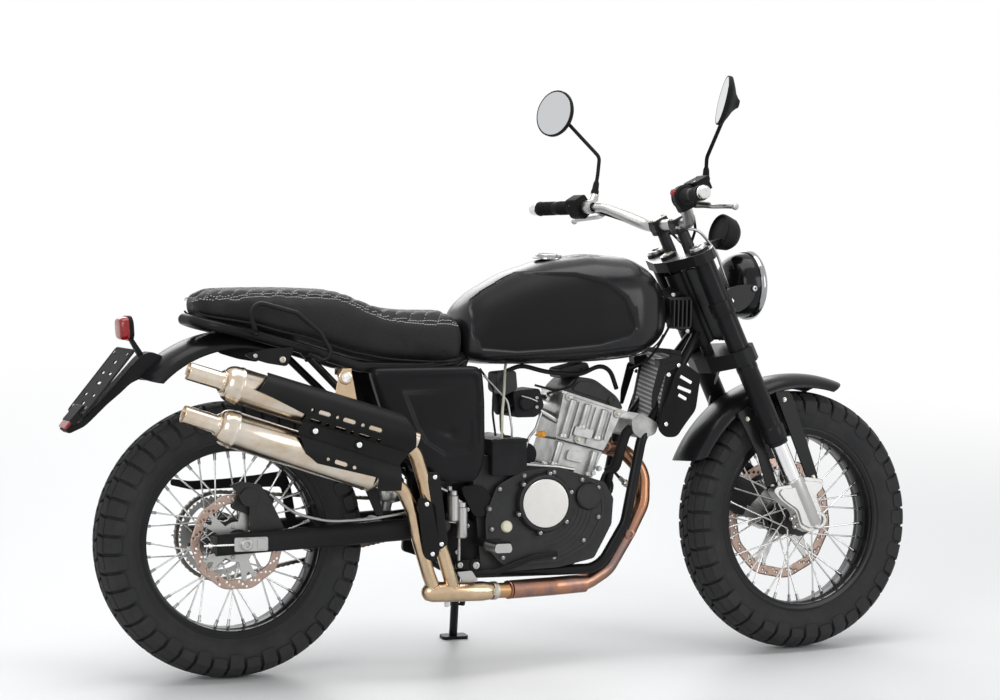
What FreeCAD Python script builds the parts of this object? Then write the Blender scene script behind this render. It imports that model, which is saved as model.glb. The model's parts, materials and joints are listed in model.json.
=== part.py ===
import FreeCAD, Part
import math
import os

from FreeCAD import Placement, Rotation, Vector

# A scrambler-styled cafe racer motorcycle, in millimetres.
# Every piece is drawn on the upright machine: X forward from the rear axle, Y to the rider's left,
# Z up from the floor. Pieces of the fork are drawn in the steering frame instead: X ahead of the
# steering axis, Z up along it, level with the front axle. At the end the fork is turned to its rest
# angle, the whole machine leans onto its side stand, and the origin goes to the bottom centre.

# Stance
wheelbase = 1455.0
rake = 24.5
axle_offset = 40.0
fork_offset = 28.0
steer_rest = 7.0
lean = 6.5

# Wheels and tyres
rear_tyre_radius = 320.0
rear_tyre_width = 138.0
front_tyre_radius = 316.0
front_tyre_width = 114.0
tread_depth = 9.0
centre_groove = 10.0
rear_lugs = 34
front_lugs = 32
lug_share = 0.72
rim_bead_radius = 216.0
rim_flange_radius = 229.0
rim_well_radius = 204.0
rim_wall = 4.0
rear_rim_width = 96.0
front_rim_width = 84.0
spoke_count = 36
spoke_radius = 2.2
nipple_gap = 1.15
axle_radius = 9.0
axle_bore_radius = 5.5
bearing_clearance = 0.15
skin_gap = 0.3

# Brakes and final drive
front_disc_radius = 150.0
rear_disc_radius = 112.0
disc_thickness = 4.0
disc_waves = 10
wave_depth = 5.0
slot_clearance = 1.2
front_disc_side = 62.0
rear_disc_side = 70.0
chain_side = 82.0
chain_pitch = 12.7
chain_width = 13.0
link_height = 12.0
link_waist = 8.6
chain_inside = 3.3
sprocket_thickness = 5.0
rear_teeth = 50
front_teeth = 15
front_sprocket_x = 545.0
front_sprocket_z = 352.0

# Frame and swingarm
head_radius = 27.0
stem_radius = 14.0
head_low = 500.0
head_high = 690.0
neck_back = 8.0
neck_low_up = 535.0
backbone_radius = 22.0
cradle_radius = 12.5
cradle_side = 75.0
cradle_low = 223.0
cradle_bend = 70.0
cradle_front = wheelbase - 445.0
rail_radius = 13.0
rail_side = 96.0
pivot_x = 490.0
pivot_z = 342.0
arm_side = 114.0
arm_half_width = 18.0
arm_half_height = 26.0
arm_tail = -66.0
rear_cradle_side = 56.0
pivot_plate_half = 6.0
pivot_bore_radius = 10.0
strut_low = (474.0, 440.0)
strut_high = (150.0, 756.0)
guard_side = 91.0
adjuster_thickness = 6.0

# Fork, headlamp and bars, in the steering frame
leg_side = 98.0
front_axle_reach = 128.0
clamp_half_width = 22.0
stay_thickness = 5.2
axle_clamp = [(-44, 120), (-30, 126), (6, 112), (52, 112), (84, 92), (97, 82), (92, 68), (62, 60), (60, 8), (44, -18),
              (8, -19), (-14, 6), (-8, 48), (-36, 92)]
upper_tube_radius = 25.5
chrome_tube_radius = 20.5
leg_top = 735.0
leg_collar = 236.0
crown_low = 432.0
crown_height = 38.0
yoke_low = 702.0
yoke_height = 26.0
bar_radius = 11.0
bar_clamp_radius = 14.3
bar_height = 800.0
bar_ahead = 36.0
bar_end_side = 390.0
bar_end_back = -72.0
bar_end_height = bar_height + 112.0
bar_bends = [(-8.0, 190.0, bar_height + 76.0), (-36.0, 238.0, bar_height + 92.0)]
grip_radius = 16.5
grip_length = 122.0
lamp_radius = 84.0
lamp_ahead = 172.0
lamp_height = yoke_low - 127.0

# Exhaust
header_radius = 18.0
riser_side = -156.0
upper_tip = (-152.0, -194.0, 721.0)
upper_joint = (392.0, -194.0, 551.0)
lower_tip = (-164.0, -194.0, 625.0)
lower_joint = (330.0, -194.0, 462.0)
silencer_tail = 96.0
riser_radius = 16.0
silencer_radius = 42.0
silencer_side = 194.0
tip_radius = 20.5
tip_wall = 2.0
shield_gap = 4.0
sheet = 3.0
shield_outline = [(-2, 676), (61, 745), (330, 660), (374, 571), (374, 538), (340, 500), (338, 440), (283, 440),
                  (283, 471), (137, 508), (112, 529), (95, 578), (112, 618)]
shield_screws = [(134, 581), (239, 547)]
valley_side = 228.0
hole_radius = 5.0

# Engine
cylinder_tilt = 18.0
case_half_width = 92.0
clutch_x = 742.0
clutch_z = 388.0
cylinder_foot = (842.0, 0.0, 452.0)
cylinder_height = 67.0
head_top = 175.0
head_half_width = 62.0
port_height = 100.0
pedal_pivot = (566.0, 256.0)
pedal_side = 114.0
peg_x = 588.0
peg_z = 300.0

# Bodywork: tank sections are (x, low, high, half width, belly height)
tank_sections = [
    (548, 736, 822, 62, 760),
    (560, 724, 846, 84, 768),
    (600, 716, 880, 108, 786),
    (680, 714, 929, 128, 806),
    (780, 714, 961, 140, 824),
    (890, 718, 974, 145, 838),
    (990, 728, 967, 138, 848),
    (1040, 750, 940, 114, 850),
    (1070, 770, 908, 84, 844),
    (1084, 790, 884, 60, 838),
]
tank_half_width = 145.0
knee_depth = 17.0
knee_panel = [(640, 760), (820, 752), (880, 800), (850, 900), (760, 900), (660, 860)]
cap_x = 800.0
cap_z = 962.0
seat_half_width = 122.0
seat_outline = [(-106, 848), (22, 818), (140, 786), (288, 738), (440, 722), (540, 720), (552, 760), (546, 826),
                (524, 840), (422, 838), (352, 844), (300, 866), (250, 886), (224, 890), (78, 894), (-54, 894), (-98, 872)]
cover_side = 152.0
cover_outline = [(282, 712), (574, 712), (582, 509), (560, 440), (470, 450), (367, 573)]
cover_inner = [(322, 692), (556, 692), (562, 512), (546, 462), (482, 470), (392, 582)]
hoop_side = 145.0
rear_guard_radius = 303.0
rear_guard_half_width = 78.0
front_guard_radius = 359.0
front_guard_half_width = 66.0
mirror_radius = 59.0
mirror_stem_radius = 5.0
left_mirror = (49.0, 350.0, bar_end_height + 208.0)
left_mirror_face = (-0.765, -0.319, 0.56)
right_mirror = (96.0, -350.0, bar_end_height + 165.0)
right_mirror_face = (-0.745, 0.25, 0.619)
gauge_ahead = 172.0
gauge_height = bar_height - 122.0
calliper_angle = 128.0
rear_calliper_angle = 68.0

# Side stand
stand_pivot = (608.0, 112.0, 232.0)
stand_foot = (650.0, 250.0)
stand_folded = (-0.99, 0.08, 0.06)
stand_leg_radius = 10.0
pin_radius = 8.0
pin_clearance = 0.05
floor_gap = 0.4


def turned(shape, axis, angle, centre=(0, 0, 0)):
    """A copy of the shape turned about an axis through a centre."""
    copy = shape.copy()
    copy.rotate(Vector(*centre), Vector(*axis), angle)
    return copy


def moved(shape, offset):
    copy = shape.copy()
    copy.translate(Vector(*offset))
    return copy


def both_sides(shape):
    """The shape and its mirror image in the machine's middle plane."""
    return [shape, shape.mirror(Vector(0, 0, 0), Vector(0, 1, 0))]


def joined(shapes):
    """One solid out of touching shapes."""
    first = shapes[0]
    whole = first.fuse(shapes[1:]) if len(shapes) > 1 else first
    return whole.removeSplitter()


def together(shapes):
    """Separate solids that share a node."""
    return Part.makeCompound([solid for shape in shapes for solid in shape.Solids])


def rod(start, end, radius):
    a, b = Vector(*start), Vector(*end)
    return Part.makeCylinder(radius, (b - a).Length, a, b - a)


def bent_path(points, bend):
    """Straight runs joined by tangent arcs of radius bend, or less where a run is short."""
    corners = [Vector(*p) for p in points]
    edges = []
    start = corners[0]
    for before, corner, after in zip(corners, corners[1:], corners[2:]):
        back = (before - corner).normalize()
        ahead = (after - corner).normalize()
        half = back.getAngle(ahead) / 2
        room = 0.48 * min((before - corner).Length, (after - corner).Length)
        cut = min(bend / math.tan(half), room)
        radius = cut * math.tan(half)
        middle = (back + ahead).normalize()
        centre = corner + middle * (radius / math.sin(half))
        first, last = corner + back * cut, corner + ahead * cut
        edges.append(Part.LineSegment(start, first).toShape())
        edges.append(Part.Arc(first, centre - middle * radius, last).toShape())
        start = last
    edges.append(Part.LineSegment(start, corners[-1]).toShape())
    return Part.Wire(edges)


def bent_tube(points, radius, bend=60.0):
    """A round bar along a bent path."""
    path = bent_path(points, bend)
    direction = (Vector(*points[1]) - Vector(*points[0])).normalize()
    ring = Part.Wire([Part.Circle(Vector(*points[0]), direction, radius).toShape()])
    return path.makePipeShell([ring], True, False)


def plate(outline, low, high, corner=0.0):
    """A flat plate with the outline (x, z), from y = low to y = high, its corners rounded."""
    wire = Part.makePolygon([Vector(x, low, z) for x, z in outline + outline[:1]])
    solid = Part.Face(wire).extrude(Vector(0, high - low, 0))
    if corner:
        upright = [
            e for e in solid.Edges
            if abs(abs(e.tangentAt(e.FirstParameter).y) - 1) < 1e-6
        ]
        solid = solid.makeFillet(corner, upright)
    return solid


def slab(outline, low, high, corner=0.0):
    """A flat plate with the outline (x, y), from z = low to z = high, its corners rounded."""
    wire = Part.makePolygon([Vector(x, y, low) for x, y in outline + outline[:1]])
    solid = Part.Face(wire).extrude(Vector(0, 0, high - low))
    if corner:
        upright = [
            e for e in solid.Edges
            if abs(abs(e.tangentAt(e.FirstParameter).z) - 1) < 1e-6
        ]
        solid = solid.makeFillet(corner, upright)
    return solid


def spun(profile, angle=360.0):
    """The profile, a list of (y, radius), spun about the Y axis."""
    points = [Vector(r, y, 0) for y, r in profile]
    face = Part.Face(Part.makePolygon(points + points[:1]))
    return face.revolve(Vector(0, 0, 0), Vector(0, 1, 0), angle)


def spun_along(profile, start, direction):
    """The profile, a list of (distance, radius), spun about a line from start."""
    points = [Vector(r, 0, s) for s, r in profile]
    face = Part.Face(Part.makePolygon(points + points[:1]))
    solid = face.revolve(Vector(0, 0, 0), Vector(0, 0, 1), 360)
    aim = Rotation(Vector(0, 0, 1), Vector(*direction))
    return solid.transformGeometry(Placement(Vector(*start), aim).toMatrix())


def on_angle(radius, angle, y=0.0):
    """A point at a radius and angle in the wheel's plane."""
    t = math.radians(angle)
    return (radius * math.cos(t), y, radius * math.sin(t))


# Wheels, each about its own axle at the origin


def tyre(radius, width, rim_width, lugs):
    """A block tyre in flat facets: the lugs' section and the groove's section take turns round it,
    and an upright wall closes each lug's end."""
    half, bead = width / 2, rim_width / 2 - rim_wall - skin_gap
    over = 1 / math.cos(math.radians(180.0 / lugs))
    wall = [(bead, (rim_bead_radius + skin_gap) * over), (bead, rim_flange_radius * over),
            (half, (rim_flange_radius + radius) / 2)]
    lug = [(half - 9, radius - 19), (half * 0.5, radius - 4.5), (centre_groove / 2, radius)]
    groove = [(half - 15, radius - 19 - tread_depth * 0.6), (half * 0.5, radius - 4.5 - tread_depth)]
    floor = [(centre_groove / 2, radius - tread_depth)]
    low, high = wall + groove + floor, wall + lug + floor
    bump = wall[-1:] + lug + floor + groove[::-1]

    def ring(section, angle):
        side = [Vector(*on_angle(r, angle, y)) for y, r in section]
        return side + [Vector(*on_angle(r, angle, -y)) for y, r in reversed(section)]

    faces = []
    step = 360.0 / lugs
    for i in range(lugs):
        start = i * step
        for section, first, last in ((high, start, start + lug_share * step), (low, start + lug_share * step, start + step)):
            here, there = ring(section, first), ring(section, last)
            for k in range(len(here)):
                after = (k + 1) % len(here)
                faces.append(flat_face([here[k], here[after], there[after], there[k]]))
        for angle in (start, start + lug_share * step):
            for side in (1, -1):
                faces.append(flat_face([Vector(*on_angle(r, angle, side * y)) for y, r in bump]))
    return Part.makeSolid(Part.makeShell(faces))


def flat_face(points):
    return Part.Face(Part.makePolygon(points + points[:1]))


def rim(width):
    """A drop-centre rim, open to the tyre, with rolled flanges."""
    half = width / 2
    outer = [
        (-half, rim_flange_radius),
        (-half + rim_wall, rim_flange_radius),
        (-half + rim_wall, rim_bead_radius),
        (-half + 18, rim_bead_radius - 2),
        (-half + 26, rim_well_radius + rim_wall),
    ]
    inner = [
        (-half + 24, rim_well_radius),
        (-half + 14, rim_bead_radius - rim_wall - 3),
        (-half, rim_bead_radius - rim_wall),
    ]
    profile = outer + [(-y, r) for y, r in reversed(outer)]
    profile += [(-y, r) for y, r in reversed(inner)] + inner
    return spun(profile)


def spokes(hub_radius, hub_side, reach):
    """Crossed spokes from the hub's flanges to the rim's well, with a nipple at each outer end."""
    shapes = []
    step = 360.0 / spoke_count
    for i in range(spoke_count):
        side = 1 if i % 2 else -1
        lean_way = 1 if (i // 2) % 2 else -1
        outer = i * step
        inner = outer + lean_way * reach
        start = on_angle(hub_radius, inner, side * hub_side)
        end = on_angle(rim_well_radius - nipple_gap, outer, side * 7.0)
        a, b = Vector(*start), Vector(*end)
        neck = b + (a - b).normalize() * 16
        shapes.append(rod(start, (neck.x, neck.y, neck.z), spoke_radius).fuse(
            rod((neck.x, neck.y, neck.z), end, spoke_radius + 1.6)).removeSplitter())
    return together(shapes)


def brake_disc(radius, side, hub_radius, arms, band):
    """A disc with a waved rim on a spider of arms."""
    low = side - disc_thickness / 2
    ring = Part.makeCylinder(radius, disc_thickness, Vector(0, low, 0), Vector(0, 1, 0))
    ring = ring.cut(Part.makeCylinder(radius - band, disc_thickness, Vector(0, low, 0), Vector(0, 1, 0)))
    bite = 0.16 * radius
    for i in range(disc_waves):
        x, _, z = on_angle(radius + bite - wave_depth, i * 360.0 / disc_waves)
        ring = ring.cut(Part.makeCylinder(bite, disc_thickness, Vector(x, low, z), Vector(0, 1, 0)))
    middle = Part.makeCylinder(hub_radius + 14, disc_thickness, Vector(0, low, 0), Vector(0, 1, 0))
    middle = middle.cut(Part.makeCylinder(hub_radius, disc_thickness, Vector(0, low, 0), Vector(0, 1, 0)))
    shapes = [ring, middle]
    outline = [(hub_radius + 8, -9), (radius - band + 4, -16), (radius - band + 4, 2), (hub_radius + 8, 9)]
    for i in range(arms):
        shapes.append(turned(plate(outline, low, low + disc_thickness), (0, 1, 0), i * 360.0 / arms))
    return joined(shapes)


def calliper(radius, side, angle, half_width, reach):
    """A two-piston calliper over the disc's rim, with a slot the disc runs in."""
    inner, outer = radius - 46, radius + 22
    block = plate([(inner, -44), (outer - 14, -44), (outer, -26), (outer, 26), (outer - 14, 44), (inner, 44)],
                  side - half_width, side + half_width, 9)
    slot_half = disc_thickness / 2 + slot_clearance
    slot = Part.makeBox(radius + 7 - inner, 2 * slot_half, 120, Vector(inner - 1, side - slot_half, -60))
    block = block.cut(slot)
    face = side + math.copysign(half_width, side)
    for lift in (-20, 20):
        start = Vector(radius - 22, face - (reach if side < 0 else 0), lift)
        block = block.fuse(Part.makeCylinder(15, reach, start, Vector(0, 1, 0)))
    return turned(block.removeSplitter(), (0, 1, 0), -angle)


def sprocket(teeth, side, thickness, bore, below=5.0):
    """A toothed ring whose tips stay inside the chain's rollers."""
    pitch_radius = chain_pitch / (2 * math.sin(math.pi / teeth))
    tip, root = pitch_radius - below, pitch_radius - below - 4.5
    outline = []
    for i in range(teeth):
        for share, radius in ((0.0, root), (0.3, root), (0.5, tip), (0.8, tip)):
            x, _, z = on_angle(radius, (i + share) * 360.0 / teeth)
            outline.append((x, z))
    disc = plate(outline, side - thickness / 2, side + thickness / 2)
    return disc.cut(Part.makeCylinder(bore, thickness, Vector(0, side - thickness / 2, 0), Vector(0, 1, 0)))


def rear_sprocket():
    """The rear sprocket, lightened between five arms."""
    disc = sprocket(rear_teeth, chain_side, sprocket_thickness, 33.0)
    window = [(56, -15), (80, -20), (82, 0), (80, 20), (56, 15)]
    for i in range(5):
        disc = disc.cut(turned(plate(window, chain_side - 4, chain_side + 4), (0, 1, 0), i * 72.0))
    return disc


def at_rear_axle(shape):
    return moved(shape, (0, 0, rear_tyre_radius))


# Frame


def steering_point(ahead, side, up):
    """A point of the steering frame, on the upright machine."""
    r = math.radians(rake)
    x0 = wheelbase - axle_offset * math.cos(r)
    z0 = front_tyre_radius - axle_offset * math.sin(r)
    return (x0 + ahead * math.cos(r) - up * math.sin(r), side, z0 + ahead * math.sin(r) + up * math.cos(r))


def on_machine(shape):
    """A shape of the steering frame, put on the upright machine with the fork straight ahead."""
    placed = turned(shape, (0, 1, 0), -rake)
    return moved(placed, steering_point(0, 0, 0))


rail_path = [
    (566, 52, 738),
    (520, rail_side - 6, 722),
    (440, rail_side, 712),
    (290, rail_side, 717),
    (140, rail_side + 2, 765),
    (20, rail_side, 798),
    (-112, rail_side - 6, 831),
    (-124, 0, 834),
]


def rail_tube(radius):
    return bent_tube(rail_path, radius, 60)


def cradle_path():
    """The cradle tube's corners on the left, from the head tube down, under the engine and up again."""
    neck_low = steering_point(-neck_back, 0, neck_low_up)
    return [
        (neck_low[0], 12, neck_low[2]),
        (cradle_front, cradle_side, 530),
        (cradle_front - 42, cradle_side, 330),
        (cradle_front - 110, cradle_side, cradle_low),
        (560, rear_cradle_side, cradle_low),
        (484, rear_cradle_side, 268),
        (468, rear_cradle_side, 470),
        (566, 50, 738),
        (590, 8, 742),
    ]


def main_frame():
    """Head tube, backbone, double cradle and pivot plates, with the stand's lug."""
    head = rod(steering_point(0, 0, head_low), steering_point(0, 0, head_high), head_radius)
    bore = rod(steering_point(0, 0, head_low - 5), steering_point(0, 0, head_high + 5), stem_radius + pin_clearance)
    neck_high = steering_point(-10, 0, 640)
    backbone = bent_tube([neck_high, (905, 0, 800), (566, 0, 738)], backbone_radius, 200)
    cradle = bent_tube(cradle_path(), cradle_radius, cradle_bend)
    pivot_plate = plate(
        [(446, 270), (540, 238), (556, 330), (522, 430), (470, 440), (452, 352)],
        rear_cradle_side - pivot_plate_half, rear_cradle_side + pivot_plate_half, 12)
    tubes = [backbone]
    for shape in (cradle, pivot_plate):
        tubes += both_sides(shape)
    neck = steering_point(-neck_back, 0, neck_low_up)[0]
    tubes.append(plate([(neck - 150, 842), (neck - 40, 872), (neck - 14, 800), (neck - 40, 782)], -3, 3))
    tubes.append(rod((566, -rear_cradle_side, cradle_low), (566, rear_cradle_side, cradle_low), 10))
    tubes.append(rod((468, -rear_cradle_side, 470), (468, rear_cradle_side, 470), 12))
    tubes.append(stand_lug())
    whole = joined([head] + tubes).cut(bore)
    pivot = Part.makeCylinder(pivot_bore_radius, 400, Vector(pivot_x, -200, pivot_z), Vector(0, 1, 0))
    return whole.cut(pivot)


def rear_frame():
    """The seat rails with their rear loop, a cross tube and the struts down to the pivot plates."""
    strut = rod((strut_low[0], rear_cradle_side, strut_low[1]), (strut_high[0], rail_side, strut_high[1]), 9.0)
    tubes = both_sides(rail_tube(rail_radius)) + both_sides(strut)
    tubes.append(rod((60, -rail_side, 787), (60, rail_side, 787), 8))
    return joined(tubes)


def oval_bar(start, end, half_width, half_height):
    """A bar with an upright oval section between two points of one fore-and-aft plane."""
    a, b = Vector(*start), Vector(*end)
    aim = Rotation(Vector(1, 0, 0), b - a)
    oval = Part.Ellipse(Vector(0, 0, 0), half_height, half_width).toShape()
    oval.rotate(Vector(0, 0, 0), Vector(0, 1, 0), 90)
    solid = Part.Face(Part.Wire([oval])).extrude(Vector((b - a).Length, 0, 0))
    return solid.transformGeometry(Placement(a, aim).toMatrix())


def swingarm():
    """Two oval arms with a cross tube ahead of the tyre, ears that reach the pivot bolt, and the chain's guard."""
    arm = oval_bar((arm_tail, arm_side, rear_tyre_radius - 2), (440, arm_side, pivot_z - 2), arm_half_width, arm_half_height)
    ear = plate([(400, 318), (480, 318), (512, 342), (480, 366), (400, 358)], arm_side - arm_half_width, arm_side - 8, 8)
    shapes = both_sides(arm) + both_sides(ear)
    shapes.append(rod((382, -arm_side, pivot_z - 5), (382, arm_side, pivot_z - 5), 17))
    shapes.append(plate([(372, 334), (398, 334), (398, 372), (372, 372)], -14, 14, 6))
    shapes.append(chain_guard())
    whole = joined(shapes)
    for side in (-1, 1):
        axle = Part.makeCylinder(axle_radius + 0.2, 80, Vector(0, side * arm_side - 40, rear_tyre_radius), Vector(0, 1, 0))
        whole = whole.cut(axle)
    return whole.cut(Part.makeCylinder(pivot_bore_radius, 400, Vector(pivot_x, -200, pivot_z), Vector(0, 1, 0)))


def chain_guard():
    """A thin plate over the chain's upper run, with its foot on the left arm."""
    outline = [(-114, 440), (-112, 458), (-64, 450), (20, 453), (93, 459), (167, 468), (182, 430), (196, 350),
               (168, 350), (156, 430), (60, 430), (-60, 428)]
    foot = plate([(170, 356), (194, 356), (194, 336), (170, 336)], guard_side, arm_side - 8)
    return joined([plate(outline, guard_side, guard_side + sheet), foot])


def rear_axle_set():
    """The hollow rear axle with its adjuster plates, bolts and nuts, and the swingarm's pivot bolt."""
    plate_face = arm_side + arm_half_width + 0.1
    reach = plate_face + adjuster_thickness + 9
    shapes = [Part.makeCylinder(axle_radius, 2 * reach, Vector(0, -reach, rear_tyre_radius), Vector(0, 1, 0))]
    for side in (-1, 1):
        low, high = sorted((side * plate_face, side * (plate_face + adjuster_thickness)))
        adjuster = plate([(-28, 303), (52, 303), (52, 337), (-28, 337)], low, high, 5)
        middle = (low + high) / 2
        bolt = rod((-28, middle, rear_tyre_radius), (arm_tail - 34, middle, rear_tyre_radius), 2.8)
        cap = plate([(arm_tail - 8, 300), (arm_tail - 2, 300), (arm_tail - 2, 340), (arm_tail - 8, 340)],
                    *sorted((side * (arm_side - 14), side * (plate_face + adjuster_thickness))))
        nut_low, nut_high = sorted((side * (plate_face + adjuster_thickness), side * reach))
        nut = Part.makeCylinder(14, nut_high - nut_low, Vector(0, nut_low, rear_tyre_radius), Vector(0, 1, 0))
        shapes += [adjuster, nut, bolt, cap]
    hollow = Part.makeCylinder(axle_bore_radius, 2 * reach, Vector(0, -reach, rear_tyre_radius), Vector(0, 1, 0))
    pivot = Part.makeCylinder(9.7, 2 * arm_side, Vector(pivot_x, -arm_side, pivot_z), Vector(0, 1, 0))
    caps = [Part.makeCylinder(16, 8, Vector(pivot_x, side * (arm_side - 4) - 4, pivot_z), Vector(0, 1, 0)) for side in (-1, 1)]
    return together([joined(shapes).cut(hollow), joined([pivot] + caps)])


def rear_shock():
    """The single spring leg behind the engine."""
    low, high = (385, 0, 372.3), (430, 0, 690)
    a, b = Vector(*low), Vector(*high)
    length = (b - a).Length
    body = spun_along([(0, 0), (0, 12), (24, 12), (24, 30), (34, 30), (34, 20), (length - 60, 20), (length - 60, 31),
                       (length - 46, 31), (length - 46, 13), (length, 13), (length, 0)], low, tuple(b - a))
    coils = []
    for i in range(6):
        at = a + (b - a) * ((58 + 34 * i) / length)
        ring = Part.makeTorus(32, 6.5, at, b - a)
        coils.append(ring)
    return joined([body] + coils)


# Engine


def tilted(shape):
    """From the cylinder's own frame, its axis upright, to its place on the crankcase."""
    return moved(turned(shape, (0, 1, 0), cylinder_tilt), cylinder_foot)


def crankcase():
    """The case halves with the gearbox, sump and a starter bulge, closed by a deck for the cylinder."""
    outline = [(548, 300), (566, 240), (640, 226), (790, 232), (880, 250), (925, 330), (930, 392), (904, 436),
               (776, 478), (700, 470), (640, 505), (560, 500), (536, 440)]
    case = plate(outline, -case_half_width, case_half_width - 6, 16)
    case = case.cut(plate([(480, 200), (590, 200), (590, 240), (560, 560), (480, 560)], rear_cradle_side - 14, 200))
    case = case.cut(plate([(480, 200), (590, 200), (590, 240), (560, 560), (480, 560)], -200, 14 - rear_cradle_side))
    left = Part.makeCylinder(72, 30, Vector(820, case_half_width - 7, 350), Vector(0, 1, 0))
    left = left.makeFillet(9, [e for e in left.Edges if e.CenterOfMass.y > case_half_width + 5])
    sprocket_cover = plate([(500, 300), (600, 286), (650, 330), (640, 402), (560, 420), (500, 396)],
                           chain_side + 12, chain_side + 30, 10)
    cover_wall = plate([(592, 296), (650, 330), (640, 402), (592, 410)], case_half_width - 7, chain_side + 30, 8)
    starter = Part.makeCylinder(27, 120, Vector(668, -60, 520), Vector(0, 1, 0))
    boss = plate([(640, 480), (696, 470), (690, 520), (646, 520)], -50, 50)
    deck_cut = tilted(Part.makeBox(260, 300, 80, Vector(-130, -150, 0)))
    whole = joined([case, boss]).cut(deck_cut)
    whole = joined([whole, left, sprocket_cover, cover_wall, starter])
    room = Part.makeCylinder(44, 24, Vector(front_sprocket_x, chain_side - 12, front_sprocket_z), Vector(0, 1, 0))
    shaft = Part.makeCylinder(13, chain_side, Vector(front_sprocket_x, 0, front_sprocket_z), Vector(0, 1, 0))
    wheel = moved(sprocket(front_teeth, chain_side, 5.0, 5.0, 3.9), (front_sprocket_x, 0, front_sprocket_z))
    return joined([whole.cut(room), shaft, wheel])


def frame_room():
    """The space the cradle's lower tubes take with their clearance, on both sides."""
    room = bent_tube([(1010, cradle_side, 530), (968, cradle_side, 330), (900, cradle_side, cradle_low),
                      (560, rear_cradle_side, cradle_low), (500, rear_cradle_side, cradle_low)],
                     cradle_radius + 1, 70)
    return joined(both_sides(room))


def clutch_cover():
    """The right-hand cover with the raised round clutch lid and a small oil-filter lid."""
    start = -case_half_width
    outline = [(600, 290), (640, 246), (780, 250), (860, 290), (898, 360), (890, 420), (850, 446), (770, 470),
               (690, 462), (626, 430), (598, 360)]
    base = plate(outline, start - 16, start, 14)
    lid = spun([(-start + 14, 0), (-start + 14, 66), (-start + 28, 66), (-start + 33, 60), (-start + 33, 0)])
    lid = moved(turned(lid, (0, 0, 1), 180), (clutch_x, 0, clutch_z))
    small = spun([(-start + 14, 0), (-start + 14, 30), (-start + 24, 30), (-start + 27, 26), (-start + 27, 0)])
    small = moved(turned(small, (0, 0, 1), 180), (856, 0, 400))
    return joined([base, lid, small])


def cylinder():
    """The plain water-cooled barrel, its axis upright here."""
    outline = [(-62, 0), (-73, cylinder_height - 3), (55, cylinder_height + 3), (47, 0)]
    core = plate(outline, -head_half_width, head_half_width, 4)
    columns = []
    for x, low, high in ((-60, 4, cylinder_height - 6), (34, 4, cylinder_height - 4)):
        for side in (-1, 1):
            columns.append(rod((x, side * head_half_width, low), (x, side * head_half_width, high), 9))
    return tilted(joined([core] + columns))


def cylinder_head():
    """The head with its bolt columns and the cam cover over it, its axis upright here."""
    base = cylinder_height
    core = [(-73, base - 3), (-79, base + 26), (-86, head_top), (74, head_top), (60, base + 25), (55, base + 3)]
    head = plate(core, -head_half_width, head_half_width, 4)
    cover = [(-75, head_top - 2), (-75, head_top + 10), (-62, head_top + 48), (-18, head_top + 56), (56, head_top + 30),
             (76, head_top - 2)]
    top = plate(cover, 4 - head_half_width, head_half_width - 4, 3)
    port = rod((56, 0, port_height + 3), (72, 0, port_height - 6), 24)
    columns = []
    for x in (-58, -18, 28):
        for side in (-1, 1):
            columns.append(rod((x, side * head_half_width, base + 10), (x, side * head_half_width, head_top - 8), 9.5))
    return tilted(joined([head, top, port] + columns))


def intake():
    """Throttle body, inlet stub and air-box with its rubber boot, behind the head."""
    a = tilted_point(-76, 0, head_top - 32)
    body = rod(a, (a[0] - 56, 0, a[2] + 18), 23)
    throttle = rod((a[0] - 56, 0, a[2] + 18), (a[0] - 122, 0, a[2] + 30), 30)
    motor = rod((a[0] - 90, -62, a[2] + 24), (a[0] - 90, 62, a[2] + 24), 17)
    boot = rod((a[0] - 122, 0, a[2] + 30), (a[0] - 176, 0, a[2] + 30), 34)
    box = plate([(496, 560), (640, 540), (660, 660), (600, 700), (500, 690)], -56, 56, 14)
    return joined([body, throttle, motor, boot, box])


def tilted_point(x, y, z):
    t = math.radians(cylinder_tilt)
    fx, fy, fz = cylinder_foot
    return (fx + x * math.cos(t) + z * math.sin(t), fy + y, fz - x * math.sin(t) + z * math.cos(t))


# Exhaust


header_path = [
    (992, -12, 498),
    (1036, -26, 448),
    (1030, -36, 372),
    (992, -40, 304),
    (934, -46, 218),
    (876, -56, 188),
    (780, -72, 184),
    (650, -118, 186),
    (596, -132, 188),
]


def header():
    """The exhaust's down pipe, from the head's port to the collector under the engine."""
    start = tilted_point(72, 0, port_height - 6)
    before = tilted_point(90, 0, port_height - 16)
    points = [start, before] + header_path
    pipe = bent_tube(points, header_radius, 70)
    flange = rod(start, before, header_radius + 7)
    return joined([pipe, flange])


def collector_and_risers():
    """The collector with a domed end, and the two pipes that climb from it to the silencers."""
    body = spun_along([(0, 0), (0, 20), (14, 30), (150, 30), (164, 24), (172, 10), (174, 0)],
                      (598, -133, 188), (-0.995, -0.07, 0.03))
    upper = bent_tube(
        [(500, -143, 200), (488, -150, 230), (444, riser_side, 366), (420, riser_side, 452),
         (394, -172, 520), (350, -silencer_side, 562)], riser_radius, 55)
    lower = bent_tube(
        [(452, -146, 200), (436, -152, 236), (410, riser_side, 318), (396, riser_side, 384),
         (362, -176, 440), (310, -silencer_side, 466)], riser_radius, 50)
    return body, upper, lower


def risers():
    body, upper, lower = collector_and_risers()
    return joined([body, upper, lower])


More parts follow.
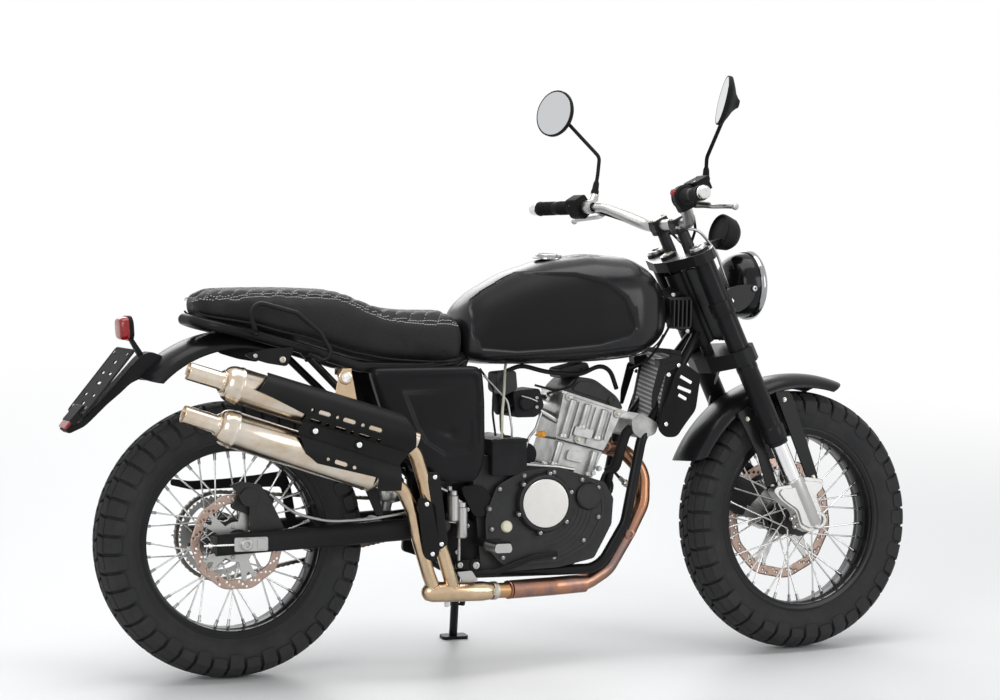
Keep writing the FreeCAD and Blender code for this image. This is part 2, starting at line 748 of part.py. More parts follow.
def silencer(tip, joint):
    """A straight silencer with coned ends and a plain open tail pipe, from its joint back to its tip."""
    a, b = Vector(*joint), Vector(*tip)
    length = (b - a).Length
    end = length - silencer_tail
    profile = [(0, 0), (0, riser_radius + 3), (14, riser_radius + 3), (52, silencer_radius), (end - 14, silencer_radius),
               (end, silencer_radius - 12), (end + 16, tip_radius + 2), (end + 16, tip_radius), (length, tip_radius),
               (length, tip_radius - tip_wall), (end + 4, tip_radius - tip_wall), (end + 4, 0)]
    body = spun_along(profile, joint, tuple(b - a))
    bands = []
    for at in (60, end - 30):
        bands.append(spun_along([(at, silencer_radius - 1), (at, silencer_radius + 1.6), (at + 10, silencer_radius + 1.6),
                                 (at + 10, silencer_radius - 1)], joint, tuple(b - a)))
    return joined([body] + bands)


def silencers():
    upper = silencer(upper_tip, upper_joint)
    lower = silencer(lower_tip, lower_joint)
    strap = plate([(214, 652), (232, 648), (214, 560), (198, 566)], -silencer_side - 4, -silencer_side + 4)
    hanger = plate([(206, 648), (252, 640), (240, 712), (216, 712)], -silencer_side + 14, -silencer_side + 20, 6)
    link = Part.makeBox(24, 62, 20, Vector(216, -silencer_side + 14, 700))
    bracket = joined([strap, hanger, link]).cut(joined([upper, lower]))
    return together([upper, lower, largest(bracket)])


def largest(shape):
    return max(shape.Solids, key=lambda solid: solid.Volume)


def heat_shields():
    """One slotted sheet wrapped round the outside of both silencers' front ends, flat between them."""
    pipes = []
    for joint, tip in ((upper_joint, upper_tip), (lower_joint, lower_tip)):
        a, b = Vector(*joint), Vector(*tip)
        pipes.append((a - (b - a).normalize() * 40, (b - a).normalize()))
    inner = [Part.makeCylinder(silencer_radius + shield_gap, 560, start, along) for start, along in pipes]
    outer = [Part.makeCylinder(silencer_radius + shield_gap + sheet, 560, start, along) for start, along in pipes]
    (a, along), (b, _) = pipes
    valley = [(a.x, a.z - 30), (a.x + 560 * along.x, a.z - 30 + 560 * along.z),
              (b.x + 560 * along.x, b.z + 34 + 560 * along.z), (b.x, b.z + 34)]
    flat = plate(valley, -valley_side, sheet - valley_side)
    between = plate(valley, sheet - valley_side, 0)
    shell = joined([outer[0], outer[1]]).cut(between).fuse(flat).cut(joined(inner))
    keep = plate(shield_outline, -300, -silencer_side - 6)
    shell = largest(shell.common(keep))
    for (start, along), angle, slots, length, width, holes in shield_rows():
        lift = math.radians(angle)
        across = Vector(0, -math.cos(lift), 0) + along.cross(Vector(0, 1, 0)) * math.sin(lift)
        for x in slots + holes:
            at = start + along * ((x - start.x) / along.x) + across * (silencer_radius - 4)
            reach = length if x in slots else 2 * hole_radius + 0.2
            shell = shell.cut(slot_bar(at, along, across, reach, width if x in slots else 2 * hole_radius, 20))
    shapes = [shell]
    for x, z in shield_screws:
        shapes.append(rod((x, -valley_side - 4, z), (x, sheet - valley_side, z), 6.5))
    (start, along), (low, _) = pipes
    for origin, x in ((start, 318), (start, 36), (low, 300)):
        at = origin + along * ((x - origin.x) / along.x)
        clip = rod((at.x, -silencer_side - silencer_radius, at.z + 6),
                   (at.x, -silencer_side - silencer_radius - shield_gap - 1, at.z + 6), 6)
        shapes.append(clip)
    whole = joined(shapes)
    return [largest(whole.cut(joined([silencer(upper_tip, upper_joint), silencer(lower_tip, lower_joint)])))]


def shield_rows():
    """Rows of slots and holes: the pipe's line, its angle, the slots, their size, then the holes."""
    rows = []
    for joint, tip, angle, slots, length, width, holes in (
            (upper_joint, upper_tip, 64.5, [109, 166, 220, 283], 36, 9, []),
            (upper_joint, upper_tip, 35.0, [82, 142, 202, 259], 30, 10, [111, 171, 230, 293]),
            (upper_joint, upper_tip, 6.0, [157, 215, 277], 33, 12, [128, 187, 247]),
            (lower_joint, lower_tip, 0.0, [193], 33, 12, [163, 225])):
        start, end = Vector(*joint), Vector(*tip)
        rows.append(((start, (end - start).normalize()), angle, slots, length, width, holes))
    return rows


def slot_bar(start, along, across, length, width, depth):
    """A round-ended bar for cutting a slot."""
    half = (length - width) / 2
    pieces = [Part.makeCylinder(width / 2, depth, start + along * s, across) for s in (-half, half)]
    aim = Placement(start, Rotation(along, across.cross(along), across, "XYZ"))
    block = Part.makeBox(2 * half, width, depth, Vector(-half, -width / 2, 0))
    pieces.append(block.transformGeometry(aim.toMatrix()))
    return joined(pieces)


# Bodywork


def tank_section(x, low, high, half_width, belly, count=24):
    """A closed smooth tank section: flat under, full at the knees and round over the top."""
    points = []
    for i in range(count):
        t = 2 * math.pi * i / count
        c, s = math.cos(t), math.sin(t)
        power = 2.5 if s > 0 else 4.0
        y = half_width * math.copysign(abs(c) ** (2 / power), c)
        z = belly + (high - belly if s > 0 else belly - low) * math.copysign(abs(s) ** (2 / power), s)
        points.append(Vector(x, y, z))
    curve = Part.BSplineCurve()
    curve.interpolate(points, PeriodicFlag=True)
    return Part.Wire([curve.toShape()])


def fuel_tank():
    """The tank, lofted through its sections, with knee recesses and a tunnel for the backbone."""
    body = Part.makeLoft([tank_section(*row) for row in tank_sections], True, False)
    for side in (-1, 1):
        recess = plate(knee_panel, side * (tank_half_width - knee_depth) - (200 if side < 0 else 0),
                       side * (tank_half_width - knee_depth) + (200 if side > 0 else 0), 14)
        body = body.cut(recess)
    tunnel = plate([(500, 640), (1200, 640), (1200, 860), (1010, 846), (900, 836), (560, 776), (500, 776)], -36, 36)
    head_room = rod(steering_point(0, 0, 400), steering_point(0, 0, 900), head_radius + 9)
    body = body.cut(tunnel).cut(head_room)
    return largest(body)


def fuel_cap():
    """A round flip cap on the tank's top."""
    cap = spun_along([(0, 0), (0, 31), (9, 31), (12, 27), (12, 0)], (cap_x, 0, cap_z), (0.05, 0, 1))
    tab = Part.makeBox(16, 14, 5, Vector(cap_x - 40, -7, cap_z + 5))
    return joined([cap, tab])


def seat():
    """The long stepped seat, its pad rounded over the sides, shaped to the rails below."""
    body = plate(seat_outline, -seat_half_width, seat_half_width)
    top = [e for e in body.Edges if abs(abs(e.CenterOfMass.y) - seat_half_width) < 1 and e.CenterOfMass.z > 835]
    body = body.makeFillet(24, top)
    for side in (1, -1):
        tube = rail_tube(rail_radius + skin_gap)
        body = body.cut(tube if side > 0 else tube.mirror(Vector(0, 0, 0), Vector(0, 1, 0)))
    backbone_room = Part.makeBox(80, 120, 60, Vector(520, -60, 700))
    return largest(body.cut(backbone_room))


def side_covers():
    """Triangular covers below the seat, each with a recessed panel."""
    shapes = []
    for side in (1, -1):
        rim_band = plate(cover_outline, cover_side - 20, cover_side, 20).cut(
            plate(cover_inner, cover_side - 30, cover_side + 10, 14))
        lip = plate(cover_outline, cover_side - 9, cover_side - 5, 20)
        boss = rod((470, rail_side - 4, 700), (470, cover_side - 8, 700), 9)
        whole = joined([rim_band, lip, boss])
        whole = whole.cut(rail_tube(rail_radius + skin_gap))
        whole = largest(whole)
        shapes.append(whole if side > 0 else whole.mirror(Vector(0, 0, 0), Vector(0, 1, 0)))
    return shapes


def arch(centre, radius, half_width, drop, thick, first, last):
    """A mudguard: an arched section turned about a wheel-like centre between two angles."""
    outer, inner = [], []
    steps = 9
    for i in range(steps):
        t = math.pi * i / (steps - 1)
        y = -half_width * math.cos(t)
        r = radius - drop * (1 - math.sin(t) ** 0.8)
        outer.append(Vector(r, y, 0))
        inner.append(Vector(r - thick, y * (half_width - thick) / half_width, 0))
    low_outer = Part.BSplineCurve()
    low_outer.interpolate(outer)
    low_inner = Part.BSplineCurve()
    low_inner.interpolate(inner[::-1])
    edges = [
        low_outer.toShape(),
        Part.LineSegment(outer[-1], inner[-1]).toShape(),
        low_inner.toShape(),
        Part.LineSegment(inner[0], outer[0]).toShape(),
    ]
    face = Part.Face(Part.Wire(edges))
    solid = face.revolve(Vector(0, 0, 0), Vector(0, 1, 0), -(last - first))
    return moved(turned(solid, (0, 1, 0), -first), centre)


def rear_fender():
    """The rear mudguard, hung inside the frame's loop."""
    guard = arch((10, 0, 500), rear_guard_radius, rear_guard_half_width, 40, sheet, 62, 137)
    clear = joined([rod((60, -rail_side, 787), (60, rail_side, 787), 8.3)])
    return largest(guard.cut(clear))


plate_top = (-242.0, 760.0)
plate_low = (-375.0, 598.0)
plate_thick = 4.0


def plate_normal():
    """The number plate backing's outward normal, rearwards and up."""
    along = Vector(plate_low[0] - plate_top[0], 0, plate_low[1] - plate_top[1]).normalize()
    return (along.z, 0.0, -along.x)


def plate_face_point():
    x, z = (plate_top[0] + plate_low[0]) / 2, (plate_top[1] + plate_low[1]) / 2
    n = plate_normal()
    return (x + n[0] * plate_thick, 0, z + n[2] * plate_thick)


def plate_holder():
    """The arm under the mudguard's tail, with the number plate's backing, a lamp post and a reflector."""
    arm = plate([(-150, 738), (-198, 690), (-286, 690), (-250, 742), (-206, 726)], -26, 26)
    n = plate_normal()
    outer = [(x + n[0] * plate_thick, z + n[2] * plate_thick) for x, z in (plate_low, plate_top)]
    backing = plate([plate_top, plate_low] + outer, -76, 76)
    post = plate([(-242, 724), (-230, 724), (-236, 802), (-246, 802)], -9, 9)
    low_end = (plate_low[0] - 24, plate_low[1] - 30)
    tab_outer = (low_end[0] + n[0] * plate_thick, low_end[1] + n[2] * plate_thick)
    tab = plate([(plate_low[0] + 8, plate_low[1] + 10), low_end, tab_outer, outer[0]], -14, 14)
    bar = plate([(-254, 800), (-228, 800), (-228, 824), (-254, 824)], -12, 12, 6)
    return joined([arm, backing, post, bar, tab])


def tail_lamp():
    shell = spun_along([(0, 0), (0, 26), (6, 32), (20, 32), (24, 28), (26, 0)], (-254, 0, 812), (-1, 0, 0.05))
    n = plate_normal()
    start = (plate_low[0] - 6 + n[0] * plate_thick, plate_low[1] - 7.5 + n[2] * plate_thick)
    end = (start[0] - 20, start[1] - 25)
    reflector = plate([start, end, (end[0] + n[0] * 7, end[1] + n[2] * 7), (start[0] + n[0] * 7, start[1] + n[2] * 7)], -30, 30)
    return together([shell, reflector])


def grab_hoops():
    """Thin rods bent into a loop beside the seat's tail."""
    shapes = []
    loop = bent_tube(
        [(36, hoop_side - 40, 797), (24, hoop_side - 8, 806), (6, hoop_side, 850), (30, hoop_side, 870),
         (120, hoop_side, 846), (176, hoop_side, 800), (204, hoop_side, 752), (186, hoop_side, 734),
         (160, hoop_side - 34, 750)], 5.5, 22)
    rail = rail_tube(rail_radius)
    loop = loop.cut(rail)
    shapes += both_sides(largest(loop))
    return shapes


def radiator():
    """The core between its tanks, under side shrouds with three louvres each."""
    core = Part.makeBox(26, 150, 170, Vector(-13, -75, 0))
    frame_band = Part.makeBox(30, 158, 12, Vector(-15, -79, -8))
    top_band = Part.makeBox(30, 158, 12, Vector(-15, -79, 166))
    whole = joined([core, frame_band, top_band])
    for i in range(9):
        whole = whole.cut(Part.makeBox(4, 140, 10, Vector(9, -70, 6 + i * 18)))
    whole = moved(turned(whole, (0, 1, 0), 12), (1062, 0, 566))
    shrouds = []
    outline = [(1034, 574), (1072, 542), (1146, 612), (1156, 684), (1122, 740), (1076, 744)]
    for side in (-1, 1):
        wall = plate(outline, 96, 102, 14)
        for i in range(3):
            slot = [(1074, 606 + 34 * i), (1122, 632 + 34 * i), (1122, 640 + 34 * i), (1074, 614 + 34 * i)]
            wall = wall.cut(plate(slot, 90, 110))
        web = plate([(1060, 600), (1080, 596), (1100, 720), (1080, 726)], 74, 97)
        piece = joined([wall, web])
        shrouds.append(piece if side > 0 else piece.mirror(Vector(0, 0, 0), Vector(0, 1, 0)))
    return joined([whole] + shrouds)


# Controls at the foot


def foot_controls():
    """Rider's pegs on their plates and the brake pedal on the right."""
    shapes = []
    for side in (-1, 1):
        hanger = plate([(520, 246), (552, 246), (606, 300), (600, 322), (560, 350), (540, 340)], 66, 74, 8)
        arm = rod((peg_x, 70, peg_z), (peg_x, 168, peg_z), 10)
        peg = rod((peg_x, 168, peg_z), (peg_x, 244, peg_z), 14)
        piece = joined([hanger, arm, peg])
        shapes.append(piece if side > 0 else piece.mirror(Vector(0, 0, 0), Vector(0, 1, 0)))
    x, z = pedal_pivot
    pedal = bent_tube([(x - 8, -pedal_side, z - 26), (x + 56, -pedal_side, z - 27), (x + 107, -pedal_side - 6, z - 8),
                       (x + 149, -pedal_side - 10, z + 6), (x + 204, -pedal_side - 14, z + 12)], 6, 16)
    hub = rod((x, -pedal_side - 8, z - 8), (x, -70, z - 8), 9)
    web = plate([(x - 14, z - 32), (x + 6, z - 32), (x + 9, z - 6), (x - 9, z - 6)], -pedal_side - 5, -pedal_side + 5)
    shapes[0] = joined([shapes[0], pedal, hub, web])
    return shapes


def drive_chain():
    """Both runs and both wraps of the chain, its plates full at the pins and waisted between."""
    rear = chain_pitch / (2 * math.sin(math.pi / rear_teeth))
    front = chain_pitch / (2 * math.sin(math.pi / front_teeth))
    a = Vector(0, chain_side - chain_width / 2, rear_tyre_radius)
    b = Vector(front_sprocket_x, chain_side - chain_width / 2, front_sprocket_z)
    away = (b - a).normalize()
    up = Vector(-away.z, 0, away.x)
    wrap = math.acos((rear - front) / (b - a).Length)
    run = (b - a).Length * math.sin(wrap)
    lengths = (run, 2 * wrap * front, run, 2 * (math.pi - wrap) * rear)
    links = round(sum(lengths) / chain_pitch)

    def out(angle):
        return away * math.cos(angle) + up * math.sin(angle)

    def point(share, extra):
        s = share * sum(lengths)
        if s < lengths[0]:
            q = s / run
            return a * (1 - q) + b * q + out(wrap) * (rear + (front - rear) * q + extra)
        s -= lengths[0]
        if s < lengths[1]:
            return b + out(wrap - s / front) * (front + extra)
        s -= lengths[1]
        if s < run:
            q = s / run
            return b * (1 - q) + a * q + out(-wrap) * (front + (rear - front) * q + extra)
        return a + out(-wrap - (s - run) / rear) * (rear + extra)

    outer = [point(i / (2 * links), (link_height if i % 2 == 0 else link_waist) / 2) for i in range(2 * links)]
    inner = [point(i / (2 * links), -chain_inside) for i in range(2 * links)]
    width = Vector(0, chain_width, 0)
    return flat_face(outer).extrude(width).cut(flat_face(inner).extrude(width))


# Fork and bars, in the steering frame


def fork_tubes():
    """Black upper tubes with their top caps and lower collars."""
    shapes = []
    for side in (-1, 1):
        tube = rod((fork_offset, side * leg_side, leg_collar), (fork_offset, side * leg_side, leg_top), upper_tube_radius)
        collar = rod((fork_offset, side * leg_side, leg_collar - 12), (fork_offset, side * leg_side, leg_collar + 26),
                     upper_tube_radius + 3.5)
        cap = rod((fork_offset, side * leg_side, leg_top), (fork_offset, side * leg_side, leg_top + 9), 19)
        bore = rod((fork_offset, side * leg_side, leg_collar - 13), (fork_offset, side * leg_side, leg_top - 40),
                   chrome_tube_radius + skin_gap)
        shapes.append(joined([tube, collar, cap]).cut(bore))
    return shapes


def fork_sliders():
    """Chrome tubes, the axle clamps they end in, and the front axle."""
    shapes = []
    for side in (-1, 1):
        tube = rod((fork_offset, side * leg_side, 60), (fork_offset, side * leg_side, leg_collar + 180), chrome_tube_radius)
        low, high = side * leg_side - clamp_half_width, side * leg_side + clamp_half_width
        clamp = plate(axle_clamp, low, high, 5)
        bore = Part.makeCylinder(axle_radius, 60, Vector(axle_offset, side * leg_side - 30, 0), Vector(0, 1, 0))
        shapes.append(joined([tube, clamp]).cut(bore))
    axle = rod((axle_offset, -front_axle_reach, 0), (axle_offset, front_axle_reach, 0), axle_radius)
    nuts = [rod((axle_offset, s * (leg_side + 22), 0), (axle_offset, s * front_axle_reach, 0), 14) for s in (-1, 1)]
    hollow = rod((axle_offset, -front_axle_reach, 0), (axle_offset, front_axle_reach, 0), axle_bore_radius)
    shapes.append(joined([axle] + nuts).cut(hollow))
    return shapes


def yoke(low, height):
    """A triple clamp: eight-sided ends about the legs, waisted to the stem."""
    wrap, cut = 34, 14
    end = [(wrap, cut), (cut, wrap), (-cut, wrap), (-wrap + 4, cut)]
    left = [(fork_offset + ahead, leg_side + side) for ahead, side in end]
    right = [(x, -y) for x, y in reversed(left)]
    outline = left + [(-30, 30), (-30, -30)] + right + [(fork_offset + wrap + 2, 0)]
    body = slab(outline, low, low + height, 10)
    for side in (-1, 1):
        body = body.cut(rod((fork_offset, side * leg_side, low - 5), (fork_offset, side * leg_side, low + height + 5),
                            upper_tube_radius))
    return body


def triple_clamps():
    """Lower and upper yokes on the stem, and the bar's two risers."""
    low = yoke(crown_low, crown_height)
    high = yoke(yoke_low, yoke_height)
    stem = rod((0, 0, crown_low), (0, 0, yoke_low + yoke_height), stem_radius)
    nut = rod((0, 0, yoke_low + yoke_height), (0, 0, yoke_low + yoke_height + 10), 20)
    risers = []
    for side in (-1, 1):
        post = rod((bar_ahead, side * 46, yoke_low + yoke_height), (bar_ahead, side * 46, bar_height - 6), 14)
        block = Part.makeBox(44, 32, 40, Vector(bar_ahead - 22, side * 46 - 16, bar_height - 20))
        block = block.makeFillet(6, block.Edges)
        risers += [post, block]
    bar = rod((bar_ahead, -80, bar_height), (bar_ahead, 80, bar_height), bar_clamp_radius)
    return joined([low, high, stem, nut] + risers).cut(bar)


def handlebar():
    """The bent bar, thicker in its clamps, with its end weights."""
    half = [(bar_ahead, 0, bar_height), (bar_ahead, 95, bar_height), *bar_bends,
            (bar_end_back, bar_end_side, bar_end_height)]
    left = bent_tube(half, bar_radius, 60)
    right = left.mirror(Vector(0, 0, 0), Vector(0, 1, 0))
    middle = rod((bar_ahead, -66, bar_height), (bar_ahead, 66, bar_height), bar_clamp_radius)
    return joined([middle, left, right])


def bar_direction():
    a = Vector(*bar_bends[-1])
    b = Vector(bar_end_back, bar_end_side, bar_end_height)
    return b, (b - a).normalize()


def grips():
    """Ribbed grips and the weights at the bar's ends."""
    end, along = bar_direction()
    start = end - along * grip_length
    ribs = [(0, bar_radius), (0, grip_radius + 4), (5, grip_radius + 4), (8, grip_radius)]
    ribs += [(grip_length - 6, grip_radius), (grip_length, grip_radius + 1), (grip_length, bar_radius)]
    grip = spun_along(ribs, tuple(start), tuple(along))
    weight = spun_along([(0, 0), (0, 14), (4, 16), (22, 16), (26, 13), (26, 0)], tuple(end), tuple(along))
    shapes = []
    for shape in (grip, weight):
        shapes += both_sides(shape)
    return shapes


def bar_controls():
    """Switch housings, clutch and brake levers with their perches, and the front master cylinder."""
    end, along = bar_direction()
    shapes = []
    inner = end - along * (grip_length + 2)
    bar = handlebar()
    for side in (-1, 1):
        housing = spun_along([(0, bar_radius), (0, 21), (34, 21), (34, bar_radius)], tuple(inner - along * 36), tuple(along))
        perch = spun_along([(0, bar_radius), (0, 17), (26, 17), (26, bar_radius)], tuple(inner - along * 66), tuple(along))
        root = inner - along * 52
        lug = Part.makeBox(34, 26, 14, Vector(root.x + 12, root.y - 13, root.z - 7))
        lever = bent_tube([(root.x + 42, root.y, root.z), (root.x + 52, root.y + 46, root.z + 2),
                           (root.x + 20, end.y - 24, end.z + 6), (root.x + 26, end.y - 6, end.z + 8)], 6.5, 40)
        pieces = [housing.cut(bar), joined([perch, lug, lever]).cut(bar)]
        if side < 0:
            cup = Part.makeBox(44, 50, 34, Vector(root.x + 14, root.y - 60, root.z - 4))
            cup = cup.makeFillet(6, cup.Edges)
            pieces[1] = joined([perch, lug, lever, cup]).cut(bar)
        for piece in pieces:
            shapes.append(piece if side > 0 else piece.mirror(Vector(0, 0, 0), Vector(0, 1, 0)))
    return shapes


def mirrors():
    """Two round mirrors on bent stems, each turned as in the photograph."""
    end, along = bar_direction()
    root = end - along * (grip_length + 54)
    shapes = []
    for side, place, face in ((1, left_mirror, left_mirror_face), (-1, right_mirror, right_mirror_face)):
        centre, out = Vector(*place), Vector(*face).normalize()
        back = centre - out * 22
        start = (root.x + 30, side * root.y, root.z + 7.3)
        stem = bent_tube([start, (root.x + 30, side * root.y, root.z + 44), (back.x + 6, side * (root.y + 24), root.z + 80),
                          tuple(back)], mirror_stem_radius, 20)
        shell = spun_along([(0, 0), (0, 56), (5, mirror_radius), (10, mirror_radius), (20, 44), (30, 14), (30, 0)],
                           tuple(centre), tuple(out * -1))
        shapes.append(joined([shell, stem]))
    return shapes


def gauge():
    """The round instrument in its cup, leaning back to the rider."""
    cup = spun_along([(0, 0), (0, 24), (10, 36), (52, 42), (60, 44), (68, 44), (68, 40), (62, 39), (62, 0)],
                     (gauge_ahead, 0, gauge_height), (-0.05, 0, 1))
    rear = fork_offset + 36
    stay = plate([(rear, 722), (rear + 8, 722), (gauge_ahead - 6, 684), (gauge_ahead - 10, 676), (rear, 706)], -16, 16)
    return joined([cup, stay])


def headlamp():
    """The round lamp with a domed bucket and a bright ring, level on the machine."""
    ahead = Vector(math.cos(math.radians(rake)), 0, -math.sin(math.radians(rake)))
    start = Vector(lamp_ahead, 0, lamp_height) - ahead * 62
    profile = [(0, 0), (2, 30), (14, 56), (34, 74), (62, lamp_radius - 4), (90, lamp_radius - 2), (94, lamp_radius + 2),
               (106, lamp_radius + 2), (110, lamp_radius - 3), (112, 60), (118, 30), (120, 0)]
    bucket = spun_along(profile, tuple(start), tuple(ahead))
    ears = []
    for side in (-1, 1):
        clamp = rod((fork_offset, side * leg_side, 560), (fork_offset, side * leg_side, 600), upper_tube_radius + 3.6)
        clamp = clamp.cut(rod((fork_offset, side * leg_side, 550), (fork_offset, side * leg_side, 610),
                              upper_tube_radius + 0.1))
        ear = plate([(fork_offset + 24, 566), (lamp_ahead - 22, 566), (lamp_ahead - 16, 596), (fork_offset + 24, 596)],
                    side * 92 - 3, side * 92 + 3)
        ear = ear.cut(rod((fork_offset, side * leg_side, 550), (fork_offset, side * leg_side, 610),
                          upper_tube_radius + 0.1))
        pin = rod((lamp_ahead - 30, side * 70, 581), (lamp_ahead - 30, side * 96, 581), 7)
        ears += [clamp, ear, pin]
    return joined([bucket] + ears)


def front_fender():
    """The front mudguard on two flat stays a side, which end on the inner faces of the legs' clamps."""
    shapes = [arch((axle_offset, 0, 0), front_guard_radius, front_guard_half_width, 36, sheet, 45, 130)]
    face = leg_side - clamp_half_width - skin_gap
    for side, foot in ((-1, -20), (1, 30)):
        low, high = sorted((side * (face - stay_thickness), side * face))
        tab_low, tab_high = sorted((side * (front_guard_half_width - 5), side * face))
        shapes.append(plate([(-32, 326), (6, 326), (4, 206), (foot + 16, 124), (foot + 16, 104), (foot - 16, 110),
                             (-24, 206)], low, high, 6))
        shapes.append(plate([(88, 324), (130, 302), (110, 88), (104, 68), (78, 70)], low, high, 6))
        shapes.append(plate([(-32, 310), (8, 310), (8, 326), (-32, 326)], tab_low, tab_high, 4))
        shapes.append(plate([(88, 308), (126, 296), (130, 310), (92, 324)], tab_low, tab_high, 4))
    return joined(shapes)


def front_calliper():
    """The calliper behind the left leg, on a bracket against the leg's clamp."""
    block = calliper(front_disc_radius, front_disc_side, calliper_angle, 12.5, 1.0)
    face = leg_side - 22 - skin_gap
    bracket = plate([(-74, 96), (-8, 106), (-2, 78), (-60, 62)], face - 6, face)
    return joined([block, bracket])


def rear_calliper():
    """The calliper above the axle, on a plate against the swingarm's inner face."""
    block = calliper(rear_disc_radius, -rear_disc_side, rear_calliper_angle, 11, 1.0)
    face = arm_side - arm_half_width - skin_gap
    bracket = plate([(26, 10), (96, 10), (106, 27), (68, 103), (47, 132), (0, 140), (-24, 132), (20, 90), (24, 40)],
                    -face, -face + 8)
    boss = rod((19, -face - 6, 104), (19, -rear_disc_side - 8, 104), 21)
    return joined([block, bracket, boss])


def stand_axis():
    """The pivot's direction: square to the leg both down and folded along the machine's side."""
    px, py, pz = stand_pivot
    fx, fy = stand_foot
    down = Vector(fx - px, fy - py, fy * math.tan(math.radians(lean)) - pz).normalize()
    return down.cross(Vector(*stand_folded)).normalize()


def along_pivot(start, end, radius):
    """A round piece on the stand's pivot line, between two distances from its middle."""
    middle, axis = Vector(*stand_pivot), stand_axis()
    return rod(tuple(middle + axis * start), tuple(middle + axis * end), radius)


def side_stand():
    """The leg on its pivot eye, with a foot that lies flat when the machine leans on it."""
    fx, fy = stand_foot
    floor = fy * math.tan(math.radians(lean)) - floor_gap / math.cos(math.radians(lean))
    down = Vector(0, math.sin(math.radians(lean)), -math.cos(math.radians(lean)))
    foot = Vector(fx, fy, floor) - down * 8
    leg = rod(stand_pivot, tuple(foot), stand_leg_radius)
    eye = along_pivot(-11, 11, 17)
    pad = Part.makeBox(66, 36, 8, Vector(-31, -18, 0))
    pad = pad.makeFillet(8, [e for e in pad.Edges if abs(e.tangentAt(e.FirstParameter).z) > 0.9])
    pad = moved(turned(pad, (1, 0, 0), lean), (fx, fy, floor))
    under = Part.makeBox(400, 400, 200, Vector(-200, -200, -200))
    under = moved(turned(under, (1, 0, 0), lean), (fx, fy, floor))
    whole = joined([leg, eye, pad]).cut(under)
    return whole.cut(along_pivot(-30, 30, pin_radius + pin_clearance))


def side_stand_spring():
    """The return spring beside the stand's leg, hooked to it at both ends."""
    px, py, pz = stand_pivot
    fx, fy = stand_foot
    leg = Vector(fx - px, fy - py, 28 - pz)
    aside = leg.cross(stand_axis()).normalize()
    a = Vector(*stand_pivot) + leg * 0.12 + aside * (stand_leg_radius + 9)
    b = Vector(*stand_pivot) + leg * 0.56 + aside * (stand_leg_radius + 9)
    hooks = [rod(tuple(p), tuple(p - aside * 16), 3) for p in (a, b)]
    return joined([rod(tuple(a), tuple(b), 7)] + hooks)


def stand_lug():
    """The lug on the cradle that the stand turns on, with its pin."""
    cheek = along_pivot(-21, -11.6, 19)
    pin = along_pivot(-21, 16, pin_radius)
    head = along_pivot(11.6, 17, 13)
    middle, axis = Vector(*stand_pivot), stand_axis()
    end = middle - axis * 18
    tube = Vector(end.x, rear_cradle_side + 4, cradle_low)
    web = rod(tuple(tube), tuple(end), 12).cut(along_pivot(-11.6, 40, 40))
    return joined([cheek, pin, head, web])


# Assembly


def seated(shape, others):
    """The shape without what its neighbours fill, as its largest piece."""
    for other in others:
        shape = shape.cut(other)
    return largest(shape)


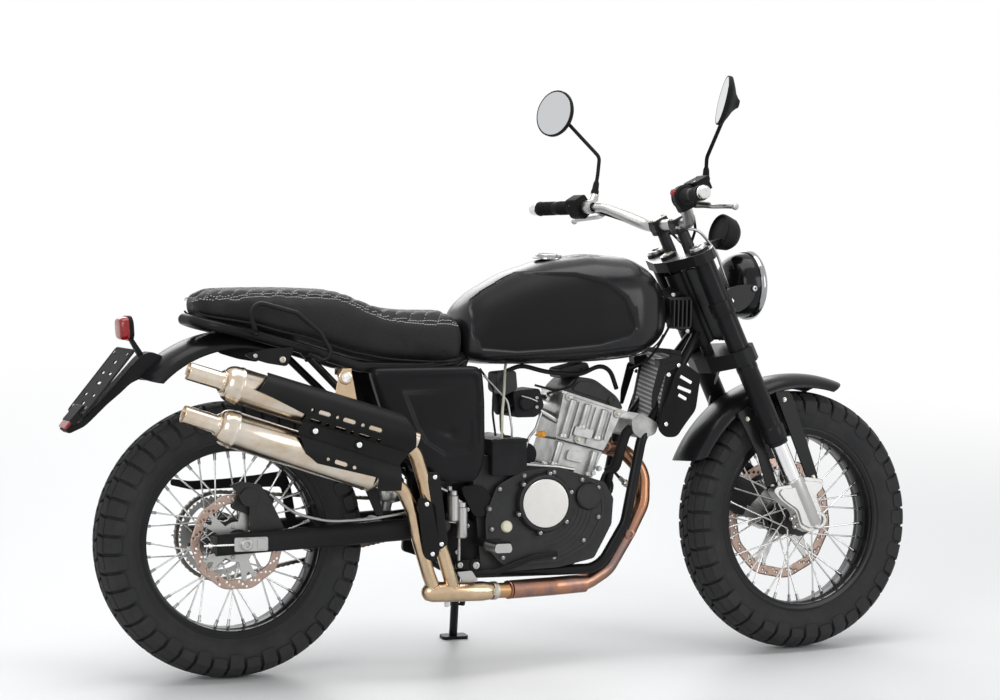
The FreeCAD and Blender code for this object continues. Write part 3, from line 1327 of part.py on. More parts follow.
def pieces():
    """Every node's shape on the upright machine, by the body it rides on."""
    main = main_frame()
    rear = seated(rear_frame(), [main])
    frame = Part.makeCompound([main, rear])
    arm = swingarm()
    case = seated(crankcase(), [frame, frame_room(), arm, rear_axle_set()])
    barrel = seated(cylinder(), [case])
    head = seated(cylinder_head(), [barrel])
    inlet = seated(intake(), [head, frame, case])
    cover = seated(clutch_cover(), [case])
    pipes = risers()
    pipes = joined([seated(header(), [head]), pipes])
    cans = silencers()
    cans = together([seated(solid, [pipes]) for solid in cans.Solids])
    shields = together(heat_shields())
    tank = seated(fuel_tank(), [frame])
    cap = seated(fuel_cap(), [tank])
    pad = seated(seat(), [frame, tank])
    guard = seated(rear_fender(), [frame])
    holder = seated(plate_holder(), [guard, frame])
    lamp = together([seated(solid, [holder]) for solid in tail_lamp().Solids])
    cooler = seated(radiator(), [frame])
    covers = together([seated(solid, [frame, pad]) for solid in side_covers()])
    foot = together([seated(solid, [frame, case, arm]) for solid in foot_controls()])
    chain = drive_chain()
    shock = seated(rear_shock(), [arm, frame])
    axle = rear_axle_set()
    fixed = {
        "main_frame": main,
        "rear_frame": rear,
        "swingarm": together([arm, axle]),
        "rear_shock": shock,
        "crankcase": case,
        "clutch_cover": cover,
        "cylinder": barrel,
        "cylinder_head": head,
        "intake": inlet,
        "exhaust_pipes": pipes,
        "silencers": cans,
        "heat_shields": shields,
        "fuel_tank": tank,
        "fuel_cap": cap,
        "seat": pad,
        "side_covers": covers,
        "rear_fender": guard,
        "plate_holder": holder,
        "tail_lamp": lamp,
        "grab_hoops": together(grab_hoops()),
        "radiator": cooler,
        "foot_controls": foot,
        "drive_chain": chain,
        "rear_calliper": at_rear_axle(rear_calliper()),
    }
    tubes = together(fork_tubes())
    clamps = triple_clamps()
    turning = {
        "fork_tubes": tubes,
        "fork_sliders": together(fork_sliders()),
        "triple_clamps": clamps,
        "handlebar": handlebar(),
        "grips": together(grips()),
        "bar_controls": together(bar_controls()),
        "mirrors": together(mirrors()),
        "gauge": gauge(),
        "headlamp": headlamp(),
        "front_fender": front_fender(),
        "front_calliper": moved(front_calliper(), (axle_offset, 0, 0)),
    }
    front = {
        "front_tyre": tyre(front_tyre_radius, front_tyre_width, front_rim_width, front_lugs),
        "front_rim": rim(front_rim_width),
        "front_hub": together([front_hub(), *spokes(40, 29, 48).Solids]),
        "front_disc": brake_disc(front_disc_radius, front_disc_side, 28.0, 5, 24),
    }
    rear = {
        "rear_tyre": tyre(rear_tyre_radius, rear_tyre_width, rear_rim_width, rear_lugs),
        "rear_rim": rim(rear_rim_width),
        "rear_hub": together([rear_hub(), *spokes(46, 29, 48).Solids]),
        "rear_disc": brake_disc(rear_disc_radius, -rear_disc_side, 28.0, 5, 22),
        "rear_sprocket": rear_sprocket(),
    }
    stand = {"side_stand": joined([side_stand(), side_stand_spring()])}
    return fixed, turning, front, rear, stand


def front_hub():
    bore = axle_radius + bearing_clearance
    profile = [
        (-74, bore), (-74, 16), (-38, 18), (-33, 42), (-26, 42), (-22, 24), (22, 24), (26, 42), (33, 42), (38, 26),
        (54, 26), (54, 38), (60, 38), (60, 27.7), (65, 27.7), (67, 16), (74, 16), (74, bore),
    ]
    return spun(profile)


def rear_hub():
    bore = axle_radius + bearing_clearance
    profile = [
        (-95.5, bore), (-95.5, 16), (-75, 16), (-75, 27.7), (-68, 27.7), (-68, 38), (-62, 38), (-60, 28), (-38, 28),
        (-33, 48), (-26, 48), (-22, 30), (22, 30), (26, 48), (33, 48), (38, 34), (70, 44), (79.5, 44), (79.5, 32.7),
        (86, 32.7), (86, 18), (95.5, 18), (95.5, bore),
    ]
    return spun(profile)


def at_rest(shape, fork=False):
    """A shape of the upright machine, or of the steering frame, in its place at rest."""
    if fork:
        shape = on_machine(turned(shape, (0, 0, 1), steer_rest))
    shape = turned(shape, (1, 0, 0), -lean)
    return shape


def assembled():
    fixed, turning, front, rear, stand = pieces()
    placed = {}
    for name, shape in fixed.items():
        placed[name] = at_rest(shape)
    for name, shape in turning.items():
        placed[name] = at_rest(shape, True)
    for name, shape in front.items():
        placed[name] = at_rest(moved(shape, (axle_offset, 0, 0)), True)
    for name, shape in rear.items():
        placed[name] = at_rest(at_rear_axle(shape))
    for name, shape in stand.items():
        placed[name] = at_rest(shape)
    box = FreeCAD.BoundBox()
    for name in ("front_tyre", "rear_tyre", "side_stand", "tail_lamp", "plate_holder", "mirrors", "grips"):
        box.add(placed[name].optimalBoundingBox())
    shift = Vector(-(box.XMin + box.XMax) / 2, -(box.YMin + box.YMax) / 2, -box.ZMin)
    return {name: moved(shape, shift) for name, shape in placed.items()}, shift


def main():
    os.makedirs("parts", exist_ok=True)
    placed, shift = assembled()
    for name, shape in placed.items():
        shape.exportStep("parts/" + name + ".step")
        print(name, len(shape.Solids), round(shape.Volume / 1000), shape.isValid())
    print("shift", [round(v, 3) for v in shift])
    print("plate face, upright", [round(v, 3) for v in plate_face_point()])


if __name__ == "__main__":
    main()
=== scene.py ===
import json
import math
import bmesh
import bpy
import numpy as np
from mathutils import Matrix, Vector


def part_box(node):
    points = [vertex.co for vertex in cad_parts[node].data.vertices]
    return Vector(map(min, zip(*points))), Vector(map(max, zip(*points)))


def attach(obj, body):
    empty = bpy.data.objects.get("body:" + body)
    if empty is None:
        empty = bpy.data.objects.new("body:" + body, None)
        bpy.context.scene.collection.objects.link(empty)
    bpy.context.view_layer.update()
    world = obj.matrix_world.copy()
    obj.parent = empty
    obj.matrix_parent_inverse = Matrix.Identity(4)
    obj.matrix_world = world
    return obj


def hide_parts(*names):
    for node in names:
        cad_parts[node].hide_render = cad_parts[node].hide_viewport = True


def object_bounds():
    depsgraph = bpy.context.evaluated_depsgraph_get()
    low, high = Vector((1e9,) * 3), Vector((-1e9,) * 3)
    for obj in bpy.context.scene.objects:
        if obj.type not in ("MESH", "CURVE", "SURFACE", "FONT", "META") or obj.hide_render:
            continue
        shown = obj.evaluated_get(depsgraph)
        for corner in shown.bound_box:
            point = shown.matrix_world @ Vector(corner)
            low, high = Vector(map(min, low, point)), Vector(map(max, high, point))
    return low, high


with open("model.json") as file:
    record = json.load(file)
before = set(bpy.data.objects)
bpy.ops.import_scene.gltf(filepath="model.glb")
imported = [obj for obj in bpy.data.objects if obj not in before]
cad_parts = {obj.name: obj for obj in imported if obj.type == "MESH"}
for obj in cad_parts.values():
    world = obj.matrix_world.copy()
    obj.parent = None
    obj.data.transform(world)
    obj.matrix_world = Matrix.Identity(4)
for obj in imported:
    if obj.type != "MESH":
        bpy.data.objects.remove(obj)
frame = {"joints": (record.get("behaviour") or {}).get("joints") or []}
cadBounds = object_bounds()
print("frame loaded")
nearAxis = 0.01  # a turned profile ends this near its axis
edgeAngle = 35  # bevels take the edges that turn by more degrees than this

# sizes are in millimetres, in the homes below
stance = {
    "lean": 6.5, "steer": 7.0, "rake": 24.5, "wheelbase": 1455, "axleAhead": 40,
    "rearTyre": 320, "frontTyre": 316, "mm": 0.001,
}


def turnMatrix(axis, degrees):
    # Rodrigues' turn about a unit axis
    x, y, z = np.array(axis, float) / np.linalg.norm(axis)
    cross = np.array([[0, -z, y], [z, 0, -x], [-y, x, 0]])
    angle = math.radians(degrees)
    return np.eye(3) + math.sin(angle) * cross + (1 - math.cos(angle)) * cross @ cross


# each home is a turn and an origin in metres: the upright machine, the fork's own frame and the axles
jointAt = {joint["name"]: np.array(joint["pos_m"]) for joint in frame["joints"]}
leanTurn = turnMatrix((1, 0, 0), -stance["lean"])
rakeTurn = turnMatrix((0, 1, 0), -stance["rake"])
forkTurn = leanTurn @ rakeTurn @ turnMatrix((0, 0, 1), stance["steer"])
machineAt = jointAt["rear_wheel_spin"] - leanTurn @ np.array([0, 0, stance["rearTyre"]]) * stance["mm"]
axleOut = rakeTurn @ np.array([stance["axleAhead"], 0, 0])
forkFoot = np.array([stance["wheelbase"], 0, stance["frontTyre"]]) - axleOut
forkAt = machineAt + leanTurn @ forkFoot * stance["mm"]
homes = {
    "machine": (leanTurn, machineAt),
    "fork": (forkTurn, forkAt),
    "rearAxle": (leanTurn, jointAt["rear_wheel_spin"]),
    "frontAxle": (forkTurn, forkAt + forkTurn @ np.array([stance["axleAhead"], 0, 0]) * stance["mm"]),
}
bodyOf = {"machine": "chassis", "fork": "fork", "rearAxle": "rear_wheel", "frontAxle": "front_wheel"}


def inHome(points, home):
    # points of a home, in millimetres, into the row's frame in metres
    turn, origin = homes[home]
    return np.asarray(points, float) * stance["mm"] @ turn.T + origin


def circle(count, start=0.0, span=360.0, closed=True):
    # angles at even steps: start plus span times the index over the count, or over one less when the ends are kept
    return np.radians(start + span * np.arange(count) / (count if closed else count - 1))


class Shape:
    # points and faces gathered from grids, fans and copies, made into one mesh at the end
    def __init__(self):
        self.points, self.loops, self.totals, self.uvs = [], [], [], []
        self.count = 0

    def add(self, points, faces, uv=None):
        # points and faces of one size; the faces count on from the points already held
        points = np.asarray(points, float).reshape(-1, 3)
        faces = np.asarray(faces, int)
        self.points.append(points)
        self.loops.append(faces.ravel() + self.count)
        self.totals.append(np.full(len(faces), faces.shape[1]))
        cornerUv = np.zeros((faces.size, 2)) if uv is None else np.asarray(uv, float).reshape(-1, 2)[faces.ravel()]
        self.uvs.append(cornerUv)
        self.count += len(points)
        return self

    def grid(self, points, closeU=False, closeV=False, capStart=False, capEnd=False, uv=None):
        # a surface from points[u, v]; quads join neighbours, the ends may be closed with one face
        rows, columns = points.shape[:2]
        u = np.arange(rows if closeU else rows - 1)[:, None]
        v = np.arange(columns if closeV else columns - 1)[None, :]
        nextU, nextV = (u + 1) % rows, (v + 1) % columns
        quads = np.stack([u * columns + v, nextU * columns + v, nextU * columns + nextV, u * columns + nextV], -1)
        self.add(points, quads.reshape(-1, 4), uv)
        first = self.count - rows * columns
        last = (rows - 1) * columns + np.arange(columns)[::-1]
        for wanted, ring in ((capStart, np.arange(columns)), (capEnd, last)):
            if wanted:
                self.loops.append(ring + first)
                self.totals.append(np.array([columns]))
                self.uvs.append(np.zeros((columns, 2)))
        return self

    def cells(self, points, keep, closeU=False):
        # the cells of a grid that a mask keeps, so that a sheet has real holes
        rows, columns = points.shape[:2]
        u, v = np.nonzero(keep)
        nextU = (u + 1) % rows if closeU else u + 1
        quads = np.stack([u * columns + v, nextU * columns + v, nextU * columns + v + 1, u * columns + v + 1], -1)
        return self.add(points, quads)

    def join(self, other, turns=None, offsets=None):
        # another shape, once or as turned and moved copies
        points = np.concatenate(other.points)
        loops, totals, uvs = np.concatenate(other.loops), np.concatenate(other.totals), np.concatenate(other.uvs)
        turns = [np.eye(3)] if turns is None else turns
        offsets = [np.zeros(3)] * len(turns) if offsets is None else offsets
        for turn, offset in zip(turns, offsets):
            self.points.append(points @ np.asarray(turn).T + offset)
            self.loops.append(loops + self.count)
            self.totals.append(totals)
            self.uvs.append(uvs)
            self.count += len(points)
        return self

    def mirrored(self):
        # itself and its image across the middle plane, with the image's faces turned back outwards
        points, loops = np.concatenate(self.points), np.concatenate(self.loops)
        totals, uvs = np.concatenate(self.totals), np.concatenate(self.uvs)
        ends = np.cumsum(totals)
        back = np.repeat(ends - totals, totals) + np.repeat(ends, totals) - 1 - np.arange(len(loops))
        self.points.append(points * [1, -1, 1])
        self.loops.append(loops[back] + self.count)
        self.totals.append(totals)
        self.uvs.append(uvs[back])
        self.count += len(points)
        return self


def meshObject(name, shape, home, sharp=40):
    # the gathered points and faces as one object, placed in the row's frame
    points, loops = inHome(np.concatenate(shape.points), home), np.concatenate(shape.loops)
    totals, uvs = np.concatenate(shape.totals), np.concatenate(shape.uvs)
    mesh = bpy.data.meshes.new(name)
    mesh.vertices.add(len(points))
    mesh.vertices.foreach_set("co", points.ravel())
    mesh.loops.add(len(loops))
    mesh.loops.foreach_set("vertex_index", loops)
    mesh.polygons.add(len(totals))
    mesh.polygons.foreach_set("loop_start", np.cumsum(totals) - totals)
    mesh.polygons.foreach_set("loop_total", totals)
    mesh.uv_layers.new(name="UVMap").data.foreach_set("uv", uvs.ravel())
    mesh.update(calc_edges=True)
    mesh.validate()
    loose = bmesh.new()
    loose.from_mesh(mesh)
    bmesh.ops.recalc_face_normals(loose, faces=loose.faces)
    loose.to_mesh(mesh)
    loose.free()
    mesh.polygons.foreach_set("use_smooth", np.ones(len(mesh.polygons), bool))
    mesh.set_sharp_from_angle(angle=math.radians(sharp))
    piece = bpy.data.objects.new(name, mesh)
    bpy.context.collection.objects.link(piece)
    return piece


def build(name, shape, finish, home="machine", replaces=(), body=None, sharp=40, bevel=0.0, bevelSteps=2,
          wall=0.0, cuts=None):
    # the piece with its finish and body; a wall thickens a sheet both ways, cuts are taken out of it
    piece = meshObject(name, shape, home, sharp)
    piece.data.materials.append(finishes[finish])
    if wall:
        skin = piece.modifiers.new("wall", "SOLIDIFY")
        skin.thickness, skin.offset = wall * stance["mm"], 0.0
    if cuts:
        tool = meshObject("cutter", cuts, home)
        cut = piece.modifiers.new("cut", "BOOLEAN")
        cut.operation, cut.solver, cut.object = "DIFFERENCE", "EXACT", tool
        applied(piece).set_sharp_from_angle(angle=math.radians(sharp))
        bpy.data.objects.remove(tool)
    if bevel:
        edge = piece.modifiers.new("edges", "BEVEL")
        edge.width = bevel * stance["mm"]
        edge.segments = bevelSteps
        edge.limit_method = "ANGLE"
        edge.angle_limit = math.radians(edgeAngle)
    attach(piece, body or bodyOf[home])
    if replaces:
        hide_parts(*replaces)
    return piece


def applied(piece):
    # the mesh as its modifiers leave it
    mesh = bpy.data.meshes.new_from_object(piece.evaluated_get(bpy.context.evaluated_depsgraph_get()))
    piece.modifiers.clear()
    piece.data = mesh
    return mesh


def spun(profile, count=96, start=0.0, span=360.0, axis="y"):
    # a profile of (along, radius) carried round an axis: x = r cos t, z = r sin t, the third is along
    profile = np.asarray(profile, float)
    whole = span >= 360
    angles = circle(count, start, span, whole)
    along = np.broadcast_to(profile[:, 0], (count, len(profile)))
    c, s = np.cos(angles)[:, None] * profile[:, 1], np.sin(angles)[:, None] * profile[:, 1]
    layers = {"y": (c, along, s), "z": (c, s, along), "x": (along, c, s)}[axis]
    points = np.stack(layers, -1)
    if axis == "y":
        points = points[::-1]
    turn = np.stack(np.meshgrid(angles * 60, np.arange(len(profile)) * 4.0, indexing="ij"), -1)
    return Shape().grid(points, closeU=whole, closeV=False, uv=turn)


def aimed(shape, start, direction, roll=0.0):
    # a shape drawn along its own Z, moved so that Z points along a direction from start
    z = np.array(direction, float) / np.linalg.norm(direction)
    side = np.array([0, 1, 0]) if abs(z[1]) < 0.9 else np.array([1, 0, 0])
    x = np.cross(side, z)
    x /= np.linalg.norm(x)
    basis = np.stack([x, np.cross(z, x), z], 1) @ turnMatrix((0, 0, 1), roll)
    return Shape().join(shape, [basis], [np.array(start, float)])


def lathe(profile, start, direction, count=48):
    # a profile of (distance, radius) turned about a line, closed where the radius is nothing
    return aimed(spun(profile, count, axis="z"), start, direction)


def turned(profile, start, direction, count=48):
    # the same with both ends closed in flat to the line
    return lathe([(profile[0][0], nearAxis), *profile, (profile[-1][0], nearAxis)], start, direction, count)


def roundedPath(corners, bend, step=6.0):
    # straight runs joined by tangent arcs, as points about a step apart
    corners = np.asarray(corners, float)
    pieces = [corners[:1]]
    for before, corner, after in zip(corners[:-2], corners[1:-1], corners[2:]):
        back, ahead = before - corner, after - corner
        backRun, aheadRun = np.linalg.norm(back), np.linalg.norm(ahead)
        back, ahead = back / backRun, ahead / aheadRun
        half = math.acos(np.clip(back @ ahead, -1, 1)) / 2
        cut = min(bend / math.tan(half), 0.48 * min(backRun, aheadRun))
        radius = cut * math.tan(half)
        middle = (back + ahead) / np.linalg.norm(back + ahead)
        centre = corner + middle * radius / math.sin(half)
        a, b = corner + back * cut - centre, corner + ahead * cut - centre
        swing = math.pi - 2 * half
        share = np.linspace(0, 1, max(4, int(radius * swing / step) + 2))[:, None]
        arc = (np.sin((1 - share) * swing) * a + np.sin(share * swing) * b) / math.sin(swing)
        pieces.append(centre + arc)
    pieces.append(corners[-1:])
    return np.concatenate(pieces)


def resampled(path, step):
    # the same line with points an even step apart
    runs = np.r_[0, np.cumsum(np.linalg.norm(np.diff(path, axis=0), axis=1))]
    wanted = np.linspace(0, runs[-1], max(2, int(runs[-1] / step) + 1))
    return np.stack([np.interp(wanted, runs, path[:, k]) for k in range(3)], 1)


def carried(path, section, closed=True, scale=None, up=(0, 0, 1)):
    # a section of (side, rise) carried along a path; its frame keeps close to the given up
    path = np.asarray(path, float)
    along = np.gradient(path, axis=0)
    along /= np.linalg.norm(along, axis=1)[:, None]
    side = np.cross(np.broadcast_to(np.array(up, float), along.shape), along)
    if np.linalg.norm(side, axis=1).min() < 0.3:
        # where the path runs along that way, the frame is handed on from station to station instead
        side[0] = np.cross(np.roll(up, 1) + np.array([0.1, 0.0, 0.2]), along[0])
        for k in range(1, len(along)):
            side[k] = side[k - 1] - along[k] * (side[k - 1] @ along[k])
            side[k] /= np.linalg.norm(side[k])
    side /= np.linalg.norm(side, axis=1)[:, None]
    rise = np.cross(along, side)
    section = np.asarray(section, float)
    sizes = np.ones(len(path)) if scale is None else np.asarray(scale, float)
    across = side[:, None] * section[None, :, :1] + rise[:, None] * section[None, :, 1:]
    points = path[:, None] + sizes[:, None, None] * across
    runs = np.r_[0, np.cumsum(np.linalg.norm(np.diff(path, axis=0), axis=1))]
    uv = np.stack(np.meshgrid(runs, np.arange(len(section)) * 1.0, indexing="ij"), -1)
    return Shape().grid(points, closeV=closed, capStart=closed, capEnd=closed, uv=uv)


def ring(radius, count=20, squash=1.0):
    # a round section of radius cos t and squash times radius sin t
    angles = circle(count)
    return np.stack([radius * np.cos(angles), radius * squash * np.sin(angles)], 1)


def tube(corners, radius, bend=60.0, count=20, step=6.0, up=(0, 1, 0)):
    # a round section carried along a rounded path
    return carried(roundedPath(corners, bend, step), ring(radius, count), up=up)


def plate(outline, low, high, axis="y"):
    # a flat plate of an outline of two coordinates, between two heights along the third axis
    outline = np.asarray(outline, float)
    turning = np.sum(outline[:, 0] * np.roll(outline[:, 1], -1) - np.roll(outline[:, 0], -1) * outline[:, 1])
    if turning < 0:
        outline = outline[::-1]
    order = {"y": (0, 2, 1), "z": (0, 1, 2), "x": (2, 0, 1)}[axis]
    levels = (high, low) if axis == "y" else (low, high)
    flat = [np.column_stack([outline, np.full(len(outline), level)]) for level in levels]
    points = np.stack(flat)[:, :, list(np.argsort(order))]
    return Shape().grid(points, closeV=True, capStart=True, capEnd=True)


def roundedOutline(corners, radius, steps=5):
    # a closed outline whose corners are arcs
    corners = np.asarray(corners, float)
    before, after = np.roll(corners, 1, 0) - corners, np.roll(corners, -1, 0) - corners
    a, b = np.linalg.norm(before, axis=1), np.linalg.norm(after, axis=1)
    cut = np.minimum(radius, 0.45 * np.minimum(a, b))[:, None]
    start, end = corners + before / a[:, None] * cut, corners + after / b[:, None] * cut
    share = np.linspace(0, 1, steps)[None, :, None]
    curve = (1 - share) ** 2 * start[:, None] + 2 * share * (1 - share) * corners[:, None] + share ** 2 * end[:, None]
    return curve.reshape(-1, 2)


def roundPlate(corners, bend, low, high, axis="y", steps=5):
    # a plate whose outline has its corners rounded
    return plate(roundedOutline(corners, bend, steps), low, high, axis)


def boxShape(low, high):
    # a plain block between two corners
    x0, y0, z0 = low
    x1, y1, z1 = high
    return plate([(x0, z0), (x1, z0), (x1, z1), (x0, z1)], y0, y1)


def hexBolt(start, direction, across=10.0, height=6.0):
    # a hexagon head with its chamfer and washer
    head = Shape().grid(np.stack([np.column_stack([ring(r, 6), np.full(6, h)]) for h, r in
                                  ((0, across * 0.56), (height * 0.85, across * 0.56), (height, across * 0.46))]),
                        closeV=True, capStart=True, capEnd=True)
    washer = spun([(0, across * 0.72), (1.2, across * 0.72), (1.2, 0.0)], 24, axis="z")
    return aimed(Shape().join(head).join(washer), start, direction)


def capBolt(start, direction, radius=5.0, height=6.0):
    # a socket cap screw with its recess
    return lathe([(0, radius), (height * 0.85, radius), (height, radius * 0.85), (height, radius * 0.5),
                  (height * 0.4, radius * 0.5), (height * 0.4, 0.01)], start, direction, 20)


def weldBead(centre, axis, radius, ripple=0.7, count=72):
    # a ring of overlapping drops: a torus whose thin radius swings with the angle
    around, across = circle(count), circle(8)
    thin = 1.8 + ripple * np.abs(np.sin(around * count / 8))
    out = radius + thin[:, None] * np.cos(across)[None, :]
    rise = thin[:, None] * np.sin(across)[None, :]
    points = np.stack([out * np.cos(around)[:, None], out * np.sin(around)[:, None], rise], -1)
    return aimed(Shape().grid(points, closeU=True, closeV=True), centre, axis)


# a shape joins what a maker makes by the maker's own name: shape.tube(...) is shape.join(tube(...))
for maker in (lathe, turned, plate, roundPlate, boxShape, tube, carried, weldBead, hexBolt, capBolt):
    setattr(Shape, maker.__name__, lambda self, *given, maker=maker, **named: self.join(maker(*given, **named)))
print("shape tools ready")

# materials: a socket with arithmetic, and one method for every other node


class Wire:
    # a socket that takes part in sums; every operator adds the math node of its kind
    def __init__(self, paint, socket):
        self.paint, self.socket = paint, socket

    def reckon(self, operation, *values):
        # one math node over the given values
        return self.paint.node("ShaderNodeMath", {"operation": operation}, values)

    def __add__(self, other):
        return self.reckon("ADD", self, other)

    def __sub__(self, other):
        return self.reckon("SUBTRACT", self, other)

    def __rsub__(self, other):
        return self.reckon("SUBTRACT", other, self)

    def __mul__(self, other):
        return self.reckon("MULTIPLY", self, other)

    def __truediv__(self, other):
        return self.reckon("DIVIDE", self, other)

    def __rtruediv__(self, other):
        return self.reckon("DIVIDE", other, self)

    __radd__, __rmul__ = __add__, __mul__

    def wave(self):
        # the sine of the value, in radians
        return self.reckon("SINE", self)

    def clear(self):
        # clamped between nothing and one
        return self.paint.node("ShaderNodeClamp", {}, {"Value": self})

    def ramp(self, low, high, start=0.0, end=1.0):
        # low to high becomes start to end, smoothly
        return self.paint.node("ShaderNodeMapRange", {"interpolation_type": "SMOOTHSTEP"},
                               {"Value": self, "From Min": low, "From Max": high, "To Min": start, "To Max": end})


class Paint:
    # the node tree of one finish
    def __init__(self, name):
        self.material = bpy.data.materials.new(name)
        self.material.use_nodes = True
        self.tree = self.material.node_tree
        self.tree.nodes.clear()
        self.output = self.tree.nodes.new("ShaderNodeOutputMaterial")

    def node(self, kind, settings, inputs, outlet=0):
        # a node with its settings, its inputs linked or filled in, and one of its outlets as a wire
        made = self.tree.nodes.new(kind)
        for key, value in settings.items():
            if key == "stops":
                elements = made.color_ramp.elements
                while len(elements) < len(value):
                    elements.new(0.5)
                for element, (place, colour) in zip(elements, value):
                    element.position, element.color = place, (*colour[:3], 1.0)
            else:
                setattr(made, key, value)
        pairs = inputs.items() if isinstance(inputs, dict) else enumerate(inputs)
        for key, value in pairs:
            target = made.inputs[key]
            if isinstance(value, Wire):
                self.tree.links.new(value.socket, target)
            else:
                target.default_value = value
        return Wire(self, made.outputs[outlet])

    def where(self, scale=(1, 1, 1), turn=(0, 0, 0), shift=(0, 0, 0), uv=False):
        # object coordinates, or the piece's own map, moved and scaled
        source = self.node("ShaderNodeTexCoord", {}, {}, "UV" if uv else "Object")
        return self.node("ShaderNodeMapping", {}, {"Vector": source, "Location": shift, "Rotation": turn,
                                                   "Scale": scale})

    def noise(self, vector, scale, detail=3.0, roughness=0.5, distortion=0.0):
        # fractal noise of the place, between nothing and one
        return self.node("ShaderNodeTexNoise", {}, {"Vector": vector, "Scale": scale, "Detail": detail,
                                                    "Roughness": roughness, "Distortion": distortion})

    def cells(self, vector, scale, feature="F1", outlet="Distance"):
        # scattered cells: how far the nearest one is, or another of its outlets
        return self.node("ShaderNodeTexVoronoi", {"feature": feature}, {"Vector": vector, "Scale": scale}, outlet)

    def mix(self, share, first, second):
        # two colours by a share
        return self.node("ShaderNodeMix", {"data_type": "RGBA"},
                         {"Factor": share, "A": self.colour(first), "B": self.colour(second)}, "Result")

    def colour(self, value):
        # a wire as it is, or three numbers with full cover
        return value if isinstance(value, Wire) else (*value[:3], 1.0)

    def bump(self, height, strength, distance):
        # the normal tipped by the slope of a height
        return self.node("ShaderNodeBump", {}, {"Height": height, "Strength": strength, "Distance": distance})

    def finish(self, **sockets):
        # the surface, from sockets by their spoken names
        labels = {"colour": "Base Color", "roughness": "Roughness", "metallic": "Metallic", "coat": "Coat Weight",
                  "coatRoughness": "Coat Roughness", "normal": "Normal", "specular": "Specular IOR Level",
                  "sheen": "Sheen Weight", "transmission": "Transmission Weight"}
        inputs = {labels[key]: value for key, value in sockets.items()}
        shader = self.node("ShaderNodeBsdfPrincipled", {}, inputs)
        self.tree.links.new(shader.socket, self.output.inputs["Surface"])
        return self.material


def paintFinish(name, colour, rough, coat, peel=0.04, dust=0.25):
    # lacquer over colour: orange peel, smeared roughness and a rubbed sheen
    p = Paint(name)
    at = p.where()
    broad, fine = p.noise(at, 7.0, 4.0), p.noise(at, 900.0, 2.0)
    smear = p.noise(p.where((18, 18, 60)), 4.0, 5.0, 0.6)
    tone = p.mix(broad.ramp(0.35, 0.7), colour, tuple(min(1.0, c * 1.35 + 0.002) for c in colour))
    return p.finish(colour=tone, roughness=rough + (smear - 0.5) * dust * 0.4 + (broad - 0.5) * 0.08,
                    coat=coat * 0.3, coatRoughness=0.16, specular=0.11, normal=p.bump(fine, peel, 0.0002))


def tankFinish(name, colour):
    # the tank's lacquer, glossy outside the knee panel and matt inside it, by the panel's own edge distance
    p = Paint(name)
    inside = p.node("ShaderNodeSeparateXYZ", {}, {"Vector": p.where(uv=True)}, 0).ramp(0.0, 0.006)
    broad, fine = p.noise(p.where(), 7.0, 4.0), p.noise(p.where(), 900.0, 2.0)
    tone = p.mix(broad.ramp(0.35, 0.7), colour, tuple(c * 1.35 for c in colour))
    tone = p.mix(inside, tone, tuple(c * 0.75 for c in colour))
    return p.finish(colour=tone, roughness=0.27 + (broad - 0.5) * 0.1 + inside * 0.25, coat=0.25 - inside * 0.25,
                    coatRoughness=0.2, specular=0.16, normal=p.bump(fine, 0.04, 0.0002))


def yokeFinish(name, height):
    # cast black below, brushed bright above a height along the fork
    p = Paint(name)
    up = forkTurn @ np.array([0.0, 0.0, 1.0])
    along = p.node("ShaderNodeVectorMath", {"operation": "DOT_PRODUCT"}, [p.where(), tuple(up)], "Value")
    edge = float(inHome((0, 0, height), "fork") @ up)
    faces = p.node("ShaderNodeNewGeometry", {}, {}, "Normal")
    flat = p.node("ShaderNodeVectorMath", {"operation": "DOT_PRODUCT"}, [faces, tuple(up)], "Value")
    high = along.ramp(edge, edge + 0.001) * flat.ramp(0.6, 0.85)
    grains = p.noise(p.where(), 1200.0, 2.0)
    return p.finish(colour=p.mix(high, (0.015, 0.015, 0.015), (0.40, 0.40, 0.40)), metallic=0.3 + high * 0.6,
                    roughness=0.48 - high * 0.14 + (grains - 0.5) * 0.1, specular=0.2,
                    normal=p.bump(grains, 0.25, 0.0003))


def coreFinish(name):
    # a radiator's core: bright tubes and thin fins as a fine lattice over painted shade in the gaps between them
    p = Paint(name)
    place = p.where()
    x, y, z = (p.node("ShaderNodeSeparateXYZ", {}, {"Vector": place}, k) for k in range(3))
    fins = ((x + y) * 1400.0).wave() * 0.5 + 0.5
    tubes = (z * 620.0).wave() * 0.5 + 0.5
    share = (fins.ramp(0.45, 0.9) * 0.6 + tubes.ramp(0.6, 0.95)).clear()
    # the near-black colour is painted shade in the gaps between the fins and tubes
    return p.finish(colour=p.mix(share, (0.03, 0.03, 0.03), (0.45, 0.45, 0.46)), metallic=0.7, roughness=0.45,
                    normal=p.bump(share, 0.6, 0.001))


def metalFinish(name, colour, rough, grain=(1, 1, 1), grainScale=300.0, depth=0.12, tint=None, metallic=1.0,
                stain=0.2):
    # bare metal: grain drawn out along one direction, and cloudy stains that change tone and roughness
    p = Paint(name)
    lines = p.noise(p.where(grain), grainScale, 3.0, 0.6)
    clouds = p.noise(p.where(), 22.0, 4.0, 0.6)
    darker = tuple(c * 0.72 for c in colour)
    tone = p.mix((clouds.ramp(0.3, 0.75) * stain * 2).clear(), colour, tint or darker)
    tone = p.mix((lines - 0.45).clear() * 0.5, tone, darker)
    return p.finish(colour=tone, metallic=metallic, roughness=rough + (lines - 0.5) * 0.18 + (clouds - 0.5) * stain
                    * 0.4, normal=p.bump(lines, depth, 0.0003))


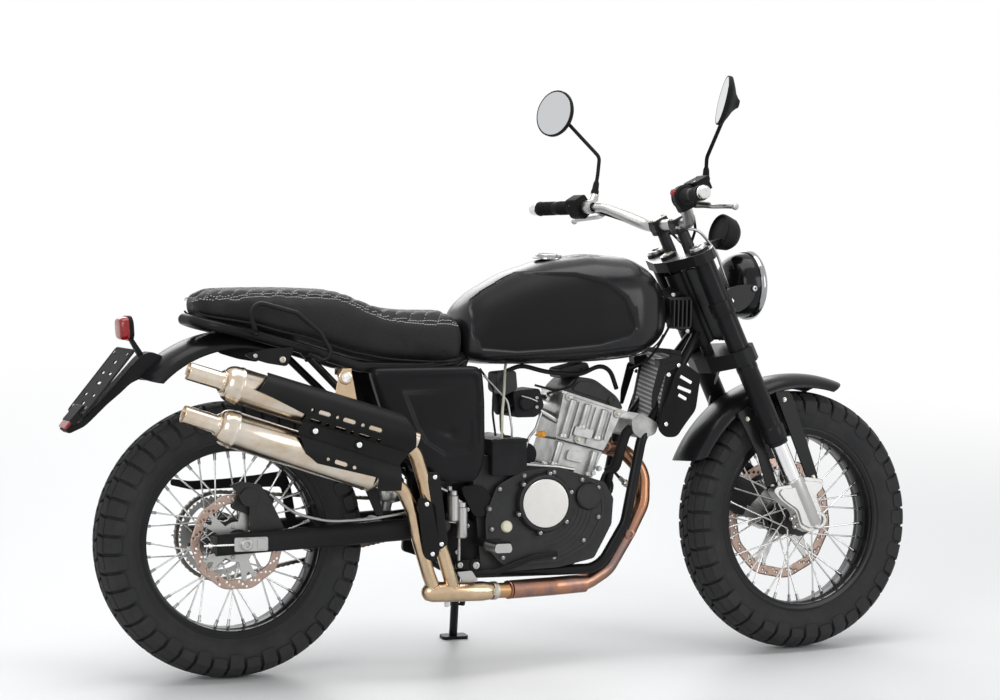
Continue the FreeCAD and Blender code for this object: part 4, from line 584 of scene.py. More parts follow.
def castFinish(name, colour, rough=0.5, grit=0.3, metallic=0.85):
    # sand-cast alloy: fine pits, and cloudy darker patches laid at random, partly the alloy's uneven tone and partly
    # painted shade for its crevices
    p = Paint(name)
    at = p.where()
    grains, clouds = p.noise(at, 1400.0, 2.0), p.noise(at, 30.0, 5.0, 0.6)
    # the cloudy darkening is partly tone that differs at random and partly painted shade standing for the crevices,
    # placed at random
    tone = p.mix(clouds.ramp(0.3, 0.75), colour, tuple(c * 0.7 for c in colour))
    return p.finish(colour=tone, metallic=metallic, roughness=rough + (clouds - 0.5) * 0.25 + (grains - 0.5) * 0.1,
                    normal=p.bump(grains, grit, 0.0004))


def plasticFinish(name, colour, rough=0.55, grit=0.25, scale=1600.0):
    # moulded plastic with a fine spark-eroded grain
    p = Paint(name)
    at = p.where()
    grains, clouds = p.cells(at, scale), p.noise(at, 12.0, 4.0)
    tone = p.mix(clouds.ramp(0.3, 0.8), colour, tuple(min(1.0, c * 1.5 + 0.004) for c in colour))
    return p.finish(colour=tone, roughness=rough + (clouds - 0.5) * 0.16, specular=0.10,
                    normal=p.bump(grains, grit, 0.0003))


def rubberFinish(name, colour=(0.022, 0.022, 0.023), rough=0.68, dust=(0.075, 0.07, 0.062), dusty=0.35):
    # rubber with bloom and dust where it wears
    p = Paint(name)
    at = p.where()
    bloom, grains = p.noise(at, 16.0, 6.0, 0.65), p.noise(at, 700.0, 2.0)
    tone = p.mix((bloom.ramp(0.42, 0.75) * dusty).clear(), colour, dust)
    return p.finish(colour=tone, roughness=rough + (bloom - 0.5) * 0.2, specular=0.10,
                    normal=p.bump(grains, 0.25, 0.0005))


def leatherFinish(name, colour=(0.017, 0.016, 0.016), rough=0.46):
    # grained leather: cells of pebble and creases with painted shade in the creases, shinier on the crowns of the
    # grain
    p = Paint(name)
    at = p.where()
    pebbles = p.cells(at, 480.0)
    creases = p.cells(p.where(), 210.0, "DISTANCE_TO_EDGE")
    clouds = p.noise(at, 9.0, 4.0)
    height = pebbles * 0.5 + creases.ramp(0.0, 0.12) * 0.6
    # half the colour along the crease lines is painted shade in the creases
    tone = p.mix(creases.ramp(0.0, 0.1), tuple(c * 0.5 for c in colour), colour)
    tone = p.mix(clouds.ramp(0.35, 0.8) * 0.5, tone, tuple(c * 1.9 for c in colour))
    return p.finish(colour=tone, roughness=rough + (clouds - 0.5) * 0.2 + pebbles * 0.12, sheen=0.02, specular=0.17,
                    normal=p.bump(height, 0.35, 0.0006))


def heatFinish(name, stops, low, high, rough=0.3):
    # steel tinted by heat: colours follow a distance along the pipe, broken by cloudy bands
    p = Paint(name)
    run = p.node("ShaderNodeSeparateXYZ", {}, {"Vector": p.where(uv=True)}, 0)
    clouds = p.noise(p.where(), 26.0, 5.0, 0.6)
    share = ((run - low) / (high - low) + (clouds - 0.5) * 0.22).clear()
    tone = p.node("ShaderNodeValToRGB", {"stops": stops}, {"Fac": share}, "Color")
    fine = p.noise(p.where((1, 1, 1)), 500.0, 3.0)
    tone = p.mix(fine.ramp(0.45, 0.8) * 0.35, tone, (0.2, 0.15, 0.1))
    return p.finish(colour=tone, metallic=1.0, roughness=rough + (clouds - 0.5) * 0.25,
                    normal=p.bump(fine, 0.05, 0.0003))


def lensFinish(name, colour, rough=0.08, transmission=0.0, scale=160.0, depth=0.4, coat=1.0):
    # a moulded lens with fine flutes behind a clear face
    p = Paint(name)
    flutes = p.cells(p.where(), scale)
    tone = p.mix(flutes.ramp(0.0, 0.6), colour, tuple(c * 0.6 for c in colour))
    return p.finish(colour=tone, roughness=rough, transmission=transmission, coat=coat,
                    normal=p.bump(flutes, depth, 0.0008))


def fabricLine(name, colour):
    # thread: fine noise picks between the colour and six tenths of it
    p = Paint(name)
    strands = p.noise(p.where(), 1500.0, 2.0)
    return p.finish(colour=p.mix(strands, colour, tuple(c * 0.6 for c in colour)), roughness=0.75,
                    normal=p.bump(strands, 0.4, 0.0003))


finishes = {material.name: material for material in (
    paintFinish("frameBlack", (0.010, 0.010, 0.011), 0.34, 0.25, 0.10),
    paintFinish("tankBlack", (0.008, 0.008, 0.009), 0.30, 0.55, 0.03),
    paintFinish("glossBlack", (0.006, 0.006, 0.007), 0.16, 0.8, 0.02),
    paintFinish("armBlack", (0.012, 0.012, 0.013), 0.42, 0.1, 0.14),
    heatFinish("headerSteel", [(0.0, (0.24, 0.15, 0.10)), (0.2, (0.42, 0.20, 0.11)), (0.4, (0.24, 0.17, 0.16)),
                               (0.58, (0.46, 0.21, 0.10)), (0.8, (0.48, 0.28, 0.14)), (1.0, (0.46, 0.33, 0.20))], 0.0,
               900.0),
    metalFinish("sleeveSteel", (0.46, 0.22, 0.13), 0.34, (1, 1, 1), 90.0, 0.06, (0.24, 0.16, 0.15), stain=0.6),
    metalFinish("riserSteel", (0.62, 0.47, 0.31), 0.22, (1, 1, 1), 120.0, 0.03, (0.46, 0.33, 0.22), stain=0.35),
    metalFinish("canSteel", (0.66, 0.60, 0.52), 0.21, (2, 40, 40), 20.0, 0.05, (0.52, 0.38, 0.24), stain=0.35),
    metalFinish("spunDisc", (0.72, 0.71, 0.69), 0.22, (1, 1, 30), 120.0, 0.05, stain=0.1),
    paintFinish("shieldBlack", (0.010, 0.010, 0.010), 0.46, 0.05, 0.12),
    tankFinish("tankLacquer", (0.008, 0.008, 0.009)),
    yokeFinish("yokeCast", 690.0),
    coreFinish("coreMesh"),
    plasticFinish("orangePlastic", (0.75, 0.30, 0.05)),
    plasticFinish("ivory", (0.62, 0.60, 0.47), 0.45, 0.2),
    paintFinish("coverBlack", (0.007, 0.007, 0.008), 0.40, 0.2, 0.05),
    metalFinish("mirrorGlass", (0.60, 0.61, 0.62), 0.03, depth=0.0, stain=0.02),
    lensFinish("lampGlass", (0.96, 0.97, 0.98), 0.03, 0.94, 90.0, 0.06),
    paintFinish("rimBlack", (0.008, 0.008, 0.009), 0.24, 0.6, 0.03),
    plasticFinish("plainPlastic", (0.015, 0.015, 0.016)),
    plasticFinish("darkPlastic", (0.008, 0.008, 0.008), 0.6, 0.15),
    rubberFinish("tyreRubber", (0.036, 0.036, 0.037), 0.62),
    rubberFinish("plainRubber", (0.014, 0.014, 0.014), 0.55, dusty=0.15),
    leatherFinish("leather"),
    castFinish("castAlloy", (0.40, 0.40, 0.39)),
    castFinish("brightCast", (0.52, 0.52, 0.51), 0.42, 0.25),
    castFinish("blackCast", (0.018, 0.018, 0.018), 0.5, 0.3, 0.3),
    metalFinish("polished", (0.78, 0.77, 0.75), 0.16, depth=0.02, stain=0.08),
    metalFinish("satinAlloy", (0.46, 0.46, 0.45), 0.34, (1, 6, 1), 240.0, 0.05, stain=0.12),
    metalFinish("chrome", (0.86, 0.86, 0.86), 0.07, depth=0.01, stain=0.05),
    metalFinish("darkChrome", (0.35, 0.35, 0.36), 0.12, depth=0.01, stain=0.05),
    metalFinish("zinc", (0.55, 0.53, 0.47), 0.34, depth=0.05, tint=(0.42, 0.38, 0.28)),
    metalFinish("discSteel", (0.42, 0.31, 0.26), 0.36, (1, 1, 1), 420.0, 0.08, (0.26, 0.17, 0.13)),
    metalFinish("spokeSteel", (0.72, 0.72, 0.71), 0.2, depth=0.02, stain=0.1),
    metalFinish("chainSteel", (0.20, 0.18, 0.15), 0.42, depth=0.1, tint=(0.05, 0.045, 0.04), stain=0.5),
    lensFinish("redLens", (0.50, 0.006, 0.008), 0.16, coat=0.12),
    fabricLine("stitch", (0.60, 0.60, 0.61)),
    metalFinish("braid", (0.42, 0.42, 0.42), 0.3, (1, 1, 1), 1500.0, 0.4),
)}
print("finishes ready")

# camera, floor and light, set out from the upright machine
view = {"at": (-2280, -7445, 1105), "azimuth": -21.65, "pitch": 2.567, "focalPixels": 3369, "frameWidth": 1000,
        "sensor": 36.0}


def addCamera():
    # the view found from the photograph: the lens is the sensor times the focal pixels over the frame width
    a, p = math.radians(view["azimuth"]), math.radians(view["pitch"])
    back = np.array([math.sin(a) * math.cos(p), -math.cos(a) * math.cos(p), math.sin(p)])
    right = np.array([math.cos(a), math.sin(a), 0.0])
    turn = leanTurn @ np.stack([right, np.cross(back, right), back], 1)
    data = bpy.data.cameras.new("photoCamera")
    data.sensor_width = view["sensor"]
    data.lens = view["sensor"] * view["focalPixels"] / view["frameWidth"]
    data.clip_end = 100.0
    camera = bpy.data.objects.new("photoCamera", data)
    matrix = np.eye(4)
    matrix[:3, :3], matrix[:3, 3] = turn, inHome(view["at"], "machine")
    camera.matrix_world = Matrix(matrix.tolist())
    bpy.context.collection.objects.link(camera)
    bpy.context.scene.camera = camera
    return camera


def backdropMaterial():
    # a pale floor: its own colour where it lies in the object's shade, plain white far away where only the eye sees it
    p = Paint("paleFloor")
    far = p.node("ShaderNodeVectorMath", {"operation": "LENGTH"}, [p.where((1, 1, 0))], "Value")
    speckle = p.noise(p.where(), 60.0, 3.0)
    body = p.node("ShaderNodeBsdfPrincipled", {}, {
        "Base Color": p.mix(speckle, (0.93, 0.93, 0.93), (0.95, 0.95, 0.95)), "Roughness": 0.5})
    plain = p.node("ShaderNodeEmission", {}, {"Color": (1.0, 1.0, 1.0, 1.0), "Strength": 1.0})
    seen = p.node("ShaderNodeLightPath", {}, {}, "Is Camera Ray")
    shiny = p.node("ShaderNodeLightPath", {}, {}, "Is Glossy Ray")
    through = p.node("ShaderNodeLightPath", {}, {}, "Is Transmission Ray")
    share = (seen + shiny + through).clear() * far.ramp(1.5, 4.5)
    mixed = p.node("ShaderNodeMixShader", {}, {"Fac": share, 1: body, 2: plain})
    p.tree.links.new(mixed.socket, p.output.inputs["Surface"])
    return p.material


def addStage():
    # a square floor at the lowest height of the cad
    size = 30.0
    low = cadBounds[0][2]
    mesh = bpy.data.meshes.new("floor")
    mesh.from_pydata([(-size, -size, low), (size, -size, low), (size, size, low), (-size, size, low)], [],
                     [(0, 1, 2, 3)])
    floor = bpy.data.objects.new("floor", mesh)
    mesh.materials.append(backdropMaterial())
    bpy.context.collection.objects.link(floor)


def addWorld():
    # soft light on the object, plain white wherever a camera, clear or glossy ray leaves the scene
    world = bpy.data.worlds.new("studio")
    bpy.context.scene.world = world
    world.use_nodes = True
    tree = world.node_tree
    tree.nodes.clear()
    path = tree.nodes.new("ShaderNodeLightPath")
    soft, plain, mix = (tree.nodes.new(kind) for kind in
                        ("ShaderNodeBackground", "ShaderNodeBackground", "ShaderNodeMixShader"))
    soft.inputs["Color"].default_value = (0.90, 0.95, 1.0, 1.0)
    soft.inputs["Strength"].default_value = 0.26
    plain.inputs["Color"].default_value = (1.0, 1.0, 1.0, 1.0)
    plain.inputs["Strength"].default_value = 1.0
    seen, sight = tree.nodes.new("ShaderNodeMath"), tree.nodes.new("ShaderNodeMath")
    seen.operation = sight.operation = "MAXIMUM"
    tree.links.new(path.outputs["Is Camera Ray"], seen.inputs[0])
    tree.links.new(path.outputs["Is Transmission Ray"], seen.inputs[1])
    tree.links.new(seen.outputs[0], sight.inputs[0])
    tree.links.new(path.outputs["Is Glossy Ray"], sight.inputs[1])
    tree.links.new(sight.outputs[0], mix.inputs["Fac"])
    tree.links.new(soft.outputs[0], mix.inputs[1])
    tree.links.new(plain.outputs[0], mix.inputs[2])
    out = tree.nodes.new("ShaderNodeOutputWorld")
    tree.links.new(mix.outputs[0], out.inputs["Surface"])


def addLight(name, at, towards, size, power):
    # an area light whose back points away from the place it lights
    data = bpy.data.lights.new(name, "AREA")
    data.shape, data.size, data.size_y, data.energy = "RECTANGLE", size[0], size[1], power
    lamp = bpy.data.objects.new(name, data)
    back = np.array(at, float) - towards
    back /= np.linalg.norm(back)
    right = np.cross([0, 0, 1], back)
    right = right / np.linalg.norm(right) if np.linalg.norm(right) > 0.01 else np.array([1.0, 0, 0])
    matrix = np.eye(4)
    matrix[:3, :3], matrix[:3, 3] = np.stack([right, np.cross(back, right), back], 1), at
    lamp.matrix_world = Matrix(matrix.tolist())
    bpy.context.collection.objects.link(lamp)


addCamera()
addStage()
addWorld()
lights = {
    "over": ((0.0, 0.0, 4.2), (4.5, 2.4), 105.0),
    "nearLeft": ((-3.6, -3.4, 2.6), (2.4, 2.6), 62.0),
    "nearRight": ((3.2, -3.8, 2.2), (1.6, 2.6), 50.0),
    "far": ((0.6, 4.2, 2.4), (3.6, 2.0), 60.0),
}
for lightName, (lightAt, lightSize, lightPower) in lights.items():
    addLight(lightName, lightAt, np.array([0.0, 0.0, 0.6]), lightSize, lightPower)
bpy.context.scene.view_settings.view_transform = "Standard"
print("stage ready")

# wheels, each about its own axle

frontWheel = {
    "radius": 315.6, "width": 114.0, "rim": 84.0, "pitches": 21, "home": "frontAxle",
    "hubFlange": 42.0, "spokeRoot": 40.0,
    "discRadius": 150.0, "discSide": 62.0, "band": 24.0, "name": "front",
}
rearWheel = {
    "radius": 319.6, "width": 138.0, "rim": 96.0, "pitches": 22, "home": "rearAxle",
    "hubFlange": 48.0, "spokeRoot": 46.0,
    "discRadius": 112.0, "discSide": -70.0, "band": 22.0, "name": "rear",
}
rimSizes = {"bead": 216.0, "flange": 229.0, "well": 204.0, "wall": 4.0}
treadDepth = 9.0


def carcassHeight(wheel, across, depth=0.0):
    # the tyre's radius at a place across it from -1 to 1: a crown that falls as a power of the distance
    fall = (wheel["radius"] - rimSizes["flange"]) * 0.30
    return wheel["radius"] - depth - fall * np.abs(across) ** 2.3


def tyreCarcass(wheel):
    # crown, round shoulders and sidewall down to the bead, as one profile turned round the axle
    half = wheel["width"] / 2 - 3.0
    beadHalf = wheel["rim"] / 2 - rimSizes["wall"] - 0.5
    t = np.linspace(-1, 1, 25)
    crown = np.stack([t * half * 0.86, carcassHeight(wheel, t * 0.9, treadDepth)], 1)
    edgeSide, edgeHigh = crown[-1]
    low = rimSizes["flange"] + 1.0
    s = np.linspace(0, 1, 16)[1:]
    bulge = np.sin(s * math.pi * 0.80) * (half - edgeSide) * 1.05
    side = edgeSide + bulge + (beadHalf - edgeSide) * s ** 2.4
    high = edgeHigh + (low - edgeHigh) * s
    right = np.stack([side, high], 1)
    left = right[::-1] * [-1, 1]
    foot = np.array([[beadHalf, rimSizes["bead"] + 1.0]])
    return np.concatenate([foot * [-1, 1], left, crown, right, foot])


def block(wheel, sideLow, sideHigh, startTurn, endTurn, skew=0.0, notch=0.0, rise=treadDepth):
    # one tread block: a grid over its place on the crown, its border dropped into the groove
    us = np.array([0.0, 0.0, 0.045, 0.35, 0.5, 0.65, 0.955, 1.0, 1.0])
    vs = np.array([0.0, 0.0, 0.06, 0.33, 0.5, 0.67, 0.94, 1.0, 1.0])
    u, v = np.meshgrid(us, vs, indexing="ij")
    border = np.minimum(np.minimum(u, 1 - u) / 0.045, np.minimum(v, 1 - v) / 0.06).clip(0, 1)
    deep = np.zeros_like(u)
    deep[0], deep[-1], deep[:, 0], deep[:, -1] = 1, 1, 1, 1
    sink = rise + 2.0
    half = wheel["width"] / 2
    across = sideLow + (sideHigh - sideLow) * v
    turn = startTurn + (endTurn - startTurn) * u + skew * (v - 0.5)
    radius = carcassHeight(wheel, across) - (1 - border) * 0.9 - deep * sink
    pit = np.exp(-((u - 0.5) / 0.13) ** 4 - ((v - 0.5) / 0.30) ** 4) * notch
    radius = radius - pit
    side = across * half * 0.955
    return np.stack([radius * np.cos(turn), side, radius * np.sin(turn)], -1)


def tyreShape(wheel):
    # a carcass with rows of blocks copied round by the pitch; the shoulder row wraps down the side
    shape = spun(tyreCarcass(wheel), 144)
    pitch = 2 * math.pi / wheel["pitches"]
    one = Shape()
    rows = (
        (0.03, 0.27, 0.18, 0.60, 0.08, 0.0), (0.03, 0.27, 0.68, 1.10, 0.08, 0.0),
        (0.31, 0.60, 0.04, 0.455, -0.04, 1.6), (0.31, 0.60, 0.54, 0.955, -0.04, 0.0),
        (0.645, 1.0, 0.045, 0.450, 0.0, 0.0), (0.645, 1.0, 0.545, 0.950, 0.0, 2.2),
    )
    for low, high, start, end, skew, notch in rows:
        for mirror in (1, -1):
            shift = 0.0 if mirror > 0 else 0.25 * pitch
            grid = block(wheel, low * mirror, high * mirror, start * pitch + shift, end * pitch + shift,
                         skew * pitch * mirror, notch)
            one.grid(grid if mirror < 0 else grid[::-1])
    for mirror in (1, -1):
        one.join(sideLug(wheel, pitch, mirror))
    turns = [turnMatrix((0, 1, 0), math.degrees(-k * pitch)) for k in range(wheel["pitches"])]
    return shape.join(one, turns)


def sideLug(wheel, pitch, mirror):
    # the blocks carried down the upper sidewall, one long and one short a pitch
    shape = Shape()
    half = wheel["width"] / 2 - 2.2
    top = carcassHeight(wheel, 0.97)
    for start, end, drop in ((0.05, 0.445, 32.0), (0.55, 0.945, 22.0)):
        u, v = np.meshgrid(np.array([0, 0, 0.1, 0.5, 0.9, 1, 1.0]), np.array([0, 0, 0.08, 0.4, 0.75, 0.95, 1.0, 1.0]),
                           indexing="ij")
        deep = np.zeros_like(u)
        deep[0], deep[-1], deep[:, 0], deep[:, -1] = 1, 1, 1, 1
        corner = (np.abs(u - 0.5) * 2) ** 3 * 3.0 * v
        radius = top - 1.0 - (drop - corner) * v
        turn = (start + (end - start) * u) * pitch + (0.25 * pitch if mirror < 0 else 0.0)
        side = half + 1.2 - 1.5 * v + (v * (1 - v)) * 3.0 - deep * 7.0
        grid = np.stack([radius * np.cos(turn), side * mirror, radius * np.sin(turn)], -1)
        shape.grid(grid if mirror < 0 else grid[::-1])
    return shape


def rimShape(wheel):
    # a drop-centre rim with rolled edges, both faces in one closed profile
    half, s = wheel["rim"] / 2, rimSizes
    roll = circle(9, -90, 180, False)
    lip = np.stack([-half + 2.2 + 2.2 * np.cos(roll + math.pi), s["flange"] - 2.2 - 2.2 * np.sin(roll)], 1)[::-1]
    outer = [(-half + 4.4, s["bead"] + 2), (-half + 8, s["bead"]), (-half + 18, s["bead"] - 2),
             (-half + 24, s["well"] + 6), (-half + 29, s["well"] + 4)]
    inner = [(-half + 28, s["well"]), (-half + 22, s["well"] + 2), (-half + 16, s["bead"] - 6.5),
             (-half + 10, s["bead"] - 7.2), (-half + 2, s["bead"] - 6.8), (-half, s["bead"] - 4.5)]
    left = [tuple(p) for p in lip[::-1]] + outer
    profile = left + [(-y, r) for y, r in reversed(left)] + [(-y, r) for y, r in reversed(inner)] + inner
    closed = np.array(profile + profile[:1])
    return spun(closed[::-1], 144)


def spokeShape(wheel, count=36, reach=48.0):
    # crossed spokes with a bend at the hub, and their nipples
    steel, nipples = Shape(), Shape()
    step = 360.0 / count
    for index in range(count):
        side = 1 if index % 2 else -1
        way = 1 if (index // 2) % 2 else -1
        outer, inner = math.radians(index * step), math.radians(index * step + way * reach)
        start = np.array([wheel["spokeRoot"] * math.cos(inner), side * (29.0 + way * 2.4),
                          wheel["spokeRoot"] * math.sin(inner)])
        end = np.array([(rimSizes["well"] - 1.2) * math.cos(outer), side * 7.0,
                        (rimSizes["well"] - 1.2) * math.sin(outer)])
        along = (end - start) / np.linalg.norm(end - start)
        head = start - [0, side * way * 3.0, 0]
        path = np.array([head, start - along * 0.5, start + along * 3.0, end - along * 14])
        steel.carried(path, ring(2.0, 10), up=(0, 1, 0.1))
        steel.lathe([(0, 0.01), (0, 4.2), (2.0, 4.0), (2.6, 0.01)], head, head - start, 10)
        nipples.lathe([(0, 2.1), (0, 3.6), (9, 3.4), (13, 4.4), (15.5, 4.4), (15.5, 0.01)], end - along * 15.5, along,
                      12)
    return steel, nipples


def wavyDisc(wheel, waves=10, holeRadius=3.1):
    # a petal band: its radius swings with the angle; each hole is four cells left out, their corners moved to a circle
    count, rows = 300, 9
    angles = circle(count)
    share = np.linspace(0, 1, rows)[None, :]
    edge = wheel["discRadius"] - 1.9 + 1.9 * np.cos(angles * waves)
    radius = edge[:, None] - wheel["band"] * (1 - share)
    x, z = radius * np.cos(angles)[:, None], radius * np.sin(angles)[:, None]
    keep = np.ones((count, rows - 1), bool)
    group = np.arange(0, count, 15)
    u = np.concatenate([group + 2, group + 6, group + 10])
    v = np.repeat([2, 4, 6], len(group))
    middle = np.stack([x[u, v], z[u, v]], 1)
    for du in (-1, 0, 1):
        for dv in (-1, 0, 1):
            if du or dv:
                near = ((u + du) % count, v + dv)
                way = np.stack([x[near], z[near]], 1) - middle
                way *= holeRadius / np.linalg.norm(way, axis=1)[:, None]
                x[near], z[near] = (middle + way).T
            if du < 1 and dv < 1:
                keep[(u + du) % count, v + dv] = False
    return Shape().cells(np.stack([x, np.full_like(x, wheel["discSide"]), z], -1), keep, closeU=True)


def discCarrier(wheel, arms=5):
    # arms from the hub's bolt ring out to buttons on the disc
    side, shape = wheel["discSide"], Shape()
    reach = wheel["discRadius"] - wheel["band"] - 4
    for index in range(arms):
        outline = [(30, -13), (44, -12), (reach - 14, -15), (reach + 2, -17), (reach + 3, -7), (reach - 10, -2),
                   (reach - 12, 4), (reach + 1, 10), (reach - 2, 17), (reach - 16, 14), (44, 12), (30, 13)]
        arm = roundPlate(outline, 6, side - 2.6, side + 2.6)
        turn = turnMatrix((0, 1, 0), index * 360 / arms)
        shape.join(arm, [turn])
        for place in ((reach + 1, -12), (reach, 13)):
            for way in (1, -1):
                at = turn @ np.array([place[0], side + way * 2.0, place[1]])
                shape.lathe([(0, 5.6), (1.6, 5.4), (2.2, 4.2), (2.2, 2.6), (1.0, 2.4), (1.0, 0.01)], at, (0, way, 0),
                            18)
    shape.join(spun([(side - 3, 46), (side + 3, 46), (side + 3, 28.5), (side - 3, 28.5), (side - 3, 46)][::-1], 60))
    for index in range(5):
        at = turnMatrix((0, 1, 0), 36 + index * 72) @ np.array([37.0, side + math.copysign(3.0, side), 0.0])
        shape.capBolt(at, (0, math.copysign(1, side), 0), 5.0, 4.0)
    return shape


def frontHubShape():
    # a slender barrel between two flanges, flaring to the disc's side
    half = [(-74, 10), (-74, 16), (-50, 17), (-40, 20), (-35, 30), (-33.5, 41), (-31, 42.5), (-28, 42.5), (-26, 40),
            (-23, 28), (-14, 24.5), (0, 23.5), (14, 24.5), (23, 28), (26, 40), (28, 42.5), (31, 42.5), (33.5, 41),
            (36, 31), (44, 27), (53, 26), (54, 38), (59.5, 38), (60, 27.5), (65, 27.5), (67, 17), (74, 16), (74, 10)]
    return spun(half[::-1], 72)


def rearHubShape():
    # a wider barrel with the sprocket's carrier on the left and the disc's seat on the right
    profile = [(-95, 10), (-95, 16), (-75, 16), (-75, 27.5), (-68, 27.5), (-67.5, 38), (-62, 38), (-60, 30),
               (-40, 28.5), (-35, 36), (-33, 47), (-31, 48), (-28, 48), (-26, 46), (-22, 34), (0, 29), (22, 34),
               (26, 46), (28, 48), (31, 48), (33, 47), (37, 37), (46, 35), (66, 43), (72, 44.5), (78, 44.5),
               (79.4, 43), (79.4, 32.5), (86, 32.5), (86.5, 18), (95, 18), (95, 10)]
    return spun(profile[::-1], 72)


def sprocketShape(teeth=50, side=82.0, pitch=12.7):
    # teeth as a smooth wave of the radius with flats, and five windows left between the arms
    count = teeth * 8
    angles = circle(count)
    root = pitch / (2 * math.sin(math.pi / teeth)) - 6.0
    wave = np.clip(np.cos(angles * teeth) * 1.6 + 0.3, -1, 1)
    edge = root - 2.2 + 2.2 * wave
    inner = np.full(count, root - 16.0)
    shape = Shape()
    loop = [(edge - 0.8, side + 2.6), (edge, side + 1.2), (edge, side - 1.2), (edge - 0.8, side - 2.6),
            (inner, side - 2.6), (inner, side + 2.6)]
    points = np.stack([np.stack([r * np.cos(angles), np.full(count, float(y)), r * np.sin(angles)], 1) for r,
                       y in loop], 1)
    shape.grid(points, closeU=True, closeV=True)
    for index in range(5):
        outline = [(34, -20), (52, -12), (root - 22, -13), (root - 13, -26), (root - 13, 26), (root - 22, 13),
                   (52, 12), (34, 20)]
        arm = roundPlate(outline, 7, side - 2.5, side + 2.5)
        turn = turnMatrix((0, 1, 0), 36 + index * 72)
        shape.join(arm, [turn])
        at = turn @ np.array([46.0, side + 2.4, 0.0])
        shape.hexBolt(at, (0, 1, 0), 11, 6)
    shape.join(spun([(side - 2.5, 56), (side + 2.5, 56), (side + 2.5, 33.5), (side - 2.5, 33.5),
                     (side - 2.5, 56)][::-1], 72))
    return shape


def addWheel(wheel):
    # one wheel in its axle's home: tyre, rim, spokes, hub and disc
    home, name = wheel["home"], wheel["name"]
    build(name + "Tyre", tyreShape(wheel), "tyreRubber", home, replaces=[name + "_tyre"], sharp=35)
    build(name + "Rim", rimShape(wheel), "rimBlack", home, replaces=[name + "_rim"], sharp=50)
    steel, nipples = spokeShape(wheel)
    build(name + "Spokes", steel, "spokeSteel", home, replaces=[name + "_hub"])
    build(name + "Nipples", nipples, "darkChrome", home)
    hub = frontHubShape() if name == "front" else rearHubShape()
    build(name + "Hub", hub, "blackCast", home, sharp=30)
    build(name + "Disc", wavyDisc(wheel), "discSteel", home, replaces=[name + "_disc"], sharp=35, wall=4.0)
    build(name + "DiscCarrier", discCarrier(wheel), "satinAlloy", home, bevel=0.5)


addWheel(frontWheel)
addWheel(rearWheel)
build("rearSprocket", sprocketShape(), "satinAlloy", "rearAxle", replaces=["rear_sprocket"],
      sharp=35)
print("wheels ready")
# the CAD nodes that stay are dressed here; the pieces further on replace the others

nodeFinish = {
    "main_frame": "frameBlack", "crankcase": "blackCast", "clutch_cover": "blackCast",
    "heat_shields": "shieldBlack", "grab_hoops": "frameBlack", "drive_chain": "chainSteel",
    "rear_calliper": "blackCast", "triple_clamps": "yokeCast", "front_calliper": "blackCast",
    "side_stand": "frameBlack",
}
for nodeName, finishName in nodeFinish.items():
    dressed = bpy.data.objects.get(nodeName)
    dressed.data.materials.clear()
    dressed.data.materials.append(finishes[finishName])
    dressed.data.polygons.foreach_set("use_smooth", np.ones(len(dressed.data.polygons), bool))
    dressed.data.set_sharp_from_angle(angle=math.radians(28))

rearFrame = {
    "rail": [(566, 52, 738), (520, 90, 722), (440, 96, 712), (290, 96, 717), (140, 98, 765), (20, 96, 798),
             (-54, 88, 816), (-92, 50, 827), (-104, 0, 830)],
    "railRadius": 13.0, "strutRadius": 9.0, "strut": [(474, 56, 440), (150, 96, 756)],
}


def addRearFrame(size):
    # the seat rails, the loop behind and the two struts, with a weld bead where each tube meets the next
    tubes = Shape()
    tubes.tube(size["rail"], size["railRadius"], 60, 24)
    tubes.tube(size["strut"], size["strutRadius"], 10, 20)
    foot = np.array(size["strut"], float)
    along = (foot[1] - foot[0]) / np.linalg.norm(foot[1] - foot[0])
    for distance, radius in ((14.0, 10.6), (-22.0, 10.6)):
        place = foot[0] + along * distance if distance > 0 else foot[1] + along * distance
        tubes.weldBead(place, along, radius)
    tubes.mirrored()
    tubes.tube([(60, -96, 787), (60, 96, 787)], 8, 10, 20)
    build("rearFrameTubes", tubes, "frameBlack", replaces=["rear_frame"], sharp=30)


arm = {
    "tail": (-66, 318), "front": (440, 340), "side": 114.0, "half": (18.0, 26.0),
    "plateFace": 132.1, "plateThick": 6.0, "axleHigh": 320.0,
}


